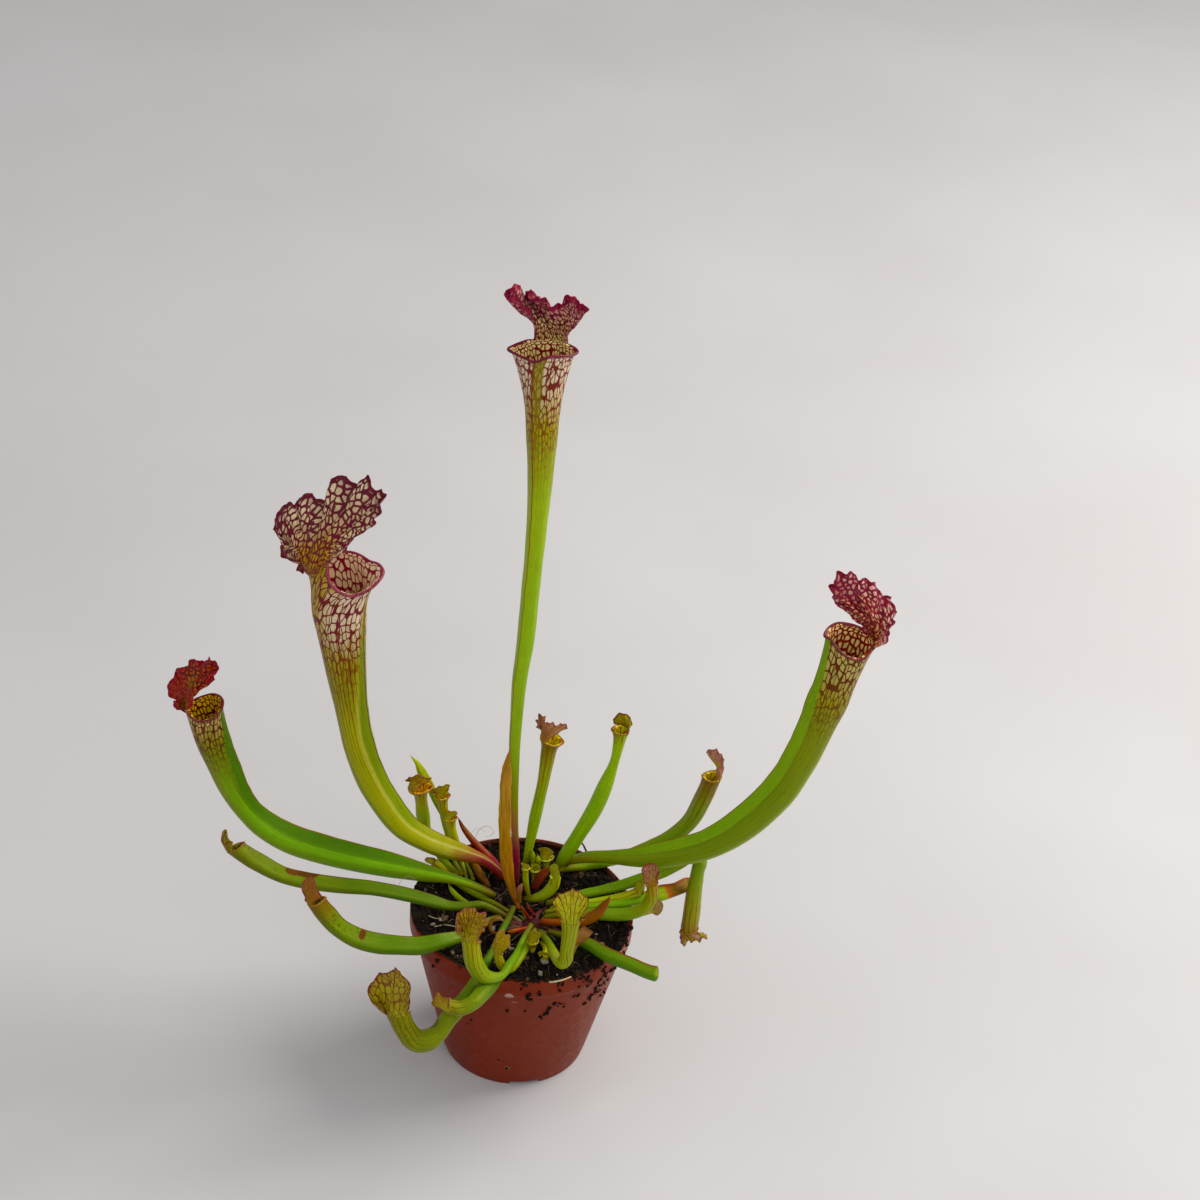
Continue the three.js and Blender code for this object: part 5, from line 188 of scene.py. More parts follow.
  "rows":[[5.29,20.0,70.9,0.61,0.0,0.996,0.048,0.081],[4.88,21.0,75.33,0.92,0.0,0.995,0.049,0.087],[4.63,21.3,77.7,1.22,0.0,0.993,0.051,0.11],[4.44,21.5,79.09,0.71,0.0,0.989,0.053,0.139],[4.35,21.5,79.61,0.16,0.0,0.984,0.045,0.17]],
  "mouth":[],
  "hood":[]},
 {"name":"crown_pitcher_pale","tier":2,"open":0,"kind":"tube","dead":0,"mt":0,"flare":1.05,"spout":0.1,"sa":0,"th":60,
  "rows":[[2.39,5.04,71.0,0.81,0.0,0.966,0.076,0.248],[0.81,6.0,76.87,1.21,0.0,0.982,0.064,0.175],[0.26,7.0,82.26,1.21,0.0,0.996,0.047,0.081],[0.15,7.0,84.34,1.41,0.0,0.998,0.045,0.052]],
  "mouth":[],
  "hood":[[-1.1,6.95,85.29],[-1.58,6.95,86.8],[-0.15,6.95,86.43],[1.26,6.95,86.32],[1.53,6.95,85.05]]},
 {"name":"crown_pitcher_curved","tier":2,"open":0,"kind":"tube","dead":0,"mt":10,"flare":1,"spout":0.1,"sa":0,"th":70,
  "rows":[[0.96,3.77,71.0,0.91,0.0,-0.228,0.581,0.781],[4.95,0.46,74.54,1.59,0.13,-0.361,0.545,0.757],[9.08,0.96,76.76,2.1,0.22,-0.651,0.413,0.637],[11.86,1.97,80.55,2.33,0.26,-0.778,0.578,0.244],[12.6,2.5,84.43,2.12,0.23,-0.749,0.66,0.061]],
  "mouth":[],
  "hood":[[10.17,1.38,87.98],[10.0,1.38,90.81],[11.12,1.38,92.22],[12.74,1.38,91.87],[13.26,1.38,89.86],[14.21,1.38,87.37]]},
 {"name":"crown_bud_pink","tier":2,"open":0,"kind":"blade","dead":0,"mt":0,"flare":1,"spout":0,"sa":0,"th":0,
  "rows":[[-1.09,1.19,71.0,0.73,0.0,-0.988,0.051,-0.149],[-1.65,2.0,74.99,1.03,0.0,-0.998,0.035,-0.056],[-1.41,2.5,77.61,1.24,0.0,-0.981,0.096,0.171],[-0.88,2.5,79.11,1.08,0.0,-0.945,0.165,0.283],[-0.72,2.5,79.91,0.45,0.0,-0.959,0.211,0.192]],
  "mouth":[],
  "hood":[]},
 {"name":"dead_leaf_crown","tier":2,"open":0,"kind":"sheath","dead":1,"mt":0,"flare":1,"spout":0,"sa":0,"th":0,
  "rows":[[4.08,10.25,71.0,1.15,0.0,0.927,-0.198,-0.319],[5.26,12.0,73.35,1.64,0.0,0.9,-0.245,-0.361],[7.04,14.0,75.83,1.75,0.0,0.813,-0.341,-0.472],[8.9,16.0,76.73,1.3,0.0,0.697,-0.485,-0.529],[9.85,17.0,76.79,0.45,0.0,0.682,-0.628,-0.376]],
  "mouth":[],
  "hood":[]},
 {"name":"stem_red_left","tier":2,"open":0,"kind":"blade","dead":0,"mt":0,"flare":1,"spout":0,"sa":0,"th":0,
  "rows":[[3.91,-8.92,71.5,0.72,0.0,0.735,0.476,0.483],[1.18,-3.0,69.81,0.72,0.0,0.743,0.435,0.509],[-0.79,-0.0,70.73,0.64,0.0,0.764,0.332,0.554]],
  "mouth":[],
  "hood":[]},
 {"name":"stem_red_back","tier":2,"open":0,"kind":"blade","dead":0,"mt":0,"flare":1,"spout":0,"sa":0,"th":0,
  "rows":[[5.34,-6.3,71.5,0.6,0.0,0.882,0.471,0.038],[3.06,-2.0,71.13,0.61,0.0,0.855,0.449,0.26],[1.75,-0.0,72.44,0.51,0.0,0.872,0.339,0.354]],
  "mouth":[],
  "hood":[]},
 {"name":"crown_pitcher_front","tier":2,"open":0,"kind":"tube","dead":0,"mt":0,"flare":1,"spout":0.05,"sa":0,"th":65,
  "rows":[[5.81,-28.0,70.8,0.81,0.0,0.981,-0.061,0.183],[5.79,-25.5,71.73,1.59,0.0,0.999,0.019,0.031],[5.65,-25.5,74.45,2.17,0.0,0.996,0.071,0.053]],
  "mouth":[],
  "hood":[[3.6,-25.62,76.04],[3.49,-25.62,78.1],[4.6,-25.62,79.52],[6.33,-25.62,80.22],[8.36,-25.62,79.14],[8.84,-25.62,77.63],[7.94,-25.62,75.98]]},
 {"name":"crown_pitcher_yellow","tier":2,"open":0,"kind":"tube","dead":0,"mt":0,"flare":1,"spout":0.05,"sa":0,"th":65,
  "rows":[[9.08,-22.04,71.0,0.75,0.0,0.85,0.401,0.341],[11.01,-28.0,73.18,1.06,0.0,0.889,0.282,0.362],[11.11,-31.0,72.98,1.29,0.0,0.982,0.02,0.185]],
  "mouth":[],
  "hood":[[9.13,-31.02,71.48],[8.24,-31.02,73.21],[8.97,-31.02,74.33],[10.93,-31.02,74.54],[12.4,-31.02,72.87],[12.32,-31.02,70.77],[10.85,-31.02,68.78],[9.21,-31.02,69.92]]},
 {"name":"stub_red_front","tier":2,"open":0,"kind":"blade","dead":0,"mt":0,"flare":1,"spout":0,"sa":0,"th":0,
  "rows":[[4.06,-13.98,71.3,0.9,0.0,-0.172,0.51,0.843],[0.28,-16.08,71.8,1.0,0.0,-0.201,0.537,0.819],[-3.16,-18.51,72.5,1.0,0.0,-0.193,0.541,0.818],[-4.61,-19.33,72.8,0.79,0.0,-0.128,0.531,0.837]],
  "mouth":[],
  "hood":[]},
 {"name":"dead_curl_left","tier":2,"open":0,"kind":"blade","dead":1,"mt":0,"flare":1,"spout":0,"sa":0,"th":0,
  "rows":[[-8.1,-19.26,70.8,0.71,0.0,0.519,0.352,0.779],[-11.26,-19.47,73.0,0.53,0.0,0.874,0.265,0.407],[-11.19,-17.05,76.0,0.7,0.0,0.866,-0.274,-0.418],[-8.4,-16.51,77.0,0.59,0.0,0.02,-0.57,-0.822],[-6.17,-16.16,75.5,0.36,0.0,-0.436,-0.482,-0.76]],
  "mouth":[],
  "hood":[]},
]


# ------------------------------------------------------------------ helpers
def smooth(x):
    c = np.clip(x, 0.0, 1.0)
    return c * c * (3 - 2 * c)


def unit(v):
    return v / np.maximum(np.linalg.norm(v, axis=-1, keepdims=True), 1e-12)


def lattice(x, y, z, seed):
    """Smooth value noise on a unit lattice, from -1 to 1."""
    xi, yi, zi = np.floor(x).astype(np.int64), np.floor(y).astype(np.int64), np.floor(z).astype(np.int64)
    fx, fy, fz = smooth(x - xi), smooth(y - yi), smooth(z - zi)

    def h(a, b, c):
        n = (a * 73856093) ^ (b * 19349663) ^ (c * 83492791) ^ (seed * 2654435761)
        n = (n ^ (n >> 13)) * 1274126177 & 0x7FFFFFFF
        n = n ^ (n >> 16)
        return (n & 0xFFFFF) / float(0xFFFFF) * 2 - 1

    def mix(a, b, t):
        return a + (b - a) * t

    x0 = mix(mix(h(xi, yi, zi), h(xi + 1, yi, zi), fx), mix(h(xi, yi + 1, zi), h(xi + 1, yi + 1, zi), fx), fy)
    x1 = mix(mix(h(xi, yi, zi + 1), h(xi + 1, yi, zi + 1), fx), mix(h(xi, yi + 1, zi + 1), h(xi + 1, yi + 1, zi + 1), fx), fy)
    return mix(x0, x1, fz)


def fbm(x, y, z, scale, octaves, seed):
    out, amp, total = 0.0, 1.0, 0.0
    for k in range(octaves):
        out = out + amp * lattice(x * scale, y * scale, z * scale, seed + k * 17)
        total += amp
        amp *= 0.5
        scale *= 2.03
    return out / total


class Shell:
    """Collects grids of quads with two UV maps and point attributes, then makes one mesh of them."""

    def __init__(self):
        self.v, self.f, self.n = [], [], 0
        self.uv1, self.uv2, self.mat = [], [], []
        self.attr = {"inner": [], "wing": [], "rim": []}

    def grid(self, P, U1, U2, mat, wrap=False, flip=False, inner=0.0, wing=None, rim=None):
        """P is rows x cols x 3. With wrap, the last column of U1 and U2 closes onto the first column of P."""
        m, n = P.shape[:2]
        start = self.n
        self.v.append(P.reshape(-1, 3))
        self.n += m * n
        for key, val in (("inner", inner), ("wing", wing), ("rim", rim)):
            a = np.zeros((m, n)) if val is None else np.broadcast_to(val, (m, n))
            self.attr[key].append(np.array(a, float).ravel())
        cols = n if wrap else n - 1
        i, j = np.meshgrid(np.arange(m - 1), np.arange(cols), indexing="ij")
        k = (j + 1) % n
        a, b, c, d = start + i * n + j, start + i * n + k, start + (i + 1) * n + k, start + (i + 1) * n + j
        q = np.stack([a, b, c, d], -1).reshape(-1, 4)
        k2 = j + 1
        u1 = np.stack([U1[i, j], U1[i, k2], U1[i + 1, k2], U1[i + 1, j]], -2).reshape(-1, 4, 2)
        u2 = np.stack([U2[i, j], U2[i, k2], U2[i + 1, k2], U2[i + 1, j]], -2).reshape(-1, 4, 2)
        if flip:
            q, u1, u2 = q[:, ::-1], u1[:, ::-1], u2[:, ::-1]
        self.f.append(q)
        self.uv1.append(u1)
        self.uv2.append(u2)
        self.mat.append(np.full(len(q), mat, np.int32))
        return start

    def fan(self, centre, ring_start, count, u1, u2, mat, flip=False, inner=0.0):
        """Closes a wrapped ring onto a centre point."""
        c = self.n
        self.v.append(np.asarray(centre, float).reshape(1, 3))
        self.n += 1
        for key in self.attr:
            self.attr[key].append(np.array([inner if key == "inner" else 0.0]))
        j = np.arange(count)
        k = (j + 1) % count
        q = np.stack([np.full(count, c), ring_start + k, ring_start + j, ring_start + j], -1)
        if flip:
            q = np.stack([np.full(count, c), ring_start + j, ring_start + k, ring_start + k], -1)
        self.f.append(q)
        self.uv1.append(np.broadcast_to(np.array(u1, float), (count, 4, 2)).copy())
        self.uv2.append(np.broadcast_to(np.array(u2, float), (count, 4, 2)).copy())
        self.mat.append(np.full(count, mat, np.int32))

    def make(self, name, materials, merge=0.0):
        V = np.vstack(self.v) * MM
        F = np.vstack(self.f)
        U1, U2, M = np.vstack(self.uv1), np.vstack(self.uv2), np.concatenate(self.mat)
        tri = F[:, 2] == F[:, 3]
        sizes = np.where(tri, 3, 4)
        starts = np.concatenate([[0], np.cumsum(sizes)[:-1]])
        keep = np.ones((len(F), 4), bool)
        keep[tri, 3] = False
        me = bpy.data.meshes.new(name)
        me.vertices.add(len(V))
        me.vertices.foreach_set("co", V.astype(np.float32).ravel())
        me.loops.add(int(sizes.sum()))
        me.loops.foreach_set("vertex_index", F[keep].astype(np.int32))
        me.polygons.add(len(F))
        me.polygons.foreach_set("loop_start", starts.astype(np.int32))
        me.polygons.foreach_set("material_index", M)
        me.polygons.foreach_set("use_smooth", np.ones(len(F), bool))
        for label, U in (("Skin", U1), ("Run", U2)):
            layer = me.uv_layers.new(name=label)
            layer.uv.foreach_set("vector", U[keep].astype(np.float32).ravel())
        for key, parts in self.attr.items():
            a = me.attributes.new(key, "FLOAT", "POINT")
            a.data.foreach_set("value", np.concatenate(parts).astype(np.float32))
        me.update(calc_edges=True)
        me.validate()
        for mat in materials:
            me.materials.append(mat)
        ob = bpy.data.objects.new(name, me)
        bpy.context.scene.collection.objects.link(ob)
        return ob


# ------------------------------------------------------------------ leaves
def stations(leaf, fine, top_fine):
    R = np.array(leaf["rows"], float)
    n = len(R)
    t = np.zeros(n)
    for i in range(1, n):
        t[i] = t[i - 1] + max(np.linalg.norm(R[i, :3] - R[i - 1, :3]), 0.2)
    S = np.array([(R[min(i + 1, n - 1)] - R[max(i - 1, 0)]) / (t[min(i + 1, n - 1)] - t[max(i - 1, 0)]) for i in range(n)])
    V, G, T = [], [], []
    L = t[-1]
    for i in range(n - 1):
        h = t[i + 1] - t[i]
        near = t[i + 1] > L - max(9.0, 0.14 * L)
        k = max(2, int(math.ceil(h / (top_fine if near else fine))))
        u = np.arange(k + (1 if i == n - 2 else 0)) / k
        u2, u3 = u * u, u * u * u
        a, b, c, d = 2 * u3 - 3 * u2 + 1, u3 - 2 * u2 + u, -2 * u3 + 3 * u2, u3 - u2
        V.append(a[:, None] * R[i] + (b * h)[:, None] * S[i] + c[:, None] * R[i + 1] + (d * h)[:, None] * S[i + 1])
        da, db, dd = (6 * u2 - 6 * u) / h, 3 * u2 - 4 * u + 1, 3 * u2 - 2 * u
        g = da[:, None] * R[i] + db[:, None] * S[i] - da[:, None] * R[i + 1] + dd[:, None] * S[i + 1]
        G.append(g[:, :3])
        T.append(t[i] + h * u)
    V, G, T = np.vstack(V), np.vstack(G), np.concatenate(T)
    tan = unit(G)
    N = V[:, 5:8]
    N = unit(N - tan * (N * tan).sum(-1, keepdims=True))
    B = np.cross(tan, N)
    e = smooth((T / L - 0.86) / 0.14) if leaf["kind"] == "tube" else np.zeros(len(T))
    tilt = np.radians(leaf["mt"]) * e
    Nm = N * np.cos(tilt)[:, None] - tan * np.sin(tilt)[:, None]
    return {"c": V[:, :3], "T": tan, "N": Nm, "B": B, "r": np.maximum(0.16, V[:, 3]), "h": np.maximum(0, V[:, 4]), "e": e, "t": T, "L": L}


def mouth_at(leaf, w):
    """Points of the traced rim of a big mouth at the angles w (from the wing side)."""
    M = np.array(leaf["mouth"], float)
    A = np.vstack([M - [360, 0, 0, 0], M, M + [360, 0, 0, 0]])
    S = (A[2:] - A[:-2]) / (A[2:, :1] - A[:-2, :1])
    A = A[1:-1]
    deg = (np.degrees(w) + 180.0) % 360.0 - 180.0
    i = np.clip(np.searchsorted(A[:, 0], deg, side="right") - 1, 0, len(A) - 2)
    h = A[i + 1, 0] - A[i, 0]
    u = ((deg - A[i, 0]) / h)[:, None]
    h = h[:, None]
    out = (2 * u ** 3 - 3 * u ** 2 + 1) * A[i] + (u ** 3 - 2 * u ** 2 + u) * S[i] * h + (3 * u ** 2 - 2 * u ** 3) * A[i + 1] + (u ** 3 - u ** 2) * S[i + 1] * h
    return out[:, 1:]


def ring(leaf, s, w, grow=0.0, wing=True, idx=slice(None)):
    """Points of the rings at the angles w: stations x angles x 3, and the share of the wing at each."""
    c, N, B = s["c"][idx], s["N"][idx], s["B"][idx]
    r, h, e = s["r"][idx][:, None], s["h"][idx][:, None], s["e"][idx][:, None]
    flare = 1 + (leaf["flare"] - 1) * e ** 4
    d = w[None, :] - np.radians(leaf["sa"])
    spout = leaf["spout"] * np.exp(-d * d / 0.16) * e ** 8
    R = r * flare * (1 + spout) + grow
    flat = 0.45 if leaf["kind"] == "sheath" else 1.0
    share = np.maximum(0, 1 - np.abs(w) / 0.9)[None, :] ** 1.5
    blade = h * share if wing else 0.0 * R
    P = c[:, None, :] + N[:, None, :] * (R * np.cos(w)[None, :] + blade)[..., None] + B[:, None, :] * (R * np.sin(w)[None, :] * flat)[..., None]
    if leaf["mouth"]:
        M = mouth_at(leaf, w)
        cen = np.array(leaf["mouth"], float)[:, 1:].mean(0)
        M = M + unit(M - cen) * grow
        b = (e ** 3)[..., None]
        P = P * (1 - b) + M[None] * b
    return P, share * np.minimum(1, h / 0.6)


def rounded(points, closed=False, per=4):
    """A smooth curve through traced points."""
    P = np.asarray(points, float)
    n = len(P)
    out = []
    for i in range(n - 1):
        p0, p1, p2, p3 = P[max(i - 1, 0)], P[i], P[i + 1], P[min(i + 2, n - 1)]
        for k in range(per):
            u = k / per
            m1, m2 = (p2 - p0) * 0.42, (p3 - p1) * 0.42
            out.append((2 * u ** 3 - 3 * u * u + 1) * p1 + (u ** 3 - 2 * u * u + u) * m1 + (-2 * u ** 3 + 3 * u * u) * p2 + (u ** 3 - u * u) * m2)
    out.append(P[-1])
    return np.array(out)


def along(curve, t):
    """Points at the shares t of a curve's length."""
    d = np.concatenate([[0], np.cumsum(np.linalg.norm(np.diff(curve, axis=0), axis=1))])
    x = t * d[-1]
    return np.stack([np.interp(x, d, curve[:, k]) for k in range(3)], -1), d[-1]


def build_leaf(leaf, opt):
    sh = Shell()
    tier = leaf["tier"]
    n = opt.get("sides", (72, 48, 28)[tier])
    s = stations(leaf, opt.get("fine", (1.6, 1.3, 0.9)[tier]), (0.55, 0.5, 0.4)[tier])
    a = -np.pi + 2 * np.pi * np.arange(n) / n
    w = a - 0.45 * np.sin(a)
    wu = np.append(w, np.pi)
    L, kind = s["L"], leaf["kind"]
    r_top = float(np.mean(s["r"][-max(2, len(s["r"]) // 6):])) * (1 + 0.5 * (leaf["flare"] - 1))
    seed = opt["seed"]
    c0 = s["c"]
    # slight unevenness of a grown tube
    lump = 1 + opt.get("lump", 0.02) * lattice(s["t"] * 0.11, s["t"] * 0 + 3.1, s["t"] * 0, seed)
    s["r"] = s["r"] * lump
    crumple = opt.get("crumple", 0.0)
    closed_tip = kind != "tube"
    if closed_tip:
        left = L - s["t"]
        taper = np.sqrt(np.clip(left / opt.get("tip", 3.0), 0.0, 1.0))
        s["r"] = np.maximum(s["r"] * (0.12 + 0.88 * taper), 0.12)
        s["h"] = s["h"] * taper
    P, share = ring(leaf, s, w)
    if crumple:
        Q = P.reshape(-1, 3)
        k = opt.get("crumple_scale", 0.35)
        cd = P - s["c"][:, None, :]
        amt = crumple * (0.35 + 0.65 * (s["t"] / L) ** opt.get("crumple_power", 1.0))[:, None]
        nz = fbm(Q[:, 0], Q[:, 1], Q[:, 2], k, 3, seed).reshape(P.shape[:2])
        ridge = np.sin(w[None, :] * opt.get("folds", 5) + 3 * lattice(s["t"] * 0.3, s["t"] * 0, s["t"] * 0 + 9, seed + 5)[:, None]) * 0.5
        P = P + cd * (amt * (nz + ridge))[..., None]
    m = len(s["t"])
    wavy = opt.get("wavy", 0.12) if not crumple else 0
    if wavy:
        P = P + s["B"][:, None, :] * (share * wavy * (np.sin(s["t"] * 0.45 + seed) + 0.6 * np.sin(s["t"] * 0.93 + 2.1 * seed))[:, None])[..., None]
    U1 = np.stack(np.broadcast_arrays(wu[None, :] * r_top, (L - s["t"])[:, None]), -1)
    U2 = np.stack(np.broadcast_arrays(wu[None, :] / np.pi, (s["t"] / L)[:, None]), -1)
    start = sh.grid(P, U1, U2, 0, wrap=True, wing=share)
    sh.fan(s["c"][0] - s["T"][0] * 0.3, start, n, (0, L), (0, 0), 0)
    last = start + (m - 1) * n
    if closed_tip:
        sh.fan(s["c"][-1] + s["T"][-1] * 0.2, last, n, (0, 0), (0, 1), 0, flip=True)
    else:
        # rolled lip, then the inner wall
        th = np.radians(leaf["th"]) if leaf["hood"] else 0.0
        rho0 = opt.get("lip", (0.5, 0.3, 0.18)[tier])
        side = np.pi - th - np.abs(w)
        back = opt.get("lip_back", 0.3 if tier == 0 else 0.08)
        rho = rho0 * (back + (1 - back) * smooth((side + 0.10) / 0.45)) if leaf["hood"] else np.full(n, rho0)
        droop = opt.get("lip_out", 0.75)
        Tm = np.cross(s["N"][-1], s["B"][-1])
        base = P[-1]
        radial = unit(base - s["c"][-1])
        if leaf["mouth"]:
            cen = base.mean(0)
            tangent = unit(np.roll(base, -1, 0) - np.roll(base, 1, 0))
            rad = base - cen
            rad = unit(rad - tangent * (rad * tangent).sum(-1, keepdims=True))
            up = np.cross(rad, tangent)
            up = unit(up * np.sign((up * s["T"][-1]).sum(-1, keepdims=True)))
            radial, Tm = rad, up
        else:
            Tm = np.broadcast_to(Tm, base.shape)
        wall = min(WALL, 0.42 * float(s["r"][-1]))
        angles = np.radians(np.concatenate([np.linspace(-125, 175, 15)]))
        rows = []
        wobble = opt.get("lip_wave", 0.0) * np.sin(w * 3 + seed)
        for q in angles:
            centre = base + radial * (rho * droop)[:, None] + Tm * (rho * 0.25 + wobble)[:, None]
            rows.append(centre + radial * (rho * np.cos(q))[:, None] + Tm * (rho * np.sin(q))[:, None])
        rows = [base] + rows
        Lp = np.array(rows)
        k = len(rows)
        LU1 = np.stack(np.broadcast_arrays(wu[None, :] * r_top, np.linspace(0, 2.4 * rho0, k)[:, None]), -1)
        LU2 = np.stack(np.broadcast_arrays(wu[None, :] / np.pi, np.linspace(0, 1, k)[:, None]), -1)
        sh.grid(Lp, LU1, LU2, 2, wrap=True)
        depth_share = opt.get("depth", 0.42 if tier == 0 else 0.30)
        floor_r = wall + 0.35
        inner_idx = [i for i in range(m - 1, -1, -1) if L - s["t"][i] <= depth_share * L and s["r"][i] > floor_r]
        idx = np.array(inner_idx[: max(3, len(inner_idx))])
        if len(idx) < 3:
            idx = np.arange(m - 1, m - 4, -1)
        shift = np.full(len(idx), -wall)
        In, _ = ring(leaf, s, w, 0.0, False, idx)
        cen = In.mean(1, keepdims=True) if leaf["mouth"] else s["c"][idx][:, None, :]
        In = cen + (In - cen) * np.maximum(0.25, (1 - wall / s["r"][idx]))[:, None, None]
        IU1 = np.stack(np.broadcast_arrays(wu[None, :] * r_top, (L - s["t"][idx])[:, None]), -1)
        IU2 = np.stack(np.broadcast_arrays(wu[None, :] / np.pi, (s["t"][idx] / L)[:, None]), -1)
        join = np.concatenate([Lp[-1][None], In], 0)
        JU1 = np.concatenate([IU1[:1], IU1], 0)
        JU2 = np.concatenate([IU2[:1], IU2], 0)
        st = sh.grid(join, JU1, JU2, 1, wrap=True, inner=1.0)
        sh.fan(s["c"][idx[-1]], st + len(idx) * n, n, (0, L * depth_share), (0, 0.5), 1, flip=True, inner=1.0)
    if leaf["hood"]:
        build_hood(sh, leaf, s, opt, tier)
    return sh


def build_hood(sh, leaf, s, opt, tier):
    f_idx = slice(-1, None)
    T = s["T"][-1]
    outline = np.array(leaf["hood"], float)
    th = np.radians(leaf["th"])
    cols = opt.get("hood_cols", (200, 72, 36)[tier])
    rows = opt.get("hood_rows", (44, 18, 10)[tier])
    curve = rounded(outline, per=6)
    t = np.linspace(-1, 1, cols + 1)

    thick = opt.get("thick", (0.34, 0.26, 0.2)[tier])
    # the outer face of the hood runs on from the outer face of the tube
    inset = -thick - 0.03

    def arc(sign, tt):
        A, _ = ring(leaf, s, np.pi + sign * tt * th - 2 * np.pi * ((np.pi + sign * tt * th) > np.pi), inset, False, f_idx)
        return A[0] - T * opt.get("root", 0.9)

    ends = np.array([-1.0, 1.0])
    a1, a2 = arc(1, ends), arc(-1, ends)
    same = np.linalg.norm(a1[0] - outline[0]) + np.linalg.norm(a1[1] - outline[-1])
    other = np.linalg.norm(a2[0] - outline[0]) + np.linalg.norm(a2[1] - outline[-1])
    sign = 1 if same <= other else -1
    A = arc(sign, t)
    O, length = along(curve, (t + 1) / 2)
    lid = opt.get("lid")
    if lid:
        # a lid that lies over the mouth and reaches past its front
        wl = -sign * t * (np.pi - th)
        O, _ = ring(leaf, s, wl, 0.0, False, f_idx)
        cen = s["c"][-1]
        O = O[0] + unit(O[0] - cen) * (lid.get("over", 1.2) * (0.5 + 0.5 * (1 - t ** 2)))[:, None] + T * lid.get("lift", 0.5)
        length = float(np.linalg.norm(np.diff(O, axis=0), axis=1).sum())
    v = np.linspace(0, 1, rows + 1) ** 0.9
    D = O - A
    rise = lid.get("dome", 1.3) * (1 - 0.4 * t[:, None] ** 2) if lid else 0.8
    m0 = T[None, :] * (np.linalg.norm(D, axis=1, keepdims=True) * rise) + 0.2 * D
    m1 = 0.8 * D
    u = v[:, None, None]
    P = A * (2 * u ** 3 - 3 * u ** 2 + 1) + m0 * (u ** 3 - 2 * u ** 2 + u) + O * (-2 * u ** 3 + 3 * u ** 2) + m1 * (u ** 3 - u ** 2)
    cup = opt.get("cup", 0.0)
    along_v = np.gradient(P, axis=0)
    along_t = np.gradient(P, axis=1)
    Nn = unit(np.cross(along_v, along_t))
    ref = np.nan_to_num(Nn)
    # the surface normal changes slowly, so it is averaged before it moves anything
    for _ in range(6):
        ref[1:-1] = ref[1:-1] * 0.5 + 0.25 * (ref[:-2] + ref[2:])
        ref[:, 1:-1] = ref[:, 1:-1] * 0.5 + 0.25 * (ref[:, :-2] + ref[:, 2:])
    ref = unit(ref)
    x = (t + 1) / 2 * length
    seed = opt["seed"]
    # flat coordinates, taken before the ruffles: a fan of the hood's middle width, and the distance from the neck
    flat_x = np.linalg.norm(np.diff(P, axis=1), axis=2)
    flat_y = np.concatenate([np.zeros((1, cols + 1)), np.cumsum(np.linalg.norm(np.diff(P, axis=0), axis=2), 0)], 0)
    fan = np.concatenate([[0.0], np.cumsum(flat_x[int(rows * 0.6)])])
    fan = fan - fan[cols // 2]
    wave = opt.get("ruffle", (1.5, 0.5, 0.25)[tier])
    lam = opt.get("ruffle_mm", 7.5)
    phase = 2 * np.pi * x / lam + seed + 1.1 * lattice(x * 0.16, x * 0, x * 0 + 2, seed)
    body = np.sin(phase) + 0.22 * np.sin(phase * 2.1 + 1.3) + 0.3 * lattice(x * 0.3, x * 0, x * 0 + 5, seed)
    fade = np.clip((1 - np.abs(t)) * 8, 0, 1)
    bell = np.sin(np.pi * np.clip(v, 0, 1))[:, None] * np.cos(t * np.pi / 2)[None, :]
    outward = unit(np.gradient(P, axis=0)[-1])
    for _ in range(8):
        outward[1:-1] = outward[1:-1] * 0.5 + 0.25 * (outward[:-2] + outward[2:])
    outward = unit(outward)
    dents = opt.get("dents", (0.22, 0.12, 0.05)[tier])
    rough = fbm(P[..., 0], P[..., 1], P[..., 2], 0.45, 2, seed + 8) * dents * np.minimum(1, v * 2.5)[:, None]
    pucker = opt.get("pucker", 0.0)
    rough = rough + pucker * lattice(P[..., 0] * 0.26, P[..., 1] * 0.26, P[..., 2] * 0.26, seed + 9) * np.minimum(1, v * 2.0)[:, None]
    # the frill curls over along the edge
    curl = opt.get("curl", 0.0)
    roll = curl * np.clip((v - 0.72) / 0.28, 0, 1)[:, None] ** 2 * (0.6 + 0.4 * np.sin(phase * 0.5 + 0.7))[None, :] * fade[None, :]
    P = P + ref * (wave * (v ** opt.get("ruffle_power", 3.4))[:, None] * (body * fade)[None, :] + cup * bell + rough + roll)[..., None]
    # frilled edge: rounded scallops in the plane of the hood
    fr = opt.get("frill", (0.35, 0.10, 0.04)[tier])
    fl = opt.get("frill_mm", 3.4)
    sc = np.abs(np.sin(np.pi * x / fl + seed + 0.8 * lattice(x * 0.25, x * 0, x * 0 + 7, seed)))
    frill = fr * (np.sqrt(sc) - 0.6) + fr * 0.5 * lattice(x * 0.6, x * 0, x * 0, seed + 3)
    P = P + outward[None] * ((v ** 6)[:, None] * (frill * fade)[None, :])[..., None]
    along_v = np.gradient(P, axis=0)
    along_t = np.gradient(P, axis=1)
    Nn = unit(np.nan_to_num(np.cross(along_v, along_t)))
    for _ in range(2):
        Nn[1:-1] = Nn[1:-1] * 0.5 + 0.25 * (Nn[:-2] + Nn[2:])
        Nn[:, 1:-1] = Nn[:, 1:-1] * 0.5 + 0.25 * (Nn[:, :-2] + Nn[:, 2:])
    Nn = unit(Nn)
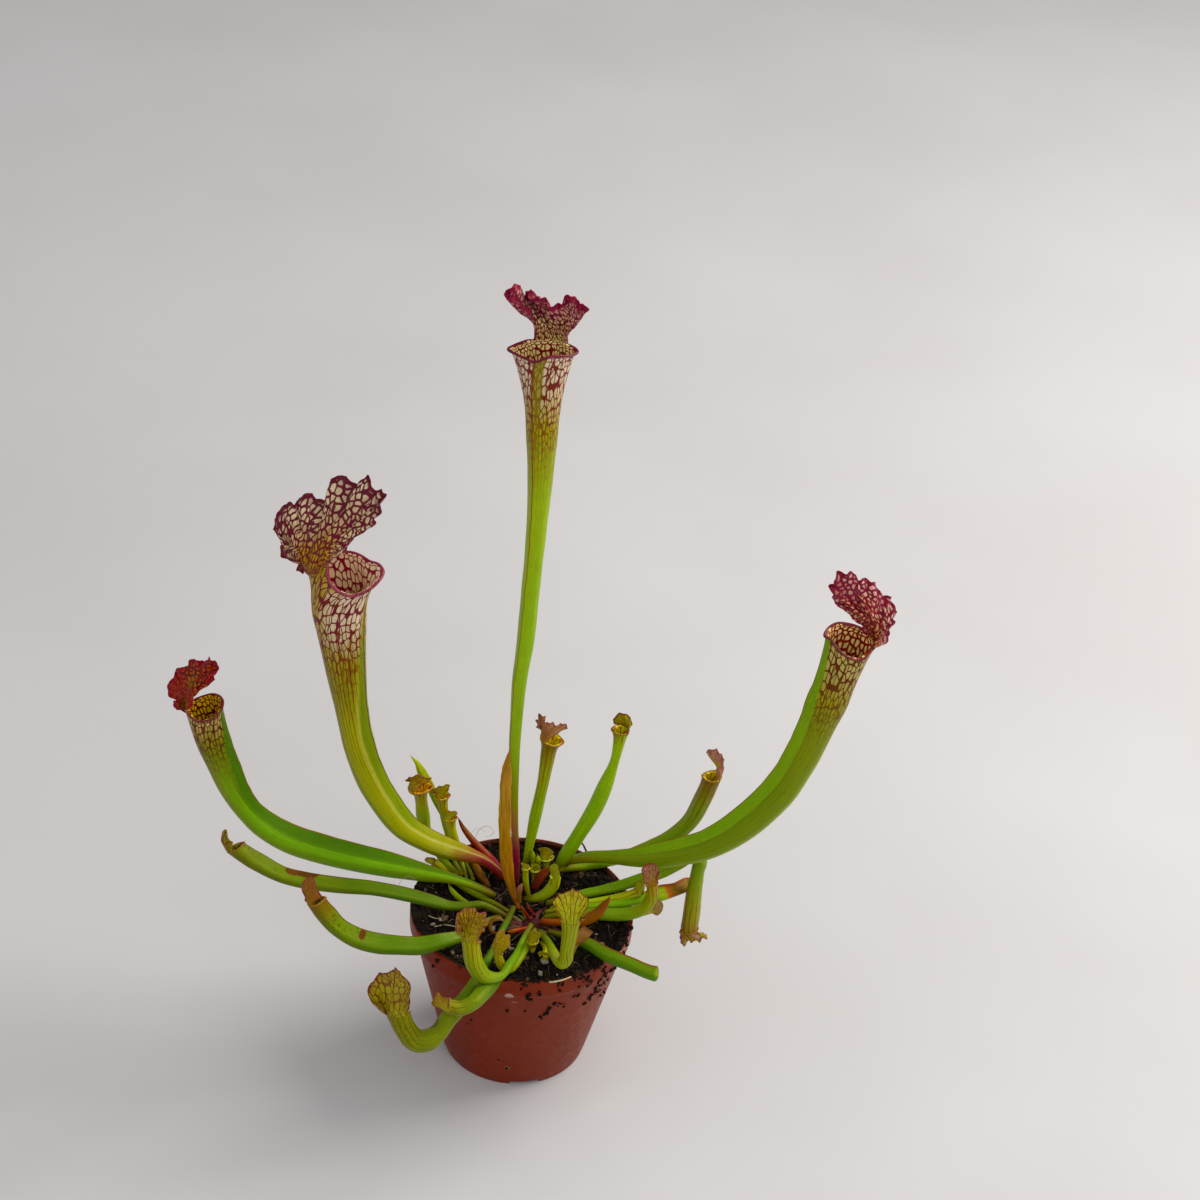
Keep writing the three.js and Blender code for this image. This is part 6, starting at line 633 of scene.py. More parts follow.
    # near the neck the fan is drawn in by less than the hood itself, so the cells there keep some width
    row_width = flat_x.sum(1)
    pull = np.clip(row_width / row_width[int(rows * 0.6)], 0.05, 3.0) ** opt.get("fan_power", 0.6)
    X = fan[None, :] * pull[:, None]
    Y = flat_y
    side = np.concatenate([np.zeros((rows + 1, 1)), np.cumsum(flat_x, 1)], 1)
    edge = np.minimum(Y[-1][None, :] - Y, np.minimum(side, side[:, -1:] - side) + 3.0 * (1 - np.minimum(1, v * 3))[:, None])
    half = thick * (0.45 + 0.55 * smooth(edge / 2.5))
    U1 = np.stack([X, -Y], -1)
    U2 = np.stack(np.broadcast_arrays(t[None, :], v[:, None]), -1)
    front = P + Nn * half[..., None]
    back = P - Nn * half[..., None]
    neck = s["c"][-1] + s["T"][-1] * (-6 if lid else 6)
    facing = float(((neck[None] - P[rows // 2]) * Nn[rows // 2]).sum(-1).mean())
    fi, bi = (1.0, 0.0) if facing > 0 else (0.0, 1.0)
    sh.grid(front, U1, U2, 3, inner=fi, rim=edge)
    sh.grid(back, U1, U2, 3, flip=True, inner=bi, rim=edge)
    # the border strip round the free edge, rounded by one middle line
    i = np.concatenate([np.arange(0, rows), np.full(cols, rows), np.arange(rows, -1, -1)])
    j = np.concatenate([np.zeros(rows, int), np.arange(0, cols), np.full(rows + 1, cols)])
    ef, eb, em = front[i, j], back[i, j], P[i, j]
    out = np.zeros_like(em)
    tangent = unit(np.gradient(em, axis=0))
    out = unit(np.cross(tangent, Nn[i, j]))
    inside = P[np.clip(i - 1, 0, rows), np.clip(j + np.where(j == 0, 1, np.where(j == cols, -1, 0)), 0, cols)]
    flipout = np.sign(((em - inside) * out).sum(-1, keepdims=True))
    out = out * np.where(flipout == 0, 1, flipout)
    em = em + out * (half[i, j] * 0.7)[:, None]
    S = np.stack([ef, em, eb], 0)
    SU1 = np.stack([U1[i, j]] * 3, 0)
    SU2 = np.stack([U2[i, j]] * 3, 0)
    sh.grid(S, SU1, SU2, 3, inner=0.5, rim=0.0)


# ------------------------------------------------------------------ materials
VALUE = 1.0  # brightness of everything grown


def C(code, alpha=1.0):
    """A colour from its screen value, made linear."""
    code = code.lstrip("#")
    out = []
    for k in (0, 2, 4):
        x = int(code[k : k + 2], 16) / 255
        out.append(x / 12.92 if x <= 0.04045 else ((x + 0.055) / 1.055) ** 2.4)
    return (*out, alpha)


class Tree:
    def __init__(self, name, rough=0.45):
        self.mat = bpy.data.materials.new(name)
        self.mat.use_nodes = True
        self.t = self.mat.node_tree
        self.t.nodes.clear()
        self.out = self.t.nodes.new("ShaderNodeOutputMaterial")
        self.b = self.t.nodes.new("ShaderNodeBsdfPrincipled")
        self.b.inputs["Roughness"].default_value = rough
        self.t.links.new(self.b.outputs[0], self.out.inputs[0])

    def put(self, socket, value):
        if isinstance(value, bpy.types.NodeSocket):
            self.t.links.new(value, socket)
        elif isinstance(value, tuple) and len(value) == 3 and socket.type == "RGBA":
            socket.default_value = (*value, 1)
        else:
            socket.default_value = value

    def math(self, op, a, b=0.0, c=0.0, clamp=False):
        n = self.t.nodes.new("ShaderNodeMath")
        n.operation = op
        n.use_clamp = clamp
        self.put(n.inputs[0], a)
        self.put(n.inputs[1], b)
        if len(n.inputs) > 2:
            self.put(n.inputs[2], c)
        return n.outputs[0]

    def mix(self, fac, a, b, blend="MIX"):
        n = self.t.nodes.new("ShaderNodeMix")
        n.data_type = "RGBA"
        n.blend_type = blend
        n.clamp_factor = True
        self.put(n.inputs[0], fac)
        self.put(n.inputs[6], a)
        self.put(n.inputs[7], b)
        return n.outputs[2]

    def step(self, x, a, b, c=0.0, d=1.0):
        n = self.t.nodes.new("ShaderNodeMapRange")
        n.interpolation_type = "SMOOTHSTEP"
        n.clamp = True
        self.put(n.inputs[0], x)
        for k, val in ((1, a), (2, b), (3, c), (4, d)):
            self.put(n.inputs[k], val)
        return n.outputs[0]

    def line(self, x, a, b, c=0.0, d=1.0):
        n = self.t.nodes.new("ShaderNodeMapRange")
        n.clamp = True
        self.put(n.inputs[0], x)
        for k, val in ((1, a), (2, b), (3, c), (4, d)):
            self.put(n.inputs[k], val)
        return n.outputs[0]

    def ramp(self, x, stops):
        n = self.t.nodes.new("ShaderNodeValToRGB")
        n.color_ramp.interpolation = "EASE"
        el = n.color_ramp.elements
        while len(el) > 1:
            el.remove(el[-1])
        el[0].position, el[0].color = stops[0][0], C(stops[0][1])
        for p, c in stops[1:]:
            e = el.new(min(1.0, p))
            e.color = C(c)
        self.put(n.inputs[0], x)
        return n.outputs[0]

    def uv(self, name):
        n = self.t.nodes.new("ShaderNodeUVMap")
        n.uv_map = name
        s = self.t.nodes.new("ShaderNodeSeparateXYZ")
        self.t.links.new(n.outputs[0], s.inputs[0])
        return s.outputs[0], s.outputs[1]

    def attr(self, name):
        n = self.t.nodes.new("ShaderNodeAttribute")
        n.attribute_name = name
        return n.outputs["Fac"]

    def place(self, scale=1000.0):
        """Object coordinates in millimetres."""
        n = self.t.nodes.new("ShaderNodeTexCoord")
        v = self.t.nodes.new("ShaderNodeVectorMath")
        v.operation = "SCALE"
        self.t.links.new(n.outputs["Object"], v.inputs[0])
        v.inputs["Scale"].default_value = scale
        return v.outputs[0]

    def vec(self, x, y, z=0.0):
        n = self.t.nodes.new("ShaderNodeCombineXYZ")
        for k, val in enumerate((x, y, z)):
            self.put(n.inputs[k], val)
        return n.outputs[0]

    def add(self, a, b):
        n = self.t.nodes.new("ShaderNodeVectorMath")
        n.operation = "ADD"
        self.put(n.inputs[0], a)
        self.put(n.inputs[1], b)
        return n.outputs[0]

    def scaled(self, v, k):
        n = self.t.nodes.new("ShaderNodeVectorMath")
        n.operation = "SCALE"
        self.put(n.inputs[0], v)
        self.put(n.inputs["Scale"], k)
        return n.outputs[0]

    def noise(self, v, scale=1.0, detail=2.0, rough=0.5, colour=False):
        n = self.t.nodes.new("ShaderNodeTexNoise")
        self.put(n.inputs["Vector"], v)
        n.inputs["Scale"].default_value = scale
        n.inputs["Detail"].default_value = detail
        n.inputs["Roughness"].default_value = rough
        return n.outputs["Color"] if colour else n.outputs["Fac"]

    def cells(self, v, scale=1.0, feature="DISTANCE_TO_EDGE", rand=1.0, dims="2D"):
        n = self.t.nodes.new("ShaderNodeTexVoronoi")
        n.voronoi_dimensions = dims
        n.feature = feature
        self.put(n.inputs["Vector"], v)
        n.inputs["Scale"].default_value = scale
        n.inputs["Randomness"].default_value = rand
        return n

    def bump(self, height, strength=0.3, distance=0.0003, normal=None):
        n = self.t.nodes.new("ShaderNodeBump")
        n.inputs["Strength"].default_value = strength
        n.inputs["Distance"].default_value = distance
        self.put(n.inputs["Height"], height)
        if normal is not None:
            self.put(n.inputs["Normal"], normal)
        return n.outputs[0]

    def panes(self, co, th, rand=0.8, radius=0.62):
        """Rounded cells of a net: 1 inside a cell, 0 on the veins between them."""
        edge = self.cells(co, 1.0, rand=rand).outputs["Distance"]
        mid = self.cells(co, 1.0, "F1", rand).outputs["Distance"]
        a = self.step(edge, self.math("MULTIPLY", th, 0.55), self.math("MULTIPLY", th, 1.5))
        b = self.step(mid, radius, radius * 0.78)
        return self.math("MULTIPLY", a, b)

    def vivid(self, colour, sat=1.25, val=1.0):
        n = self.t.nodes.new("ShaderNodeHueSaturation")
        n.inputs["Saturation"].default_value = sat
        n.inputs["Value"].default_value = val
        self.put(n.inputs["Color"], colour)
        return n.outputs[0]

    def finish(self, colour, rough=None, normal=None, tint=None):
        if tint:
            self.b.inputs["Specular Tint"].default_value = tint
        self.put(self.b.inputs["Base Color"], colour)
        if rough is not None:
            self.put(self.b.inputs["Roughness"], rough)
        if normal is not None:
            self.put(self.b.inputs["Normal"], normal)
        return self.mat


def shifted(t, x, y, cx, cy, seed, jitter=0.35, freq=0.35):
    """Texture coordinates with cells cx by cy millimetres, gently bent so that the veins waver."""
    base = t.vec(t.math("MULTIPLY", x, 1.0 / cx), t.math("MULTIPLY", y, 1.0 / cy), float(seed))
    bend = t.noise(t.vec(x, t.math("MULTIPLY", y, 0.6), float(seed) + 3.3), freq, 2, 0.5, colour=True)
    n = t.t.nodes.new("ShaderNodeVectorMath")
    n.operation = "MULTIPLY_ADD"
    t.put(n.inputs[0], bend)
    n.inputs[1].default_value = (2 * jitter, 2 * jitter, 0)
    n.inputs[2].default_value = (-jitter, -jitter, 0)
    return t.add(base, n.outputs[0])


def skin(name, k, seed, part):
    """The wall of a leaf. The argument part is not used."""
    t = Tree(name, k.get("rough", 0.42))
    x, y = t.uv("Skin")
    q, s = t.uv("Run")
    wing = t.attr("wing")
    mm = t.place()
    large = t.noise(mm, 0.06, 3, 0.55)
    fine = t.noise(mm, 0.9, 3, 0.6)
    sway = t.math("ADD", s, t.math("MULTIPLY", t.math("SUBTRACT", large, 0.5), k.get("sway", 0.10)))
    col = t.ramp(sway, k["run"])
    front = t.math("ABSOLUTE", q)
    if k.get("back"):
        fac = t.step(t.math("ADD", front, t.math("MULTIPLY", t.math("SUBTRACT", large, 0.5), k.get("back_wob", 0.25))), *k.get("back_q", (0.35, 0.7)))
        col = t.mix(fac, col, t.ramp(sway, k["back"]))
    for b in k.get("bands", []):
        # lengthwise bands of another green: q is the share of the way round from the wing
        place = t.math("ADD", front, t.math("MULTIPLY", t.math("SUBTRACT", large, 0.5), b.get("wob", 0.04)))
        soft = b.get("soft", 0.05)
        fac = t.math("MULTIPLY", t.step(place, b["q0"] - soft, b["q0"] + soft), t.step(place, b["q1"] + soft, b["q1"] - soft, 0.0, b.get("amount", 0.7)))
        fac = t.math("MULTIPLY", fac, t.step(y, b.get("y0", -9.0), b.get("y1", -5.0)))
        col = t.mix(fac, col, C(b["col"]))
    # fine streaks along the leaf
    streak = t.noise(t.vec(t.math("MULTIPLY", x, 2.2), t.math("MULTIPLY", y, 0.05), float(seed)), 1.0, 3, 0.6)
    amount = k.get("streak", 0.22)
    col = t.mix(t.step(streak, 0.35, 0.75, 0.0, amount), col, C(k.get("streak_dark", "#56701a")))
    col = t.mix(t.step(streak, 0.6, 0.2, 0.0, amount * 0.8), col, C(k.get("streak_light", "#c9cf4a")))
    vein_height = t.math("MULTIPLY", streak, 0.5)
    # long veins that fade down the tube
    v = k.get("veins")
    if v:
        wave = t.math("ADD", t.math("MULTIPLY", q, v["n"] / 2.0), t.math("MULTIPLY", t.math("SUBTRACT", t.noise(t.vec(t.math("MULTIPLY", x, 0.35), t.math("MULTIPLY", y, 0.10), float(seed) + 7), 1.0, 2, 0.5), 0.5), v.get("waver", 0.9)))
        saw = t.math("ABSOLUTE", t.math("SUBTRACT", t.math("FRACT", wave), 0.5))
        thin = t.step(y, v["y0"], v["y1"], v.get("w0", 0.16), v.get("w1", 0.02))
        line = t.step(saw, t.math("MULTIPLY", thin, 0.45), thin, 1.0, 0.0)
        broken = t.noise(t.vec(t.math("MULTIPLY", x, 1.1), t.math("MULTIPLY", y, 0.22), float(seed) + 11), 1.0, 2, 0.5)
        reach = t.math("MULTIPLY", t.step(t.math("ADD", y, t.math("MULTIPLY", t.math("SUBTRACT", broken, 0.5), v.get("ragged", 30.0))), v["y1"], v["y0"]), v.get("amount", 0.85))
        line = t.math("MULTIPLY", line, reach)
        col = t.mix(line, col, C(v["col"]))
    # the net of veins round pale windows below the mouth
    w = k.get("net")
    if w:
        # the windows draw out in length as they go down the tube
        grow = w.get("grow", 60.0)
        reach_y = t.math("MULTIPLY", t.math("LOGARITHM", t.math("ADD", t.math("DIVIDE", t.math("MAXIMUM", y, 0.0), grow), 1.0), math.e), grow)
        co = shifted(t, x, reach_y, w["cx"], w["cy"], seed, w.get("jitter", 0.18), 0.3)
        th = t.line(y, w["y0"], w["y1"], w["th0"], w["th1"])
        pane = t.panes(co, th, w.get("rand", 0.75), w.get("radius", 0.60))
        bend = t.math("MULTIPLY", t.math("SUBTRACT", t.noise(t.vec(t.math("MULTIPLY", x, 0.35), t.math("MULTIPLY", y, 0.10), float(seed) + 7), 1.0, 2, 0.5), 0.5), 0.9)
        if v:
            # the long veins run on between the windows
            main = t.math("ABSOLUTE", t.math("SUBTRACT", t.math("FRACT", t.math("ADD", t.math("MULTIPLY", q, v["n"] / 4.0), bend)), 0.5))
            pane = t.math("MULTIPLY", pane, t.step(main, w.get("main", 0.045), w.get("main", 0.045) * 2.4))
        wob = t.noise(t.vec(t.math("MULTIPLY", x, 0.5), t.math("MULTIPLY", y, 0.18), float(seed) + 5), 1.0, 2, 0.5)
        yy = t.math("ADD", y, t.math("MULTIPLY", t.math("SUBTRACT", wob, 0.5), w.get("ragged", 8.0)))
        region = t.step(yy, w["y1"], w["y0"])
        if "side" in w:
            # less of the net on the back or the wing side
            region = t.math("MULTIPLY", region, t.step(front, *w["side"]))
        panecol = t.mix(t.step(yy, w["y0"] * 0.35, w["y1"] * 0.9), C(w["win"]), C(w.get("win2", w["win"])))
        if "dorsal" in w:
            # the side away from the wing is greener
            turn = t.math("ADD", front, t.math("MULTIPLY", t.math("SUBTRACT", wob, 0.5), 0.3))
            panecol = t.mix(t.step(turn, 0.42, 0.70, 0.0, 0.85), panecol, C(w["dorsal"]))
        panecol = t.mix(t.step(fine, 0.3, 0.8, 0.0, 0.25), panecol, C(w.get("vein")))
        veincol = t.mix(t.step(yy, w["y0"] * 0.5, w["y1"]), C(w["vein"]), C(w.get("vein2", w["vein"])))
        # far down only the veins are left, on the leaf's own colour
        pane_reach = t.step(yy, w.get("p1", w["y1"]), w.get("p0", w["y0"]))
        inside = t.mix(pane_reach, col, panecol)
        net = t.mix(pane, veincol, inside)
        col = t.mix(region, col, net)
        vein_height = t.math("ADD", vein_height, t.math("MULTIPLY", t.math("MULTIPLY", t.math("SUBTRACT", 1.0, pane), region), 1.2))
    if k.get("band"):
        b = k["band"]
        fac = t.math("MULTIPLY", t.step(t.math("ABSOLUTE", t.math("SUBTRACT", q, b["q"])), b["w"], b["w"] * 0.5), t.step(y, b["y1"], b["y0"], 0.0, b.get("amount", 1.0)))
        col = t.mix(fac, col, C(b["col"]))
    # the wing and its coloured margin
    g = k.get("wing")
    if g:
        if g.get("col"):
            qa, qb, ya, yb = g.get("q", (0.12, 0.18, 10.0, 50.0))
            rim = t.math("ADD", t.line(y, ya, yb, qa, qb), t.math("MULTIPLY", t.math("SUBTRACT", large, 0.5), 0.05))
            away = t.math("SUBTRACT", front, rim)
            shade = t.mix(t.step(streak, 0.35, 0.7, 0.0, 0.3), t.ramp(s, g["col"]), C(g.get("streak", "#3c5c08")))
            col = t.mix(t.step(away, 0.022, -0.022, 0.0, g.get("amount", 0.8)), col, shade)
            # along the join of wing and tube a thin line is painted: painted shade where its colour is dark, a painted
            # highlight where it is pale
            if g.get("painted_crease_light"):
                near = t.step(t.math("ABSOLUTE", t.math("SUBTRACT", away, 0.02)), g.get("crease_w", 0.05), 0.0, 0.0, g.get("crease_amount", 0.6))
                col = t.mix(t.math("MULTIPLY", near, t.step(y, ya, yb)), col, C(g["painted_crease_light"]))
        if g.get("edge"):
            col = t.mix(t.step(wing, g.get("e0", 0.72), g.get("e1", 0.9), 0.0, g.get("edge_amount", 0.9)), col, t.ramp(s, g["edge"]))
    for m in k.get("marks", []):
        # a burnt or bruised patch: x, y in the leaf's own coordinates, in millimetres
        dx = t.math("DIVIDE", t.math("SUBTRACT", x, m["x"]), m["rx"])
        dy = t.math("DIVIDE", t.math("SUBTRACT", y, m["y"]), m["ry"])
        d = t.math("SQRT", t.math("ADD", t.math("MULTIPLY", dx, dx), t.math("MULTIPLY", dy, dy)))
        d = t.math("ADD", d, t.math("MULTIPLY", t.math("SUBTRACT", t.noise(mm, 0.5, 3, 0.6), 0.5), m.get("rag", 0.6)))
        if m.get("ring"):
            col = t.mix(t.step(d, 1.25, 0.95), col, C(m["ring"]))
        col = t.mix(t.step(d, 1.0, 0.75, 0.0, m.get("amount", 1.0)), col, C(m["col"]))
    for ln in k.get("ridges", []):
        off = t.math("ABSOLUTE", t.math("SUBTRACT", t.math("ADD", front, t.math("MULTIPLY", t.math("SUBTRACT", large, 0.5), 0.03)), ln["q"]))
        col = t.mix(t.math("MULTIPLY", t.step(off, ln["w"], ln["w"] * 0.4, 0.0, ln.get("amount", 0.8)), t.step(y, ln.get("y0", 20.0), ln.get("y0", 20.0) + 20.0)), col, C(ln["col"]))
    # the base is browner and older
    if k.get("base", "#5f4a14"):
        low = t.math("ADD", t.math("SUBTRACT", k["length"], y), t.math("MULTIPLY", t.math("SUBTRACT", large, 0.5), 10.0))
        col = t.mix(t.step(low, k.get("base_mm", 15.0), 2.0, 0.0, k.get("base_amount", 0.65)), col, C(k.get("base", "#5f4a14")))
    # specks and hue changes
    col = t.mix(t.step(t.noise(mm, 0.22, 4, 0.6), 0.45, 0.75, 0.0, k.get("blotch", 0.18)), col, C(k.get("blotch_col", "#6f7c1c")))
    if k.get("speck"):
        sp = t.cells(t.vec(x, y, float(seed)), k.get("speck_scale", 0.55), "F1", 1.0)
        size = t.math("MULTIPLY", t.step(large, 0.42, 0.66), 0.17)
        col = t.mix(t.math("MULTIPLY", t.math("LESS_THAN", sp.outputs["Distance"], size), k["speck"]), col, C(k.get("speck_col", "#3c2c10")))
    col = t.mix(t.step(fine, 0.25, 0.8, 0.0, 0.12), col, C("#2a2a10"))
    rough = t.step(fine, 0.2, 0.8, k.get("rough", 0.42) - 0.08, k.get("rough", 0.42) + 0.10)
    n1 = t.bump(vein_height, k.get("relief", 0.55), 0.0004)
    n2 = t.bump(t.noise(mm, 2.6, 2, 0.6), 0.12, 0.0002, n1)
    t.b.inputs["Specular IOR Level"].default_value = k.get("spec", 0.30)
    # val scales the whole colour; on some low leaves it darkens them as painted shade, and on one it lightens it as
    # painted light
    col = t.vivid(col, k.get("sat", 1.22), k.get("val", VALUE))
    return t.finish(col, rough, n2, (1.0, 0.95, 0.22, 1.0))


def hood_skin(name, k, seed):
    # k: the look of the hood
    t = Tree(name, k.get("rough", 0.42))
    x, y = t.uv("Skin")
    tt, v = t.uv("Run")
    inner = t.attr("inner")
    rim = t.attr("rim")
    mm = t.place()
    fine = t.noise(mm, 0.9, 3, 0.6)
    large = t.noise(mm, 0.12, 3, 0.6)
    dist = t.math("MULTIPLY", y, -1.0)
    # cells run out from the neck in a fan
    co = shifted(t, x, dist, k["cx"], k["cy"], seed, k.get("jitter", 0.3), 0.3)
    th = t.line(v, 0.0, 1.0, k["th0"], k["th1"])
    pane = t.panes(co, th, k.get("rand", 0.85), k.get("radius", 0.66))
    warp = t.math("MULTIPLY", t.math("SUBTRACT", t.noise(t.vec(t.math("MULTIPLY", x, 0.25), t.math("MULTIPLY", dist, 0.12), float(seed)), 1.0, 2, 0.5), 0.5), k.get("warp", 0.9))
    # stout ribs that fan out from the neck
    ribs = t.math("ADD", t.math("MULTIPLY", tt, k.get("ribs", 6.0)), warp)
    saw = t.math("ABSOLUTE", t.math("SUBTRACT", t.math("FRACT", ribs), 0.5))
    rib = t.step(saw, t.line(v, 0.0, 1.0, k.get("rib0", 0.16), k.get("rib1", 0.03)), 0.0)
    rib = t.math("MULTIPLY", rib, t.step(v, 1.0, 0.55, 0.25, 1.0))
    pane = t.math("MULTIPLY", pane, t.step(rib, 0.15, 0.6, 1.0, 0.0))
    small = t.cells(shifted(t, x, dist, k["cx"] * 0.42, k["cy"] * 0.42, seed + 9, 0.3, 0.5), 1.0, rand=0.9)
    cross = t.step(small.outputs["Distance"], 0.05, 0.12)
    pane = t.math("MULTIPLY", pane, t.step(cross, 0.0, 1.0, 1.0 - k.get("minor", 0.3), 1.0))
    if k.get("lines"):
        # small hoods have long thin veins that fork, with faint cross veins between them
        a = t.math("ADD", t.math("MULTIPLY", tt, k["lines"] / 2.0), t.math("MULTIPLY", warp, 0.6))
        sa = t.math("ABSOLUTE", t.math("SUBTRACT", t.math("FRACT", a), 0.5))
        main = t.step(sa, t.line(v, 0.0, 1.0, k.get("lw0", 0.12), k.get("lw1", 0.05)), 0.0)
        b2 = t.math("ADD", t.math("MULTIPLY", tt, k["lines"]), t.math("ADD", t.math("MULTIPLY", warp, 0.9), 0.5))
        sb = t.math("ABSOLUTE", t.math("SUBTRACT", t.math("FRACT", b2), 0.5))
        fork = t.math("MULTIPLY", t.step(sb, k.get("lw1", 0.05) * 1.5, 0.0), t.step(v, 0.35, 0.62))
        cross2 = t.math("MULTIPLY", t.math("SUBTRACT", 1.0, pane), k.get("cross", 0.35))
        vein = t.math("MAXIMUM", t.step(t.math("MAXIMUM", main, fork), 0.25, 0.75), cross2)
        pane = t.math("SUBTRACT", 1.0, vein)
    out_win = t.ramp(v, k["win"])
    out_vein = t.ramp(v, k["vein"])
    if k.get("win_in"):
        out_win = t.mix(inner, out_win, t.ramp(v, k["win_in"]))
    if k.get("vein_in"):
        out_vein = t.mix(inner, out_vein, t.ramp(v, k["vein_in"]))
    out_win = t.mix(t.step(large, 0.35, 0.7, 0.0, 0.35), out_win, out_vein)
    col = t.mix(pane, out_vein, out_win)
    if k.get("rib_col"):
        col = t.mix(t.math("MULTIPLY", t.step(t.math("ABSOLUTE", tt), k.get("mid", 0.10), 0.02), t.step(v, 0.8, 0.3)), col, C(k["rib_col"]))
    edge = t.step(rim, k.get("edge1", 1.3), k.get("edge0", 0.5))
    col = t.mix(t.math("MULTIPLY", edge, k.get("edge_amount", 0.95)), col, C(k["edge"]))
    if k.get("flush"):
        col = t.mix(t.math("MULTIPLY", t.step(t.noise(mm, k.get("flush_scale", 0.16), 2, 0.5), 0.42, 0.62), k.get("flush_amount", 0.5)), col, C(k["flush"]))
    col = t.mix(t.step(fine, 0.3, 0.8, 0.0, 0.15), col, C(k.get("grit", "#2a0a14")))
    height = t.math("ADD", t.math("SUBTRACT", 1.0, pane), t.math("MULTIPLY", fine, 0.3))
    n1 = t.bump(height, k.get("relief", 0.4), 0.0005)
    rough = t.step(pane, 0.0, 1.0, k.get("rough", 0.42) - 0.06, k.get("rough", 0.42) + 0.08)
    t.b.inputs["Specular IOR Level"].default_value = 0.30
    col = t.vivid(col, k.get("sat", 1.2), k.get("val", VALUE))
    return t.finish(col, rough, n1, (1.0, 0.8, 0.45, 1.0))


def lip_skin(name, k, seed):
    t = Tree(name, 0.35)
    x, y = t.uv("Skin")
    mm = t.place()
    a = t.noise(t.vec(t.math("MULTIPLY", x, 0.8), t.math("MULTIPLY", y, 0.8), float(seed)), 1.0, 3, 0.6)
    col = t.mix(t.step(a, 0.3, 0.7), C(k["a"]), C(k["b"]))
    col = t.mix(t.step(t.noise(mm, 0.25, 2, 0.5), 0.4, 0.65, 0.0, k.get("c_amount", 0.5)), col, C(k.get("c", k["a"])))
    ring_lines = t.noise(t.vec(t.math("MULTIPLY", x, 3.0), t.math("MULTIPLY", y, 0.4), float(seed)), 1.0, 2, 0.5)
    t.b.inputs["Specular IOR Level"].default_value = 0.4
    col = t.vivid(col, 1.15, VALUE)
    return t.finish(col, t.step(a, 0.2, 0.8, 0.30, 0.48), t.bump(ring_lines, 0.25, 0.0002), (1.0, 0.8, 0.7, 1.0))


def dry_skin(name, k, seed):
    """A dead leaf: fibrous, folded, in browns."""
    t = Tree(name, 0.8)
    x, y = t.uv("Skin")
    q, s = t.uv("Run")
    mm = t.place()
    large = t.noise(mm, 0.14, 3, 0.6)
    fibre = t.noise(t.vec(t.math("MULTIPLY", x, 3.2), t.math("MULTIPLY", y, 0.09), float(seed)), 1.0, 4, 0.65)
    col = t.ramp(t.math("ADD", s, t.math("MULTIPLY", t.math("SUBTRACT", large, 0.5), k.get("sway", 0.25))), k["run"])
    if k.get("back"):
        col = t.mix(t.step(t.math("ADD", q, t.math("MULTIPLY", t.math("SUBTRACT", large, 0.5), 0.2)), *k.get("q", (-0.05, 0.05))), col, t.ramp(s, k["back"]))
    col = t.mix(t.step(fibre, 0.4, 0.7, 0.0, 0.5), col, C(k.get("dark", "#4a2410")))
    col = t.mix(t.step(fibre, 0.45, 0.2, 0.0, 0.4), col, C(k.get("light", "#d8b070")))
    if k.get("net"):
        d = t.cells(shifted(t, x, y, 1.6, 2.6, seed), 1.0, rand=0.8).outputs["Distance"]
        col = t.mix(t.math("MULTIPLY", t.step(d, 0.16, 0.05), t.step(y, k["net"], k["net"] * 0.4)), col, C(k.get("net_col", "#5a2416")))
    n1 = t.bump(fibre, 0.6, 0.0005)
    n2 = t.bump(t.noise(mm, 1.4, 4, 0.65), 0.35, 0.0004, n1)
    t.b.inputs["Specular IOR Level"].default_value = 0.2
    col = t.vivid(col, 1.15, VALUE)
    return t.finish(col, t.step(fibre, 0.2, 0.8, 0.65, 0.9), n2, (1.0, 0.8, 0.5, 1.0))


# ------------------------------------------------------------------ how each leaf looks
GREEN = [(0, "#8a7a34"), (0.08, "#84983a"), (0.3, "#5f9c22"), (0.65, "#62a01c"), (1, "#83aa22")]
LIME = [(0, "#93a03c"), (0.15, "#8eb43a"), (0.5, "#84b828"), (0.85, "#98bf22"), (1, "#a8b52a")]
YELLOW = [(0, "#8f9c38"), (0.25, "#8fae2e"), (0.6, "#a3b82a"), (1, "#b3b434")]
RED_EDGE = [(0, "#8a4a2c"), (0.3, "#8f4a26"), (0.8, "#a03a20"), (1, "#8a3424")]

LOOKS = {}


def look(name, **k):
    LOOKS[name] = k


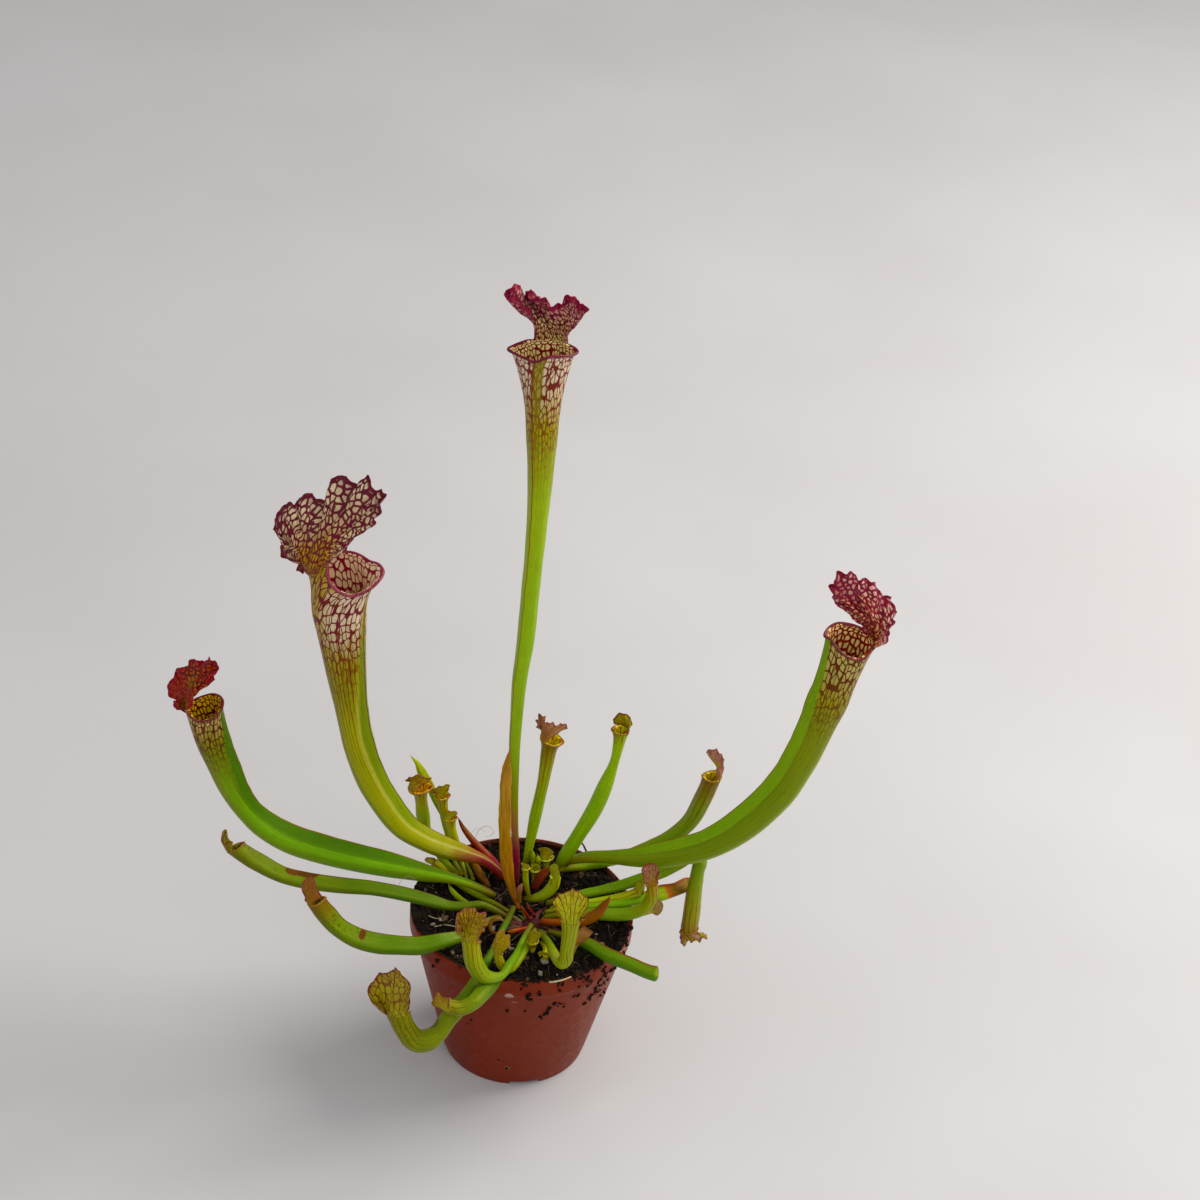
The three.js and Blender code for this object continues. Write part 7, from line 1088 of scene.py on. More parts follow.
look("pitcher_center_tall", lip=0.50, lip_out=0.55, ruffle=0.9, ruffle_mm=5.5, frill=0.5, frill_mm=3.2, curl=-1.6, pucker=0.5, depth=0.35, lip_wave=0.08,
     skin=dict(base=None, run=[(0, "#5a2018"), (0.02, "#84084c"), (0.055, "#8c1450"), (0.085, "#904c58"), (0.12, "#9c6a56"), (0.17, "#8a8a34"), (0.26, "#88a820"), (0.5, "#90b814"), (0.75, "#a0bb0e"), (0.90, "#a89c10"), (1, "#94780e")],
               back=[(0, "#7a4a28"), (0.05, "#a8444a"), (0.16, "#8a8a2c"), (0.3, "#6f9a1c"), (0.7, "#82ac10"), (1, "#948a10")],
               veins=dict(n=26, y0=20, y1=112, col="#7c3820", w0=0.095, w1=0.03, amount=0.85),
               net=dict(cx=1.6, cy=2.1, y0=14, y1=60, p0=10, p1=36, th0=0.085, th1=0.065, grow=46, win="#f0dcc0", win2="#b49a28", vein="#741430", vein2="#7c3a14", rand=0.85, ragged=16, main=0.028),
               band=dict(q=0.075, w=0.085, y0=6, y1=50, col="#8a7a08", amount=0.8),
               wing=dict(edge=[(0, "#8a3a24"), (0.5, "#a35a2a"), (1, "#7a3010")], e0=0.84, e1=0.97)),
     inside=dict(cx=1.4, cy=2.1, y=60, th=0.13, win="#ffedb0", vein="#7c1424", deep="#b09434", deep_vein="#6c1c18"),
     lipc=dict(a="#5c1828", b="#803444", c="#4c1424"),
     hood=dict(cx=1.5, cy=2.0, th0=0.115, th1=0.17, ribs=3.5, rib0=0.10, rib1=0.05, minor=0.1, rand=0.75, radius=0.60,
               win=[(0, "#d9c088"), (0.5, "#dcb49a"), (1, "#d8a0a8")], vein=[(0, "#6a2030"), (0.5, "#6a1636"), (1, "#86123e")],
               win_in=[(0, "#f0dc98"), (0.35, "#eed0a0"), (0.7, "#dcb09c"), (1, "#cc8890")], vein_in=[(0, "#541018"), (0.4, "#5c1020"), (0.75, "#701434"), (1, "#8c1644")],
               edge="#8c0c3a", edge1=2.4, edge0=0.9, flush="#7c1030", flush_amount=0.35))

look("pitcher_left_tall", lip=0.62, lip_out=0.6, ruffle=0.8, ruffle_mm=8.0, frill=0.75, frill_mm=4.0, pucker=0.7, depth=0.40, cup=1.2, lip_wave=0.1, curl=0.7,
     skin=dict(base=None, run=[(0, "#6c1020"), (0.03, "#8c084c"), (0.06, "#94144c"), (0.085, "#a05454"), (0.12, "#ac8854"), (0.16, "#b8b45c"), (0.3, "#b0b240"), (0.55, "#aaa828"), (0.8, "#98901a"), (1, "#8c7414")],
               back_q=(0.60, 0.66), back_wob=0.03, ridges=[dict(q=0.62, w=0.014, col="#7c3c14", y0=45, amount=0.85), dict(q=0.30, w=0.008, col="#8c5c24", y0=10, amount=0.5)],
               back=[(0, "#7c1028"), (0.05, "#8c2440"), (0.10, "#98603a"), (0.14, "#8f8a1c"), (0.3, "#82a012"), (0.6, "#90980c"), (0.85, "#8f840c"), (1, "#7c640e")],
               veins=dict(n=30, y0=30, y1=150, col="#70281c", w0=0.17, w1=0.06, amount=1.0, ragged=40),
               net=dict(cx=2.15, cy=2.8, y0=16, y1=76, p0=14, p1=48, th0=0.070, th1=0.062, grow=44, win="#f0dcc0", win2="#b0962c", vein="#740f30", vein2="#7c2c20", rand=0.85, ragged=18, main=0.026, dorsal="#b09428"),
               # the pale line along the wing's join is a painted highlight
               wing=dict(q=(0.05, 0.21, 22.0, 75.0), col=[(0, "#8c104c"), (0.08, "#a86c50"), (0.14, "#a8a048"), (0.3, "#84981c"), (0.6, "#748c10"), (0.8, "#7c8c14"), (1, "#a89c38")], painted_crease_light="#d0cc84", crease_w=0.075, crease_amount=0.55, edge=[(0, "#7a1034"), (0.4, "#5c1c14"), (1, "#6c101c")], e0=0.88, e1=0.97, edge_amount=1.0, amount=0.85)),
     inside=dict(cx=2.3, cy=2.8, y=60, th=0.10, win="#ffe8c4", vein="#902440", deep="#b89c5c", deep_vein="#742c2c"),
     lipc=dict(a="#7a2c3c", b="#a05860", c="#641c34"),
     hood=dict(cx=2.7, cy=3.3, th0=0.135, th1=0.165, ribs=4.5, rib0=0.12, rib1=0.06, minor=0.12, rand=0.9, radius=0.60,
               win=[(0, "#a8881c"), (0.25, "#c4a440"), (0.55, "#ecd8a8"), (1, "#f4e2c4")], vein=[(0, "#7c2c20"), (0.3, "#70082c"), (0.7, "#68022c"), (1, "#620228")],
               edge="#600426", edge1=2.5, edge0=1.1, flush="#680a2c", flush_amount=0.26))

look("pitcher_left_far", lip=0.48, lip_out=0.5, ruffle=0.8, ruffle_mm=5.5, frill=0.6, frill_mm=3.2, pucker=0.8, cup=1.2, depth=0.30, lip_wave=0.06, curl=0.8,
     skin=dict(run=[(0, "#7c3428"), (0.04, "#94702c"), (0.12, "#7c9820"), (0.35, "#62980c"), (0.6, "#6ca008"), (0.8, "#7c980c"), (1, "#7a640e")],
               back=[(0, "#7c3428"), (0.06, "#8a9030"), (0.3, "#5c8c10"), (0.6, "#6c900a"), (0.85, "#7c860c"), (1, "#6c4a10")],
               veins=dict(n=22, y0=14, y1=66, col="#5f2f1c", w0=0.095, w1=0.03, amount=0.85, ragged=24),
               net=dict(cx=1.35, cy=2.0, y0=6, y1=38, p0=2, p1=18, th0=0.085, th1=0.07, grow=30, win="#d4bc88", win2="#8a8414", vein="#5c1a18", vein2="#62300e", rand=0.85, ragged=8, main=0.03),
               bands=[dict(q0=0.19, q1=0.50, col="#72b404", amount=0.55, soft=0.08, y0=14, y1=40)],
               # the dark line along the wing's join is painted shade
               wing=dict(q=(0.11, 0.20, 8.0, 45.0), col=[(0, "#7a5028"), (0.08, "#54781c"), (0.4, "#487c06"), (0.75, "#4a8004"), (1, "#4c8004")], streak="#345c08", painted_crease_light="#2c5c04", crease_w=0.03, crease_amount=0.5, edge=[(0, "#a0502c"), (0.5, "#b05a14"), (1, "#9a3a10")], e0=0.90, e1=0.98, amount=0.9)),
     inside=dict(cx=1.8, cy=2.1, y=40, th=0.14, win="#f0cc44", vein="#701418", deep="#98842c", deep_vein="#5c1c14"),
     lipc=dict(a="#5a2220", b="#7c4038", c="#6a2c28"),
     hood=dict(cx=1.9, cy=2.2, th0=0.15, th1=0.17, ribs=3.5, rib0=0.12, rib1=0.05, minor=0.1, radius=0.56,
               win=[(0, "#987024"), (0.35, "#d0642c"), (0.7, "#cc2c2c"), (1, "#c81c2c")], vein=[(0, "#480c14"), (0.4, "#6c0418"), (1, "#860422")],
               win_in=[(0, "#987020"), (0.5, "#c87828"), (1, "#c04c30")], vein_in=[(0, "#40100f"), (0.6, "#540814"), (1, "#6c061c")],
               rib_col="#7a5a24", mid=0.13, edge="#840424", edge1=1.6, edge0=0.6, flush="#a00428", flush_amount=0.5, grit="#300810"))

# painted light: the tube's olive is darkened as painted shade and the wing is painted lighter as light shining through
# it, over the leaf's own greens
look("pitcher_right_big", lip=0.50, lip_out=0.5, ruffle=0.8, ruffle_mm=5.5, frill=0.6, frill_mm=3.2, pucker=0.8, cup=1.2, depth=0.30, lip_wave=0.06, curl=0.8,
     skin=dict(run=[(0, "#8a6a34"), (0.06, "#94852c"), (0.15, "#7c8c18"), (0.35, "#6c840a"), (0.6, "#708606"), (0.8, "#84900c"), (0.95, "#9a8c24"), (1, "#7c5a18")],
               back_q=(0.66, 0.84), back_wob=0.1,
               back=[(0, "#8a6a34"), (0.1, "#8a9430"), (0.3, "#84a034"), (0.6, "#a0b050"), (0.9, "#a8a04c"), (1, "#6f4c14")],
               veins=dict(n=24, y0=18, y1=84, col="#63341e", w0=0.10, w1=0.03, amount=0.85, ragged=30),
               net=dict(cx=1.5, cy=2.25, y0=10, y1=56, p0=8, p1=38, th0=0.088, th1=0.075, grow=32, win="#c4b67c", win2="#948a20", vein="#5e1a1c", vein2="#6c3414", rand=0.85, ragged=9, main=0.03),
               # the dark line along the wing's join is painted shade
               wing=dict(q=(0.12, 0.21, 8.0, 50.0), col=[(0, "#8a6a34"), (0.1, "#7c982c"), (0.4, "#7cA80c"), (0.75, "#82aa06"), (1, "#78a006")], streak="#5c8008", painted_crease_light="#587004", crease_w=0.03, crease_amount=0.4, edge=[(0, "#8a4c24"), (0.5, "#903c14"), (1, "#8a2c14")], e0=0.90, e1=0.98, amount=0.95)),
     inside=dict(cx=1.9, cy=2.2, y=45, th=0.18, win="#ffe6ac", vein="#8c1c14", deep="#a08c34", deep_vein="#6c1c14"),
     lipc=dict(a="#5c2428", b="#84444c", c="#6e2c34"),
     hood=dict(cx=2.1, cy=2.4, th0=0.165, th1=0.195, ribs=3.5, rib0=0.12, rib1=0.05, minor=0.12, radius=0.56,
               win=[(0, "#c09c48"), (0.35, "#f0c49c"), (1, "#ffdccc")], vein=[(0, "#5c1c20"), (0.4, "#7a082a"), (1, "#820a34")],
               win_in=[(0, "#b08440"), (0.5, "#f0b890"), (1, "#ffd8bc")], vein_in=[(0, "#4a1012"), (0.5, "#6c1024"), (1, "#800f30")],
               edge="#800a32", edge1=1.7, edge0=0.6, flush="#8c0a34", flush_amount=0.52, grit="#300810"))

# flat leaves and petioles
# val darkens this low leaf as painted shade
look("leaf_left_mid", skin=dict(val=0.53, run=[(0, "#84603a"), (0.06, "#7c9030"), (0.3, "#6c9c18"), (0.55, "#749c14"), (0.62, "#84a01c"), (0.8, "#8fb02c"), (1, "#98a834")],
     back=[(0, "#84603a"), (0.1, "#6f8430"), (0.4, "#588818"), (0.7, "#7c9420"), (1, "#8a8a30")],
     wing=dict(edge=[(0, "#7a4a1c"), (0.4, "#84441a"), (1, "#8a3818")], e0=0.84, e1=0.96),
     marks=[dict(x=0.2, y=31.0, rx=1.5, ry=5.5, col="#7a4414", ring="#7a1c10", amount=0.85, rag=0.5), dict(x=-0.6, y=25.5, rx=1.0, ry=3.0, col="#8a5a20", ring="#8a2410", amount=0.6, rag=0.5)],
     speck=0.7, blotch=0.3),
     lipc=dict(a="#8a6a34", b="#a05a34"), hood=dict(cx=2.2, cy=3.0, th0=0.09, th1=0.12, ribs=4, win=[(0, "#94982c"), (1, "#948c34")], vein=[(0, "#6c5424"), (1, "#6a3c24")], edge="#8a7a34", edge1=0.9, edge0=0.3, flush="#7c4c28", flush_amount=0.5))
# val darkens this low leaf as painted shade
look("leaf_left_low", skin=dict(val=0.60, run=[(0, "#84703a"), (0.06, "#7c8c30"), (0.3, "#6c9c18"), (0.6, "#70a014"), (0.85, "#8fae2c"), (1, "#a0742c")],
     back=[(0, "#84703a"), (0.1, "#6f8430"), (0.5, "#5c8c18"), (0.85, "#7c9428"), (1, "#8a6a2c")],
     wing=dict(edge=[(0, "#7a4a1c"), (0.5, "#844a1a"), (1, "#8a3818")], e0=0.84, e1=0.96),
     marks=[dict(x=-1.1, y=26.0, rx=1.4, ry=1.5, col="#7c2c18", ring="#8a5a24", rag=0.3)], speck=0.7, blotch=0.3),
     lipc=dict(a="#8f7434", b="#a0542c"), hood=dict(lines=8, cross=0.4, lw0=0.12, lw1=0.10, cx=1.8, cy=2.6, th0=0.1, th1=0.14, ribs=4, win=[(0, "#948628"), (0.5, "#94743a"), (1, "#a07a50")], vein=[(0, "#7c3a24"), (1, "#7a3030")], edge="#84483c", edge1=0.8, edge0=0.3, flush="#8c5c3c", flush_amount=0.35))
# val darkens this low leaf as painted shade
look("leaf_right_cut", tip=0.7, skin=dict(val=0.70, run=[(0, "#7c6a34"), (0.1, "#7c8c2c"), (0.5, "#6c9a1c"), (0.9, "#749c20"), (0.985, "#7ca02c"), (1, "#c0c040")],
     back=[(0, "#6f6a30"), (0.2, "#4c8420"), (1, "#58902a")], wing=dict(edge=[(0, "#8a4a2c"), (1, "#a05a2a")], e0=0.5, e1=0.8), speck=0.4, blotch=0.3),
     lipc=dict(a="#a3b43c", b="#b8bf58"), lip=0.5)
look("leaf_right_dead_tip", tip=6.0, crumple=0.0, skin=dict(run=[(0, "#84903a"), (0.1, "#84a038"), (0.4, "#72a82a"), (0.6, "#7aa82c"), (0.695, "#98a434"), (0.72, "#b03a1c"), (0.75, "#6f421e"), (0.88, "#7c4c22"), (1, "#93401c")], sway=0.05,
     wing=dict(edge=[(0, "#8a5a2c"), (0.6, "#a0642a"), (0.75, "#8a2c14"), (1, "#a0301a")], e0=0.5, e1=0.8), speck=0.3))

GREENP = dict(run=GREEN, wing=dict(edge=RED_EDGE, e0=0.7, e1=0.9), speck=0.3)


def yellow_hood(**over):
    base = dict(lines=7, cx=2.3, cy=3.6, th0=0.06, th1=0.09, ribs=4.5, rib0=0.10, rib1=0.05, minor=0.12, rand=0.8, jitter=0.35,
                win=[(0, "#a8ac34"), (0.5, "#b4b032"), (1, "#b8ac3e")], vein=[(0, "#6f3420"), (0.5, "#6c2620"), (1, "#702426")],
                win_in=[(0, "#98942c"), (1, "#a89a38")], edge="#7a2c2c", edge1=0.8, edge0=0.25, edge_amount=0.85, grit="#4a3010", relief=0.3)
    base.update(over)
    return base


def small_pitcher(name, run, n=9, reach=40, **over):
    k = dict(skin=dict(run=run, veins=dict(n=n, y0=reach * 0.35, y1=reach, col="#7a3420", w0=0.13, w1=0.04, amount=0.8, ragged=8, waver=0.7), blotch=0.25, speck=0.3, sway=0.06),
             lipc=dict(a="#8a7434", b="#8a4430"), hood=yellow_hood(), inside=dict(cx=1.5, cy=4.0, y=20, th=0.06, win="#dccf38", vein="#a05c2c", deep="#b0a42c", deep_vein="#7c5420"))
    hood = over.pop("hood", None)
    sk = over.pop("skin", None)
    k.update(over)
    if hood:
        k["hood"] = yellow_hood(**hood)
    if sk:
        k["skin"] = {**k["skin"], **sk}
    LOOKS[name] = k


# val darkens this low pitcher as painted shade
small_pitcher("pitcher_front_droop", [(0, "#6c7828"), (0.1, "#5c8424"), (0.35, "#58881c"), (0.55, "#688c20"), (0.8, "#8c9834"), (1, "#8c8c2c")], n=12, reach=26,
              hood=dict(lines=6, cross=0.8, lw0=0.10, lw1=0.05, cx=3.0, cy=4.0, th0=0.05, th1=0.075, ribs=5.5, rib0=0.0, rib1=0.0, win=[(0, "#9a9c34"), (0.6, "#a5a032"), (1, "#a69838")], edge="#642028", edge1=1.0), cup=1.2, ruffle=0.5,
              skin=dict(val=0.74, blotch=0.5, marks=[dict(x=0.0, y=24.0, rx=3.2, ry=4.0, col="#6a5426", amount=0.75, rag=0.9)], speck=0.6, wing=dict(edge=[(0, "#8a6a30"), (0.4, "#a06030"), (1, "#8a4a28")], e0=0.6, e1=0.85)))
# val lightens this pitcher as painted light
small_pitcher("pitcher_front_left", [(0, "#6c7c28"), (0.2, "#648c20"), (0.5, "#6c9420"), (0.8, "#7c9424"), (1, "#94942c")], n=12, reach=30,
              hood=dict(cx=1.7, cy=2.6, th0=0.07, th1=0.10, lines=11, cross=0.6, lw0=0.15, lw1=0.13, win=[(0, "#a8a834"), (0.6, "#b8ac38"), (1, "#c8b060")], vein=[(0, "#7c3420"), (0.4, "#6c1820"), (1, "#7c1c30")], edge="#a86460", edge1=0.6, edge0=0.2), cup=2.2, ruffle=0.6, ruffle_mm=4.0, skin=dict(val=1.12))
# val darkens this low pitcher as painted shade
small_pitcher("pitcher_front_over_rim", [(0, "#54701c"), (0.3, "#4c780c"), (0.6, "#588c10"), (0.85, "#88a01c"), (1, "#a09c2c")], n=7, reach=10, hood=dict(win=[(0, "#a8ac34"), (1, "#9a7a34")], vein=[(0, "#8a6a2c"), (1, "#7a4a24")], edge="#7c5428"),
              skin=dict(val=0.66, blotch=0.5, wing=dict(edge=[(0, "#a0902c"), (1, "#8a7a2c")], e0=0.7, e1=0.9)), inside=dict(cx=2.0, cy=3.0, y=20, th=0.07, win="#a8b43c", vein="#8a6a2c"), lipc=dict(a="#98923a", b="#8a6a30"))
small_pitcher("pitcher_front_small_curl", [(0, "#748428"), (0.4, "#7c9424"), (0.8, "#94982c"), (1, "#a89c30")], n=9, reach=16,
              hood=dict(cx=1.3, cy=2.2, th0=0.08, th1=0.11, win=[(0, "#b8ac40"), (1, "#c8b058")], edge="#b07c60", edge1=0.5, edge0=0.2), ruffle=0.5, ruffle_mm=3.2)
small_pitcher("pitcher_front_center", [(0, "#6c7c28"), (0.2, "#748c28"), (0.48, "#a8b05c"), (0.6, "#94a43c"), (1, "#98a028")], n=13, reach=42,
              hood=dict(lines=7, cross=0.35, lw0=0.15, lw1=0.085, cx=2.0, cy=3.6, th0=0.06, th1=0.085, ribs=6, rib0=0.0, rib1=0.0, win=[(0, "#b0b830"), (1, "#ccc848")], vein=[(0, "#5c2c10"), (0.5, "#6a1418"), (1, "#6c101c")], edge="#6c1820", edge1=0.7), cup=1.5, ruffle=0.5, ruffle_mm=5.0)
small_pitcher("pitcher_right_hanging", [(0, "#6c8828"), (0.3, "#648c20"), (0.7, "#749024"), (0.9, "#8c8c34"), (1, "#8c7440")], n=9, reach=30,
              hood=dict(win=[(0, "#a8845c"), (1, "#b88c84")], vein=[(0, "#7c4430"), (1, "#7a3c34")], edge="#94605c", edge1=1.0), ruffle=1.1, ruffle_mm=3.4, pucker=0.9, ruffle_power=2.0)
small_pitcher("pitcher_right_upright", [(0, "#6c8428"), (0.3, "#648c20"), (0.6, "#749424"), (0.85, "#989c38"), (1, "#a88c44")], n=9, reach=16,
              hood=dict(cx=1.5, cy=3.0, th0=0.08, th1=0.1, ribs=4.5, lines=9, cross=0.6, lw0=0.12, lw1=0.10, win=[(0, "#a89048"), (1, "#b49478")], vein=[(0, "#7c3c28"), (1, "#84343c")], edge="#8a3c3c"), cup=0.8)
small_pitcher("pitcher_right_short", YELLOW, n=6, reach=12, hood=dict(win=[(0, "#98a838"), (1, "#a8a03c")], vein=[(0, "#7a7a2c"), (1, "#7a5a28")], edge="#8a7a34"))
small_pitcher("pitcher_right_tan_tip", [(0, "#8a9a3c"), (0.5, "#93a440"), (1, "#a09454")], n=5, reach=6, hood=dict(win=[(0, "#a08c54"), (1, "#a88c60")], vein=[(0, "#84683c"), (1, "#846040")], edge="#8a6a4a"))
small_pitcher("pitcher_back_center_left", [(0, "#93a03c"), (0.15, "#98b43a"), (0.5, "#8aae2c"), (0.75, "#939c2c"), (0.95, "#7c6a24"), (1, "#84582c")], n=9, reach=62,
              hood=dict(win=[(0, "#a8804c"), (1, "#b88c74")], vein=[(0, "#7c4834"), (1, "#844c3c")], edge="#946050", edge1=1.2), ruffle=0.9, ruffle_mm=3.0, pucker=0.7, skin=dict(val=1.2))
small_pitcher("pitcher_back_center_right", [(0, "#7c9c34"), (0.15, "#7aa42e"), (0.5, "#80ac2a"), (0.9, "#90b42c"), (1, "#8a8a34")], ruffle=0.35, ruffle_mm=3.4, pucker=0.3, n=5, reach=10,
              hood=dict(win=[(0, "#8c5c34"), (1, "#84482c")], vein=[(0, "#5c2c20"), (1, "#642c24")], edge="#6c3420", edge1=1.2),
              skin=dict(val=1.18, back=[(0, "#7c9c34"), (0.5, "#80a82a"), (1, "#94ac30")], speck=0.3))
small_pitcher("pitcher_back_right", [(0, "#84903a"), (0.2, "#7c9c34"), (0.5, "#7a9c2c"), (0.8, "#84983a"), (0.95, "#84702c"), (1, "#845434")], n=9, reach=40,
              hood=dict(win=[(0, "#b08060"), (1, "#c09484")], vein=[(0, "#7c4434"), (1, "#8c5048")], edge="#946058", edge1=1.0), pucker=0.4, ruffle=0.5, ruffle_mm=3.0,
              skin=dict(wing=dict(edge=[(0, "#8a5a2c"), (0.5, "#a0642a"), (1, "#8a4a28")], e0=0.7, e1=0.9)))
small_pitcher("pitcher_backleft_flared", [(0, "#84983a"), (0.3, "#84a034"), (0.7, "#98a838"), (0.95, "#a89c40"), (1, "#9a6a44")], ruffle=0.35, ruffle_mm=3.4, pucker=0.3, n=10, reach=12, lipc=dict(a="#9a6a34", b="#a87c48"),
              hood=dict(lines=9, cross=0.6, lw0=0.16, lw1=0.12, win=[(0, "#a86850"), (0.35, "#a8883c"), (1, "#b0a434")], vein=[(0, "#8a3a34"), (0.5, "#84341c"), (1, "#843420")], edge="#94584a"), inside=dict(cx=1.3, cy=3.5, y=20, th=0.08, win="#ecc83c", vein="#a0341c", deep="#a8902c"))
small_pitcher("pitcher_backleft_mid", [(0, "#84983a"), (0.3, "#8aa034"), (0.7, "#a0a838"), (1, "#b0a03c")], ruffle=0.35, ruffle_mm=3.4, pucker=0.3, n=8, reach=12, hood=dict(win=[(0, "#a8843c"), (0.4, "#a89a30"), (1, "#a8a030")], vein=[(0, "#7c4828"), (1, "#7c4c24")], edge="#946434"))
small_pitcher("pitcher_backleft_low", [(0, "#84983a"), (0.4, "#98a83a"), (1, "#b4b040")], ruffle=0.35, ruffle_mm=3.4, pucker=0.3, n=7, reach=8, hood=dict(win=[(0, "#b4ac3c"), (1, "#b8a848")], vein=[(0, "#948438"), (1, "#8a6a3c")], edge="#a88a44"))
small_pitcher("pitcher_left_hidden", [(0, "#7c8438"), (0.4, "#84943a"), (1, "#a8a84a")], n=5, reach=6)
look("leaf_backleft_pointed", tip=9.0, skin=dict(run=[(0, "#6c8428"), (0.4, "#849c30"), (0.8, "#98a83c"), (0.95, "#a8b048"), (1, "#b4b060")], wing=dict(edge=[(0, "#8a8a34"), (1, "#b8bc60")], e0=0.7, e1=0.9)))
look("leaf_back_red_pointed", tip=6.0, skin=dict(base=None, val=0.85, run=[(0, "#900c40"), (0.2, "#9c1030"), (0.45, "#94181c"), (0.7, "#842418"), (0.9, "#742018"), (1, "#7c1618")], streak_dark="#5a1414", streak_light="#b84a34", blotch_col="#7c2a1c", wing=dict(edge=[(0, "#b83040"), (1, "#8a3020")])))
look("thin_blade_left", tip=5.0, skin=dict(run=[(0, "#7c7a34"), (0.5, "#84983a"), (1, "#98a048")]))

# the young pitchers of the crown
for nm, run in (("crown_pitcher_flared", [(0, "#98a450"), (0.5, "#a8b858"), (1, "#b8bc5c")]), ("crown_pitcher_bud_left", [(0, "#93983c"), (0.5, "#98a840"), (1, "#a8b048")]),
                ("crown_pitcher_pale", [(0, "#a0a454"), (0.5, "#a8b44c"), (1, "#b0b850")]), ("crown_pitcher_curved", [(0, "#84943a"), (0.4, "#94a83c"), (1, "#a0ac3c")]),
                ("crown_pitcher_front", [(0, "#848c3a"), (0.5, "#98a03c"), (1, "#a89c44")]), ("crown_pitcher_yellow", [(0, "#7c8438"), (0.4, "#98a83c"), (0.7, "#b8c43c"), (1, "#c8cc4c")])):
    small_pitcher(nm, run, n=6, reach=7, hood=dict(cx=1.2, cy=2.0, win=[(0, run[1][1]), (1, run[2][1])], vein=[(0, "#8a7a34"), (1, "#84603a")], edge="#98904a", edge1=0.4, edge0=0.15), lipc=dict(a=run[2][1], b="#a89a4a"), ruffle=0.15,
                  inside=dict(cx=1.2, cy=2.0, y=8, th=0.05, win="#ccd048", vein="#8a7a34"))
look("crown_bud_round", tip=3.0, skin=dict(run=[(0, "#93a040"), (0.5, "#8fae38"), (1, "#a0b848")]))
look("crown_bud_tiny", tip=2.2, skin=dict(run=[(0, "#93a040"), (0.5, "#98b03c"), (1, "#a8b848")]))
look("crown_bud_pink", tip=3.2, skin=dict(run=[(0, "#a08a50"), (0.4, "#b8806a"), (0.8, "#c0807c"), (1, "#b88a64")], streak_dark="#94584a", streak_light="#d0a08c"))
look("stem_red_left", tip=1.5, skin=dict(base=None, val=0.72, run=[(0, "#8a1c38"), (0.4, "#a83a2c"), (1, "#a05a34")], streak_dark="#6a1820", streak_light="#c0583c", blotch_col="#8a2c24"))
look("stem_red_back", tip=1.5, skin=dict(base=None, val=0.72, run=[(0, "#8a1c34"), (0.5, "#9a3a34"), (1, "#94643c")], streak_dark="#6a1820", streak_light="#b8604a", blotch_col="#8a2c24"))
look("stub_red_front", tip=2.0, skin=dict(base=None, val=0.68, run=[(0, "#a81c48"), (0.3, "#b02c38"), (0.7, "#a84c30"), (1, "#a0603a")], streak_dark="#6a1820", streak_light="#c0603c", blotch_col="#8a2c24"))

# dead and dying pieces
look("dead_sheath_center", tip=9.0, dry=dict(run=[(0, "#6f3a20"), (0.1, "#8c5c24"), (0.5, "#bc9c24"), (0.85, "#bc9028"), (0.95, "#a8702c"), (1, "#74442c")], back=[(0, "#7c4a34"), (0.2, "#b8823c"), (0.7, "#bc9450"), (1, "#a87c48")], q=(0.16, 0.30), dark="#6c2818", light="#c8a048"), crumple=0.10, folds=3)
look("dead_blade_backleft", tip=3.0, dry=dict(run=[(0, "#5c3a20"), (0.4, "#84582c"), (0.8, "#946a34"), (1, "#8a5a30")]), crumple=0.2)
look("dead_horn_orange", tip=3.0, skin=dict(base=None, val=0.72, run=[(0, "#9a3028"), (0.15, "#b0502c"), (0.4, "#b8682c"), (0.7, "#b06a30"), (1, "#94502c")], streak_dark="#8a3c1c", streak_light="#c88a4c", blotch_col="#94501f", speck=0.3, streak=0.35))
look("dead_papery_sheath", tip=4.0, dry=dict(run=[(0, "#7c5430"), (0.3, "#a8764a"), (0.7, "#b88c60"), (1, "#8a5a3c")], dark="#6f4428", light="#dcb890", sway=0.4), crumple=0.35, folds=4, crumple_scale=0.5)
look("dead_leaf_crown", tip=2.0, dry=dict(run=[(0, "#5c1c18"), (0.5, "#74301f"), (1, "#6a3422")], dark="#3a1410", light="#a05c3c"), crumple=0.25)
look("dead_curl_left", tip=2.0, dry=dict(run=[(0, "#5c3420"), (0.5, "#8a5a34"), (1, "#a07c50")], dark="#44240f", light="#c8a070"), crumple=0.35, crumple_scale=0.6)


# ------------------------------------------------------------------ building the plant
def inner_skin(name, k, seed):
    t = Tree(name, 0.4)
    x, y = t.uv("Skin")
    mm = t.place()
    co = shifted(t, x, y, k["cx"], k["cy"], seed, 0.3, 0.4)
    pane = t.panes(co, k["th"], 0.85, 0.62)
    deep = t.step(y, 2.0, k.get("y", 40) * 0.6)
    win = t.mix(deep, C(k["win"]), C(k.get("deep", "#6c7020")))
    vein = t.mix(deep, C(k["vein"]), C(k.get("deep_vein", "#4a3a14")))
    col = t.mix(pane, vein, win)
    col = t.mix(t.step(t.noise(mm, 0.8, 3, 0.6), 0.3, 0.8, 0.0, 0.2), col, C("#3a1c10"))
    t.b.inputs["Specular IOR Level"].default_value = 0.3
    return t.finish(t.vivid(col, 1.2, VALUE), 0.42, t.bump(t.math("SUBTRACT", 1.0, pane), 0.3, 0.0003), (1.0, 0.85, 0.4, 1.0))


def put(ob, *nodes):
    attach(ob, "root")
    if nodes:
        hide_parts(*nodes)
    return ob


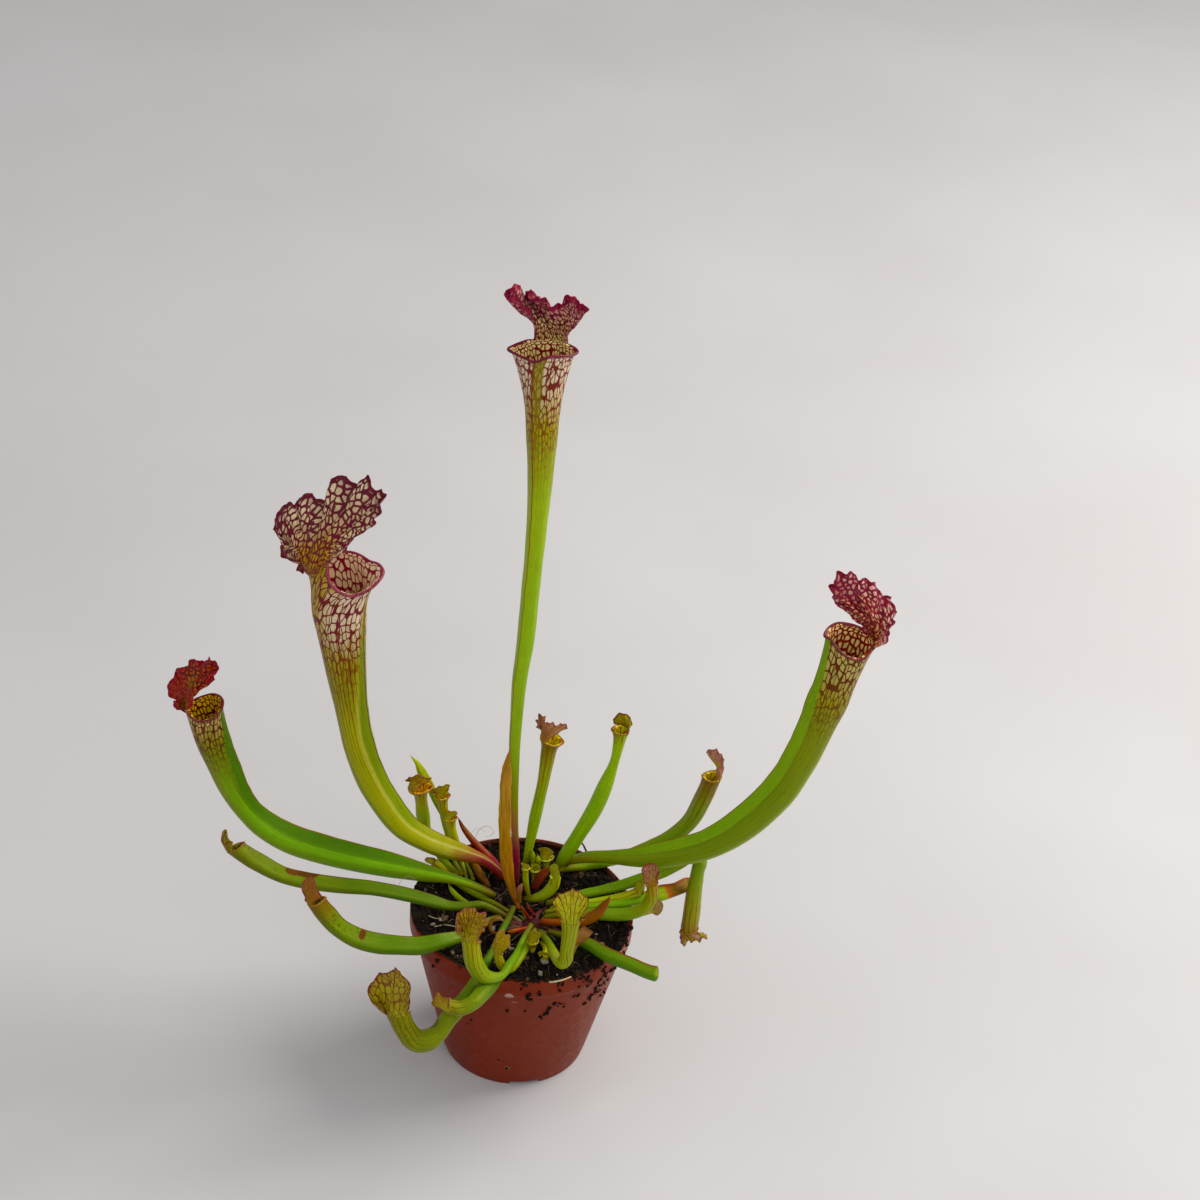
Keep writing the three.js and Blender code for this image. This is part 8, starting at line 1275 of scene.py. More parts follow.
PLAIN_LIP = dict(a="#7c7a34", b="#8a6a34")
PLAIN_IN = dict(cx=1.6, cy=2.6, y=20, th=0.1, win="#8f9a34", vein="#6a4a20")
for number, leaf in enumerate(LEAVES):
    k = LOOKS[leaf["name"]]
    seed = number + 3
    opt = {**{x: v for x, v in k.items() if x not in ("skin", "hood", "inside", "lipc", "dry")}, "seed": seed}
    if "dry" in k:
        opt["lump"] = 0.10
    shell = build_leaf(leaf, opt)
    if "dry" in k:
        mats = [dry_skin(leaf["name"] + "_dry", k["dry"], seed)]
    else:
        spine = np.array(leaf["rows"], float)[:, :3]
        length = float(np.linalg.norm(np.diff(spine, axis=0), axis=1).sum())
        mats = [skin(leaf["name"] + "_skin", {**k["skin"], "length": length}, seed, 0)]
        if leaf["kind"] == "tube":
            mats.append(inner_skin(leaf["name"] + "_inside", k.get("inside", PLAIN_IN), seed))
            mats.append(lip_skin(leaf["name"] + "_lip", k.get("lipc", PLAIN_LIP), seed))
            if leaf["hood"]:
                mats.append(hood_skin(leaf["name"] + "_hood", k["hood"], seed))
    ob = shell.make("grown_" + leaf["name"], mats)
    put(ob, leaf["name"])


# ------------------------------------------------------------------ pot
def pot_radius(z):
    yc = POT_HEIGHT - COLLAR_HEIGHT
    return BASE_RADIUS + (RIM_RADIUS - COLLAR_STEP - BASE_RADIUS) / yc * z


def arc_points(cx, cy, r, a0, a1, n):
    return [(cx + r * math.cos(math.radians(a0 + (a1 - a0) * i / n)), cy + r * math.sin(math.radians(a0 + (a1 - a0) * i / n))) for i in range(n + 1)]


def build_pot():
    yc, H, R = POT_HEIGHT - COLLAR_HEIGHT, POT_HEIGHT, RIM_RADIUS
    prof = [(0.0, 0.0), (10.0, 0.0), (20.0, 0.0)]
    prof += arc_points(BASE_RADIUS - 0.9, 0.9, 0.9, -90, -5, 5)
    for z in np.linspace(4, yc - 1.4, 26):
        prof.append((pot_radius(z), z))
    prof += [(pot_radius(yc - 0.7) + 0.05, yc - 0.7), (pot_radius(yc - 0.25) + 0.22, yc - 0.25), (R - 0.75, yc + 0.02), (R - 0.3, yc + 0.25), (R - 0.05, yc + 0.7)]
    prof += [(R, z) for z in np.linspace(yc + 1.2, H - 1.0, 7)]
    prof += arc_points(R - 0.55, H - 0.55, 0.55, 0, 90, 5)
    prof += arc_points(R - POT_WALL - 0.45, H - 0.55, 0.55, 90, 180, 5)
    prof += [(R - POT_WALL - 1.0, z) for z in (H - 1.6, H - 4.0, yc + 0.5)]
    prof += [(pot_radius(z) - POT_WALL, z) for z in (yc - 1.0, 40.0, 20.0, POT_FLOOR + 1.0)]
    prof += [(pot_radius(POT_FLOOR) - POT_WALL - 0.8, POT_FLOOR), (12.0, POT_FLOOR), (0.0, POT_FLOOR)]
    prof = np.array(prof)
    n = 256
    a = 2 * np.pi * np.arange(n) / n
    m = len(prof)
    ring_pts = prof[1:-1]
    # a moulded pot is never quite round
    wob = 1 + 0.0022 * np.cos(2 * a + 0.7) + 0.0009 * np.cos(3 * a + 2.0)
    z = ring_pts[:, 1][:, None]
    squeeze = 1 + (wob[None, :] - 1) * (z / POT_HEIGHT) - 0.0022 * (z / POT_HEIGHT)
    P = np.stack([ring_pts[:, 0][:, None] * squeeze * np.cos(a)[None, :], ring_pts[:, 0][:, None] * squeeze * np.sin(a)[None, :], np.broadcast_to(z, (len(ring_pts), n))], -1)
    sh = Shell()
    length = np.concatenate([[0], np.cumsum(np.linalg.norm(np.diff(ring_pts, axis=0), axis=1))])
    au = np.append(a, 2 * np.pi)
    U1 = np.stack(np.broadcast_arrays(au[None, :] * 40.0, length[:, None]), -1)
    U2 = np.stack(np.broadcast_arrays(au[None, :] / (2 * np.pi), (length / length[-1])[:, None]), -1)
    st = sh.grid(P, U1, U2, 0, wrap=True)
    sh.fan((0, 0, 0), st, n, (0, 0), (0, 0), 0)
    sh.fan((0, 0, POT_FLOOR), st + (len(ring_pts) - 1) * n, n, (0, 0), (0, 1), 0, flip=True)
    ob = sh.make("moulded_pot", [])
    # the drain slots
    verts, faces = [], []
    for i in range(DRAIN_SLOTS):
        t = 2 * math.pi * i / DRAIN_SLOTS + math.radians(DRAIN_TURN)
        c, s = math.cos(t), math.sin(t)
        base = len(verts)
        for x in (BASE_RADIUS - 3.9, BASE_RADIUS + 5.1):
            for y in (-DRAIN_WIDTH / 2, DRAIN_WIDTH / 2):
                for zz in (-1.0, DRAIN_HEIGHT):
                    verts.append(((x * c - y * s) * MM, (x * s + y * c) * MM, zz * MM))
        for q in ((0, 1, 3, 2), (4, 6, 7, 5), (0, 4, 5, 1), (2, 3, 7, 6), (0, 2, 6, 4), (1, 5, 7, 3)):
            faces.append([base + k for k in q])
    cm = bpy.data.meshes.new("slots")
    cm.from_pydata(verts, [], faces)
    cutter = bpy.data.objects.new("slots", cm)
    bpy.context.scene.collection.objects.link(cutter)
    mod = ob.modifiers.new("slots", "BOOLEAN")
    mod.operation, mod.object, mod.solver = "DIFFERENCE", cutter, "EXACT"
    dg = bpy.context.evaluated_depsgraph_get()
    done = bpy.data.meshes.new_from_object(ob.evaluated_get(dg))
    ob.modifiers.clear()
    ob.data = done
    done.name = "moulded_pot"
    bpy.data.objects.remove(cutter)
    done.materials.clear()
    done.materials.append(pot_skin())
    done.polygons.foreach_set("use_smooth", np.ones(len(done.polygons), bool))
    done.set_sharp_from_angle(angle=math.radians(38))
    return put(ob, "pot")


def pot_skin():
    t = Tree("pot_plastic", 0.5)
    mm = t.place()
    sep = t.t.nodes.new("ShaderNodeSeparateXYZ")
    t.t.links.new(mm, sep.inputs[0])
    X, Y, Z = sep.outputs
    # painted light: the pot is painted lighter towards its right side and darker towards its left, as the key light
    # falls
    base = t.mix(t.step(X, -34.0, 38.0), C("#761c02"), C("#7c2a10"))
    cloud = t.noise(mm, 0.035, 3, 0.55)
    base = t.mix(t.step(cloud, 0.35, 0.7, 0.0, 0.45), base, C("#681c06"))
    flow = t.noise(t.vec(t.math("MULTIPLY", X, 0.16), t.math("MULTIPLY", Y, 0.16), t.math("MULTIPLY", Z, 0.02)), 1.0, 3, 0.55)
    base = t.mix(t.step(flow, 0.45, 0.75, 0.0, 0.22), base, C("#8c341a"))
    # dried drips and dust below the collar
    dust = t.noise(mm, 0.5, 4, 0.7)
    low = t.step(Z, 0.0, 20.0, 0.35, 0.0)
    high = t.step(Z, 40.0, 66.0, 0.0, 0.28)
    base = t.mix(t.math("MULTIPLY", t.step(dust, 0.48, 0.72), t.math("ADD", low, high)), base, C("#5a2c20"))
    base = t.mix(t.step(t.noise(mm, 1.9, 2, 0.6), 0.66, 0.78, 0.0, 0.3), base, C("#3c1c14"))
    base = t.mix(t.step(t.noise(mm, 0.24, 3, 0.6), 0.58, 0.75, 0.0, 0.16), base, C("#98523c"))

    def near(px, py, pz, r, soft=0.3, squash=(1, 1, 1)):
        v = t.t.nodes.new("ShaderNodeVectorMath")
        v.operation = "SUBTRACT"
        t.put(v.inputs[0], mm)
        v.inputs[1].default_value = (px, py, pz)
        w = t.t.nodes.new("ShaderNodeVectorMath")
        w.operation = "MULTIPLY"
        t.put(w.inputs[0], v.outputs[0])
        w.inputs[1].default_value = squash
        n = t.t.nodes.new("ShaderNodeVectorMath")
        n.operation = "LENGTH"
        t.put(n.inputs[0], w.outputs[0])
        d = t.math("ADD", n.outputs["Value"], t.math("MULTIPLY", t.math("SUBTRACT", t.noise(mm, 1.1, 2, 0.5), 0.5), 0.5))
        return d, t.step(d, r, r * (1 - soft))

    # a dried pale spot with a darker middle, and a scratch under it
    d, spot = near(-1.6, -44.9, 61.6, 2.1, 0.25, (1, 0.3, 1))
    base = t.mix(t.math("MULTIPLY", spot, 0.85), base, C("#b09a88"))
    base = t.mix(t.math("MULTIPLY", t.step(d, 1.0, 0.6), 0.6), base, C("#8a6048"))
    _, scratch = near(0.6, -42.6, 57.2, 1.7, 0.3, (0.9, 0.2, 6.0))
    base = t.mix(t.math("MULTIPLY", scratch, 0.6), base, C("#b08a7c"))
    _, red = near(24.2, -19.9, 9.0, 3.4, 0.5)
    base = t.mix(t.math("MULTIPLY", red, 0.7), base, C("#7c1c10"))
    _, nod = near(-0.9, -32.1, 11.6, 1.4, 0.4)
    base = t.mix(t.math("MULTIPLY", nod, 0.8), base, C("#8a6440"))
    # the inner face of the rim, above the peat, is painted very dark, varied by noise
    far = t.math("SQRT", t.math("ADD", t.math("MULTIPLY", X, X), t.math("MULTIPLY", Y, Y)))
    rim_inner_dark = t.math("MULTIPLY", t.step(far, 44.3, 43.7), t.step(Z, 61.6, 62.4))
    base = t.mix(t.math("MULTIPLY", rim_inner_dark, t.step(t.noise(mm, 0.35, 4, 0.65), 0.25, 0.55, 0.55, 0.97)), base, C("#2a140b"))
    rough = t.line(t.noise(mm, 0.30, 4, 0.65), 0.3, 0.7, 0.36, 0.56)
    grain = t.noise(mm, 3.2, 2, 0.6)
    rings = t.noise(t.vec(0.0, 0.0, t.math("MULTIPLY", Z, 2.4)), 1.0, 2, 0.6)
    n1 = t.bump(grain, 0.10, 0.0002)
    n2 = t.bump(rings, 0.07, 0.0003, n1)
    n3 = t.bump(t.noise(mm, 0.09, 2, 0.5), 0.25, 0.0010, n2)
    t.b.inputs["Specular IOR Level"].default_value = 0.22
    return t.finish(base, rough, n3, (1.0, 0.45, 0.22, 1.0))


build_pot()


# ------------------------------------------------------------------ peat
def soil_z(x, y):
    r = np.hypot(x, y)
    z = SOIL_LEVEL + 0.5 * np.sin(x * 0.31 + 1.0) * np.cos(y * 0.27) + 0.3 * np.sin(x * 0.83 - y * 0.61) - 0.9 * smooth((r - 34) / 8) * smooth((4 - y) / 12) + 0.7 * smooth((r - 34) / 8) * smooth((y - 4) / 12)
    # heaped towards the front and the right, with a mound at the back right
    z = z + 1.3 * smooth((-y - 8) / 30) + 1.5 * smooth((x * 0.75 - y * 0.65 - 14) / 26)
    z = z + 3.2 * np.exp(-(((x - 31) / 8.5) ** 2 + ((y - 20) / 7.5) ** 2))
    z = z + 1.0 * np.exp(-(((x - 21) / 4.0) ** 2 + ((y - 22) / 4.0) ** 2))
    z = z - 1.2 * smooth((-x - 12) / 25) * smooth((y + 12) / 30)
    # in places the peat lies over the rim
    over = rim_cover(np.arctan2(y, x))
    return z + (70.3 - z) * over * smooth((r - 37.0) / 5.5)


def rim_cover(a):
    """How far the peat has spread over the rim, by direction."""
    left = np.exp(-((np.mod(a - math.radians(185) + np.pi, 2 * np.pi) - np.pi) / 0.62) ** 2)
    right = np.exp(-((np.mod(a - math.radians(318) + np.pi, 2 * np.pi) - np.pi) / 0.42) ** 2)
    ragged = 0.5 * np.sin(a * 23 + 1.0) * np.sin(a * 41) + 0.3 * np.sin(a * 67 + 2.0)
    return np.clip(1.5 * np.maximum(left, 0.95 * right) - 0.35 + 0.22 * ragged, 0.0, 1.0)


def soil_detail(x, y):
    z0 = np.zeros_like(x)
    big = fbm(x, y, z0, 0.16, 3, 11)
    mid = np.abs(fbm(x, y, z0 + 4, 0.55, 3, 23))
    small = fbm(x, y, z0 + 9, 1.5, 3, 37)
    return 0.9 * big + 1.3 * (0.35 - mid) + 0.45 * small


def build_soil():
    top = RIM_RADIUS - POT_WALL - 1.0 - 0.25
    rr = np.concatenate([np.linspace(0.3, top, 150)])
    n = 420
    a = 2 * np.pi * np.arange(n) / n
    spread = 1 + rim_cover(a) * (RIM_RADIUS - 0.25 - top) / top
    R = rr[:, None] * (1 + (spread - 1)[None, :] * (rr[:, None] / top) ** 12)
    X, Y = R * np.cos(a), R * np.sin(a)
    Z = soil_z(X, Y) + soil_detail(X, Y)
    Z = np.where(R > RIM_RADIUS - POT_WALL - 0.6, np.maximum(Z, POT_HEIGHT + 0.12), Z)
    P = np.stack([X, Y, Z], -1)
    down = P[-1:].copy()
    down[..., 2] = 63.0
    down2 = down.copy()
    down2[..., :2] *= 0.97
    P = np.concatenate([P, down, down2], 0)
    U = np.stack([np.concatenate([P[..., 0], P[:, :1, 0]], 1), np.concatenate([P[..., 1], P[:, :1, 1]], 1)], -1)
    sh = Shell()
    st = sh.grid(P, U, U * 0.01, 0, wrap=True, flip=True)
    sh.fan((0, 0, float(Z[0].mean())), st, n, (0, 0), (0, 0), 0, flip=True)
    sh.fan((0, 0, 58.0), st + (len(P) - 1) * n, n, (0, 0), (0, 0), 0)
    ob = sh.make("peat", [soil_skin("peat_ground", 0)])
    # the peat takes the place of the construction solid of the soil, which is hidden
    return put(ob, "soil")


def soil_skin(name, kind):
    t = Tree(name, 0.9)
    mm = t.place()
    a = t.noise(mm, 0.45, 5, 0.7)
    b = t.noise(mm, 1.7, 4, 0.7)
    col = t.mix(t.step(a, 0.35, 0.7), C("#0f0b08"), C("#231911"))
    col = t.mix(t.step(b, 0.58, 0.75, 0.0, 0.6), col, C("#3c2a1a"))
    grit = t.cells(mm, 0.75, "F1", 1.0, "3D")
    col = t.mix(t.math("MULTIPLY", t.step(grit.outputs["Distance"], 0.32, 0.18), t.step(t.noise(mm, 0.33, 2, 0.5), 0.55, 0.7)), col, C("#4c3620"))
    moss = t.math("MULTIPLY", t.step(t.noise(mm, 0.11, 2, 0.5), 0.60, 0.70), t.step(b, 0.4, 0.6))
    col = t.mix(t.math("MULTIPLY", moss, 0.35), col, C("#4c5a1c"))
    if kind:
        rnd = t.attr("wing")
        col = t.mix(t.step(rnd, 0.55, 1.0, 0.0, 0.75), col, C("#4c3423"))
        col = t.mix(t.step(rnd, 0.93, 0.97), col, C("#8a7050"))
        col = t.mix(t.step(rnd, 0.975, 0.98), col, C("#b8ac94"))
    rough = t.line(b, 0.3, 0.7, 0.72, 0.98)
    n1 = t.bump(a, 0.8, 0.0014)
    n2 = t.bump(b, 0.7, 0.0007, n1)
    t.b.inputs["Specular IOR Level"].default_value = 0.15
    return t.finish(t.vivid(col, 1.1, 0.8), rough, n2)


build_soil()

# one faceted grain, reused with its own size, turn and roughness
GOLD = (1 + 5 ** 0.5) / 2
ICO = unit(np.array([(-1, GOLD, 0), (1, GOLD, 0), (-1, -GOLD, 0), (1, -GOLD, 0), (0, -1, GOLD), (0, 1, GOLD), (0, -1, -GOLD), (0, 1, -GOLD), (GOLD, 0, -1), (GOLD, 0, 1), (-GOLD, 0, -1), (-GOLD, 0, 1)]))
ICO_F = [(0, 11, 5), (0, 5, 1), (0, 1, 7), (0, 7, 10), (0, 10, 11), (1, 5, 9), (5, 11, 4), (11, 10, 2), (10, 7, 6), (7, 1, 8), (3, 9, 4), (3, 4, 2), (3, 2, 6), (3, 6, 8), (3, 8, 9), (4, 9, 5), (2, 4, 11), (6, 2, 10), (8, 6, 7), (9, 8, 1)]


def finer(V, F):
    V, made, out = [tuple(v) for v in V], {}, []

    def mid(i, j):
        key = (min(i, j), max(i, j))
        if key not in made:
            made[key] = len(V)
            V.append(tuple(unit((np.array(V[i]) + np.array(V[j]))[None])[0]))
        return made[key]

    for a, b, c in F:
        x, y, z = mid(a, b), mid(b, c), mid(c, a)
        out += [(a, x, z), (b, y, x), (c, z, y), (x, y, z)]
    return np.array(V), out


ICO1, ICO1_F = finer(ICO, ICO_F)


def grains(name, places, material, seed):
    """places: rows of x, y, z, radius, tone in millimetres; each becomes one rough grain."""
    rng = np.random.default_rng(seed)
    V, F, W = [], [], []
    for i, (x, y, z, r, tone) in enumerate(places):
        stretch = rng.uniform(0.55, 1.45, 3)
        q = unit(rng.normal(size=(1, 4)))[0]
        w, a, b, c = q
        M = np.array([[1 - 2 * (b * b + c * c), 2 * (a * b - c * w), 2 * (a * c + b * w)], [2 * (a * b + c * w), 1 - 2 * (a * a + c * c), 2 * (b * c - a * w)], [2 * (a * c - b * w), 2 * (b * c + a * w), 1 - 2 * (a * a + b * b)]])
        bump = 1 + 0.38 * lattice(ICO1[:, 0] * 2.2 + i, ICO1[:, 1] * 2.2, ICO1[:, 2] * 2.2 + 2 * i, seed)
        P = (ICO1 * bump[:, None] * stretch * r) @ M.T + np.array([x, y, z])
        base = i * len(ICO1)
        V.append(P)
        F += [(base + p, base + q2, base + s) for p, q2, s in ICO1_F]
        W.append(np.full(len(ICO1), tone))
    me = bpy.data.meshes.new(name)
    me.from_pydata((np.vstack(V) * MM).tolist(), [], F)
    at = me.attributes.new("wing", "FLOAT", "POINT")
    at.data.foreach_set("value", np.concatenate(W).astype(np.float32))
    me.materials.append(material)
    ob = bpy.data.objects.new(name, me)
    bpy.context.scene.collection.objects.link(ob)
    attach(ob, "root")
    return ob


def scatter():
    rng = np.random.default_rng(41)
    out = []
    while len(out) < 2300:
        x, y = rng.uniform(-42, 42, 2)
        r = math.hypot(x, y)
        if r > 41.6:
            continue
        size = 0.28 + 1.05 * rng.random() ** 3
        z = float(soil_z(np.array([x]), np.array([y]))[0] + soil_detail(np.array([x]), np.array([y]))[0])
        out.append((x, y, z + size * 0.25, size, rng.random()))
    # heaped crumbs along the rim, at the front and the right
    for _ in range(330):
        t = math.radians(rng.normal(-42, 24))
        r = 41.2 + rng.random() ** 0.8 * 3.6
        size = 0.3 + 0.75 * rng.random() ** 2
        out.append((r * math.cos(t), r * math.sin(t), 69.0 + size * 0.35 + 0.5 * rng.random(), size, rng.random() * 0.9))
    for _ in range(90):
        t = math.radians(rng.uniform(0, 360))
        r = 42.2 + rng.random() * 2.0
        size = 0.2 + 0.35 * rng.random()
        out.append((r * math.cos(t), r * math.sin(t), 69.25 + size * 0.3, size, rng.random() * 0.9))
    return out


# crumbs that stick to the wall: angle from +X in degrees, height, spread of the patch, number of grains
WALL_PATCHES = [(-85, 68.4, 2.0, 8), (-77.5, 64.4, 1.6, 7), (-81, 59.6, 2.0, 11), (-82, 62.8, 1.4, 7), (-83.5, 51.7, 0.9, 3), (-93, 51.6, 0.6, 2), (-68, 54.7, 1.0, 4), (-63, 53.4, 1.3, 6),
                (-61, 50.9, 0.8, 3), (-70, 52.3, 1.2, 6), (-71.5, 49.8, 1.2, 7), (-73.5, 47.4, 1.1, 5), (-56.5, 55.8, 0.7, 3), (-52.8, 55.6, 0.9, 4), (-51.5, 65.4, 2.2, 15), (-54, 68.1, 1.8, 12),
                (-49, 62.1, 1.6, 9), (-42, 51.0, 2.0, 14), (-43.5, 50.0, 1.4, 8), (-41, 54.4, 1.6, 10), (-36, 49.9, 1.3, 6), (-34.5, 53.3, 1.8, 11), (-38.5, 58.2, 1.4, 7), (-29, 52.5, 1.5, 8),
                (-38.5, 62.1, 1.6, 9), (-33.5, 62.8, 1.7, 10), (-30, 61.7, 1.5, 8), (-27, 66.0, 2.0, 12), (-22, 64.0, 1.8, 9), (-118.6, 35.2, 0.4, 1), (-115.4, 38.6, 0.5, 2), (-97.5, 16.4, 0.4, 1),
                (-91.5, 11.6, 0.5, 1), (-70.2, 17.3, 0.4, 1), (-134, 66.3, 1.0, 4), (-137, 62.1, 0.6, 2), (-66.4, 64.3, 0.8, 3), (-46, 47.6, 0.7, 3), (-56, 63.2, 0.8, 3), (-27, 45.1, 0.8, 4),
                (-30.8, 44.3, 0.7, 3), (-58, 68.4, 1.6, 9), (-66, 67.6, 1.4, 6), (-45, 67.9, 2.2, 14), (-40, 66.0, 1.8, 10), (-18, 67.5, 1.4, 6), (150, 64, 0.8, 3), (95, 60, 0.6, 2), (40, 62, 1.0, 5), (15, 58, 0.8, 4)]


def wall_grains():
    rng = np.random.default_rng(77)
    out = []
    for ang, z, spread, count in WALL_PATCHES:
        for _ in range(count):
            zz = min(69.0, max(1.0, z + rng.normal(0, spread * 0.5)))
            R = RIM_RADIUS if zz >= POT_HEIGHT - COLLAR_HEIGHT else pot_radius(zz)
            aa = math.radians(ang + math.degrees(rng.normal(0, spread * 0.5) / R))
            size = 0.22 + 0.5 * rng.random() ** 1.6
            rad = R - 0.1 + size * 0.2
            out.append((rad * math.cos(aa), rad * math.sin(aa), zz, size, rng.random() * 0.8))
    return out


CRUMB = soil_skin("peat_crumbs", 1)
grains("peat_crumbs", scatter(), CRUMB, 5)
grains("peat_on_wall", wall_grains(), CRUMB, 6)


def strands(name, lines, material, sides=6):
    """Thin bent rootlets and fibres. Each line: points in millimetres, radius at its ends."""
    sh = Shell()
    for pts, r0, r1 in lines:
        c = rounded(pts, per=5)
        T = unit(np.gradient(c, axis=0))
        ref = np.array([0.3, 0.2, 1.0]) if abs(T[0][2]) < 0.9 else np.array([1.0, 0.2, 0.1])
        N = unit(ref[None] - T * (T @ ref)[:, None])
        B = np.cross(T, N)
        a = 2 * np.pi * np.arange(sides) / sides
        r = np.linspace(r0, r1, len(c))[:, None, None]
        P = c[:, None, :] + r * (N[:, None, :] * np.cos(a)[None, :, None] + B[:, None, :] * np.sin(a)[None, :, None])
        U = np.zeros((len(c), sides + 1, 2))
        U[..., 0] = np.arange(sides + 1)[None, :]
        U[..., 1] = np.arange(len(c))[:, None]
        st = sh.grid(P, U, U * 0.01, 0, wrap=True)
        sh.fan(c[0], st, sides, (0, 0), (0, 0), 0)
        sh.fan(c[-1], st + (len(c) - 1) * sides, sides, (0, 0), (0, 0), 0, flip=True)
    ob = sh.make(name, [material])
    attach(ob, "root")
    return ob


def plain_fibre(name, a, b, rough=0.7):
    t = Tree(name, rough)
    mm = t.place()
    n = t.noise(mm, 1.2, 3, 0.6)
    return t.finish(t.mix(t.step(n, 0.3, 0.7), C(a), C(b)), rough, t.bump(n, 0.3, 0.0002))


def fibres():
    rng = np.random.default_rng(9)
    out = []
    for _ in range(150):
        x, y = rng.uniform(-38, 38, 2)
        if math.hypot(x, y) > 40:
            continue
        a = rng.uniform(0, 2 * math.pi)
        length = rng.uniform(2.5, 8.0)
        pts = []
        for i in range(5):
            a += rng.normal(0, 0.35)
            z = float(soil_z(np.array([x]), np.array([y]))[0] + soil_detail(np.array([x]), np.array([y]))[0])
            pts.append((x, y, z + 0.35 + 0.5 * rng.random()))
            x += math.cos(a) * length / 4
            y += math.sin(a) * length / 4
            if math.hypot(x, y) > 41.5:
                break
        if len(pts) > 2:
            out.append((pts, rng.uniform(0.08, 0.2), 0.06))
    return out


strands("peat_fibres", fibres(), plain_fibre("dry_fibre", "#4a3320", "#8a6a44"))
HAIRS = [
    ([(-41.5, 0, 68.2), (-43.9, 0.3, 69.9), (-47.2, 0, 68.6), (-49.8, 0, 71.9), (-49.5, 0, 77.7), (-46.4, 0, 81.1), (-43.6, 0, 79.9)], 0.12, 0.06),
    ([(-41.0, 4, 68.5), (-44.8, 4.6, 70.2), (-48.6, 5, 67.0), (-51.5, 5, 69.5), (-52.6, 5, 74.0)], 0.10, 0.05),
    ([(-23.0, 36.5, 68.5), (-22.2, 42.0, 70.3), (-20.8, 43.2, 73.0), (-17.5, 43.4, 74.9), (-14.9, 43.0, 72.5), (-16.4, 42.5, 70.4), (-18.8, 42.0, 70.2)], 0.13, 0.06),
    ([(-20.0, 38.0, 68.3), (-24.8, 41.0, 70.4), (-22.0, 42.5, 73.9), (-18.6, 43.0, 72.2)], 0.10, 0.05),
    ([(-12.0, 39.0, 68.3), (-11.0, 42.0, 70.6), (-7.0, 43.0, 71.8), (-3.0, 42.6, 70.6)], 0.12, 0.07),
    ([(33.0, -26.0, 68.6), (37.5, -25.5, 70.3), (41.5, -22.0, 70.6), (43.8, -18.5, 70.0), (44.6, -15.0, 69.9)], 0.12, 0.07),
]
strands("root_hairs", HAIRS, plain_fibre("root_hair", "#a89878", "#c4b898"))
strands("root_pale", [([(13.6, -42.6, 69.3), (15.1, -43.2, 70.05), (17.7, -42.4, 70.25), (20.0, -41.0, 70.2), (21.9, -38.9, 69.6)], 0.42, 0.25),
                      ([(-34.0, -14.5, 68.2), (-29.9, -13.6, 68.8), (-26.5, -14.0, 68.9), (-22.8, -14.9, 68.7)], 0.30, 0.15),
                      ([(-37.0, -7.5, 67.6), (-34.0, -9.4, 68.2), (-31.5, -9.0, 68.2)], 0.25, 0.12)], plain_fibre("root_skin", "#a89468", "#d0c296"), 8)
strands("root_dark", [([(25.5, 37.0, 67.8), (24.0, 38.0, 70.2), (22.5, 38.2, 73.3), (20.7, 38.2, 75.2), (18.4, 37.8, 74.2)], 0.5, 0.25)], plain_fibre("root_bark", "#241a12", "#4a3826"), 8)
# pale lumps of perlite, bark and a little moss on the peat
LUMPS = [(22.3, 23.7, 69.0, 1.6, 0.94), (20.4, 22.3, 68.9, 1.0, 0.94), (-34.7, -12.6, 67.6, 0.9, 0.99), (-32.2, -9.3, 67.6, 0.8, 0.99), (-16.4, 39.0, 68.4, 0.8, 0.94), (30.5, -30.5, 70.3, 1.1, 0.6), (5.0, -43.0, 70.3, 0.9, 0.95), (12.0, -40.0, 70.0, 1.1, 0.7), (-24.0, -33.0, 69.6, 0.8, 0.94)]
grains("bark_and_grit", LUMPS, CRUMB, 8)


# ------------------------------------------------------------------ crown
def crown_skin():
    t = Tree("crown", 0.6)
    mm = t.place()
    a = t.noise(mm, 0.5, 4, 0.6)
    col = t.mix(t.step(a, 0.35, 0.65), C("#3c140c"), C("#4c1410"))
    col = t.mix(t.step(t.noise(mm, 1.3, 3, 0.6), 0.5, 0.75, 0.0, 0.7), col, C("#33200f"))
    col = t.mix(t.step(t.noise(mm, 0.25, 2, 0.5), 0.55, 0.7, 0.0, 0.5), col, C("#54401c"))
    t.b.inputs["Specular IOR Level"].default_value = 0.2
    return t.finish(col, 0.75, t.bump(a, 0.6, 0.0008))


def build_crown():
    V, F = ICO1, ICO1_F
    for _ in range(3):
        V, F = finer(V, F)
    n = 1 + 0.22 * fbm(V[:, 0], V[:, 1], V[:, 2], 2.2, 3, 3) + 0.10 * np.abs(fbm(V[:, 0], V[:, 1], V[:, 2], 6.0, 2, 4))
    P = V * n[:, None] * np.array([4.4, 3.6, 2.0]) + np.array([5.0, -9.5, 69.0])
    me = bpy.data.meshes.new("crown_knob")
    me.from_pydata((P * MM).tolist(), [], F)
    me.polygons.foreach_set("use_smooth", np.ones(len(me.polygons), bool))
    me.materials.append(crown_skin())
    ob = bpy.data.objects.new("crown_knob", me)
    bpy.context.scene.collection.objects.link(ob)
    return put(ob, "crown")


build_crown()

# ------------------------------------------------------------------ floor, light and camera


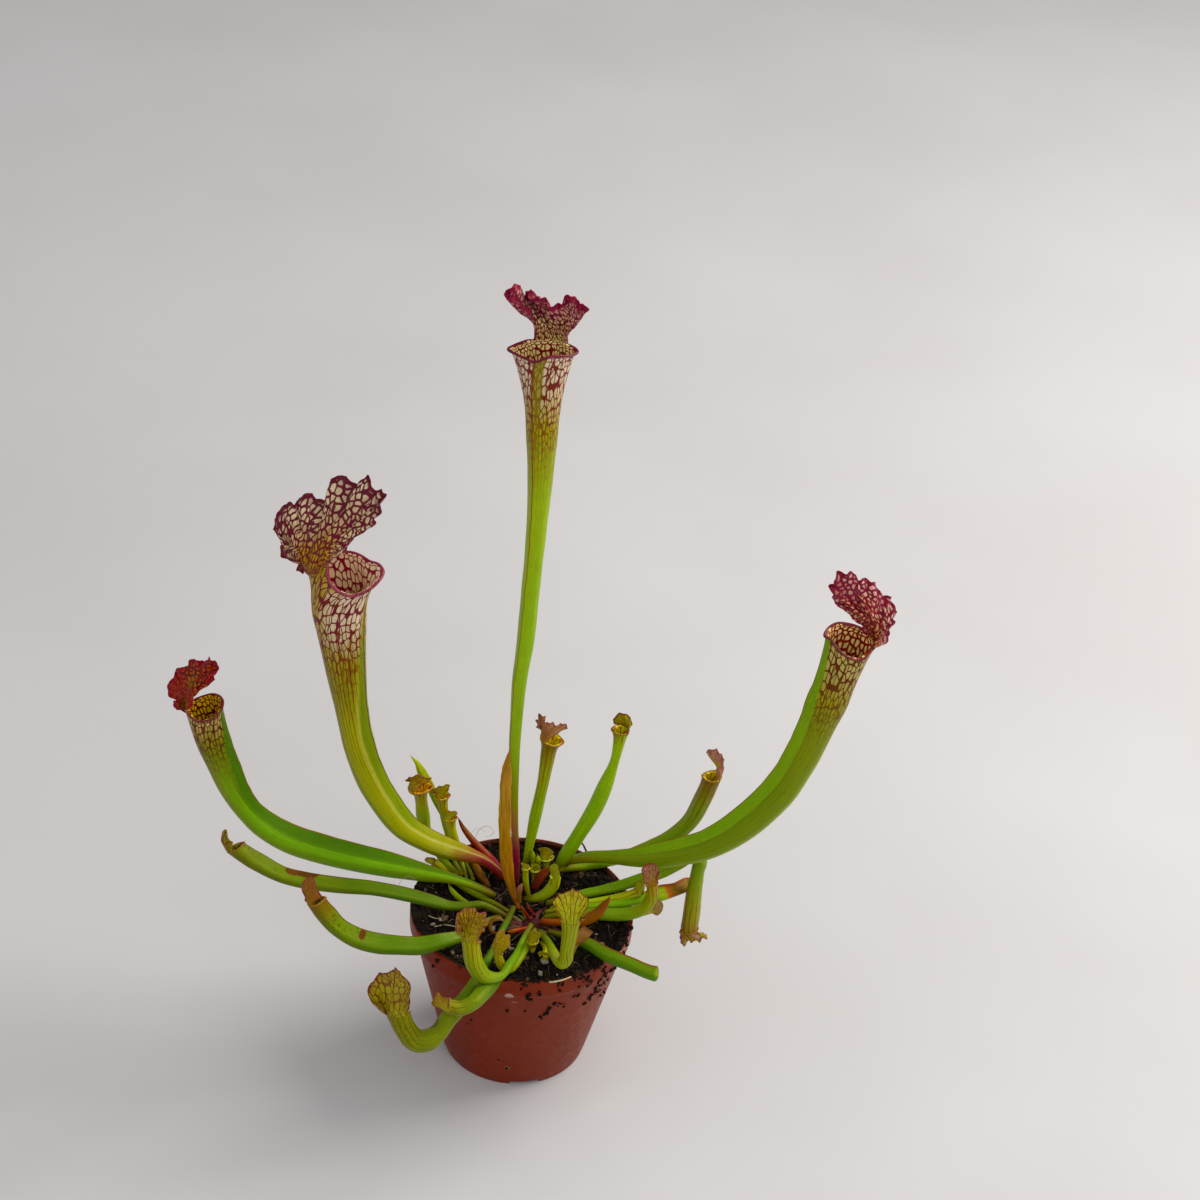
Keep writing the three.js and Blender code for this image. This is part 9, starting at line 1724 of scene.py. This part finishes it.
def crown_fibres():
    """The dried and reddish remains of old leaf bases that stand round the growing point."""
    rng = np.random.default_rng(21)
    groups = ([], [], [])
    for i in range(64):
        a = rng.uniform(0, 2 * math.pi)
        r0 = rng.uniform(1.0, 4.5)
        length = rng.uniform(4.0, 11.0)
        p = np.array([5.0 + r0 * math.cos(a) * 1.2, -9.5 + r0 * math.sin(a), 68.0])
        lift = rng.uniform(0.1, 0.9)
        pts = [tuple(p)]
        for s in range(1, 5):
            turn = a + rng.uniform(-0.35, 0.35)
            step = length / 4
            p = p + np.array([math.cos(turn) * step, math.sin(turn) * step * 0.9, lift * step * (1.2 - 0.45 * s)])
            if math.hypot(p[0], p[1]) < 38:
                p[2] = max(p[2], float(soil_z(p[0], p[1])) + 0.4)
            pts.append(tuple(p))
        groups[i % 3].append((pts, rng.uniform(0.45, 1.0), rng.uniform(0.12, 0.35)))
    return groups


OLD_BROWN, OLD_RED, OLD_OLIVE = crown_fibres()
strands("crown_base_brown", OLD_BROWN, plain_fibre("old_base_brown", "#38200e", "#6a4420"), 8)
strands("crown_base_red", OLD_RED, plain_fibre("old_base_red", "#4c100e", "#7c201c"), 8)
strands("crown_base_olive", OLD_OLIVE, plain_fibre("old_base_olive", "#4a4a12", "#7a7424"), 8)


def floor_skin():
    t = Tree("floor_pale", 0.55)
    mm = t.place()
    n = t.noise(mm, 0.004, 3, 0.5)
    col = t.mix(t.step(n, 0.3, 0.7), C("#c5c1be"), C("#cac7c5"))
    return t.finish(col, 0.6, t.bump(t.noise(mm, 0.05, 3, 0.5), 0.05, 0.001))


def build_floor():
    prof = [(-3.0, 0.0), (-1.0, 0.0), (0.0, 0.0), (0.8, 0.0), (1.3, 0.0)]
    prof += [(1.3 + 1.1 * math.sin(math.radians(a)), 1.1 - 1.1 * math.cos(math.radians(a))) for a in range(6, 85, 6)]
    prof += [(2.55, 2.4), (2.6, 4.0)]
    verts, faces = [], []
    for x in (-4.0, 4.0):
        for y, z in prof:
            verts.append((x, y, z))
    n = len(prof)
    for i in range(n - 1):
        faces.append((i, i + n, i + n + 1, i + 1))
    me = bpy.data.meshes.new("studio_floor")
    me.from_pydata(verts, [], faces)
    me.polygons.foreach_set("use_smooth", np.ones(len(me.polygons), bool))
    me.materials.append(floor_skin())
    ob = bpy.data.objects.new("studio_floor", me)
    bpy.context.scene.collection.objects.link(ob)


build_floor()


def area(name, place, aim, size, energy, colour):
    d = bpy.data.lights.new(name, "AREA")
    d.shape, d.size, d.size_y = "RECTANGLE", size[0], size[1]
    d.energy, d.color = energy, colour
    ob = bpy.data.objects.new(name, d)
    ob.location = place
    ob.rotation_mode = "QUATERNION"
    ob.rotation_quaternion = (Vector(aim) - Vector(place)).to_track_quat("-Z", "Y")
    bpy.context.scene.collection.objects.link(ob)
    return ob


area("key_soft", (0.95, 0.50, 1.05), (0.02, 0.0, 0.08), (0.9, 0.9), 18.0, (1.0, 0.985, 0.96))
area("front_fill", (0.5, -1.3, 1.4), (0.0, 0.0, 0.12), (1.2, 1.0), 7.0, (0.97, 0.98, 1.0))
world = bpy.data.worlds.new("soft_world")
bpy.context.scene.world = world
world.use_nodes = True
bg = world.node_tree.nodes.get("Background") or world.node_tree.nodes.new("ShaderNodeBackground")
bg.inputs["Color"].default_value = (0.93, 0.95, 1.0, 1.0)
bg.inputs["Strength"].default_value = 0.60
bpy.context.scene.view_settings.view_transform = "Standard"

T, R = math.radians(34.01), math.radians(4.63)
forward = Vector((0, math.cos(T), -math.sin(T)))
rt0, up0 = Vector((1, 0, 0)), Vector((0, math.sin(T), math.cos(T)))
right = rt0 * math.cos(R) + up0 * math.sin(R)
upward = up0 * math.cos(R) - rt0 * math.sin(R)
cam_data = bpy.data.cameras.new("camera")
cam_data.sensor_width, cam_data.lens = 36.0, 81.0
cam_data.clip_start, cam_data.clip_end = 0.05, 30.0
cam = bpy.data.objects.new("camera", cam_data)
m = Matrix.Identity(4)
for i in range(3):
    m[i][0], m[i][1], m[i][2] = right[i], upward[i], -forward[i]
    m[i][3] = (21.3, -831.0, 782.2)[i] * MM
cam.matrix_world = m
bpy.context.scene.collection.objects.link(cam)
bpy.context.scene.camera = cam
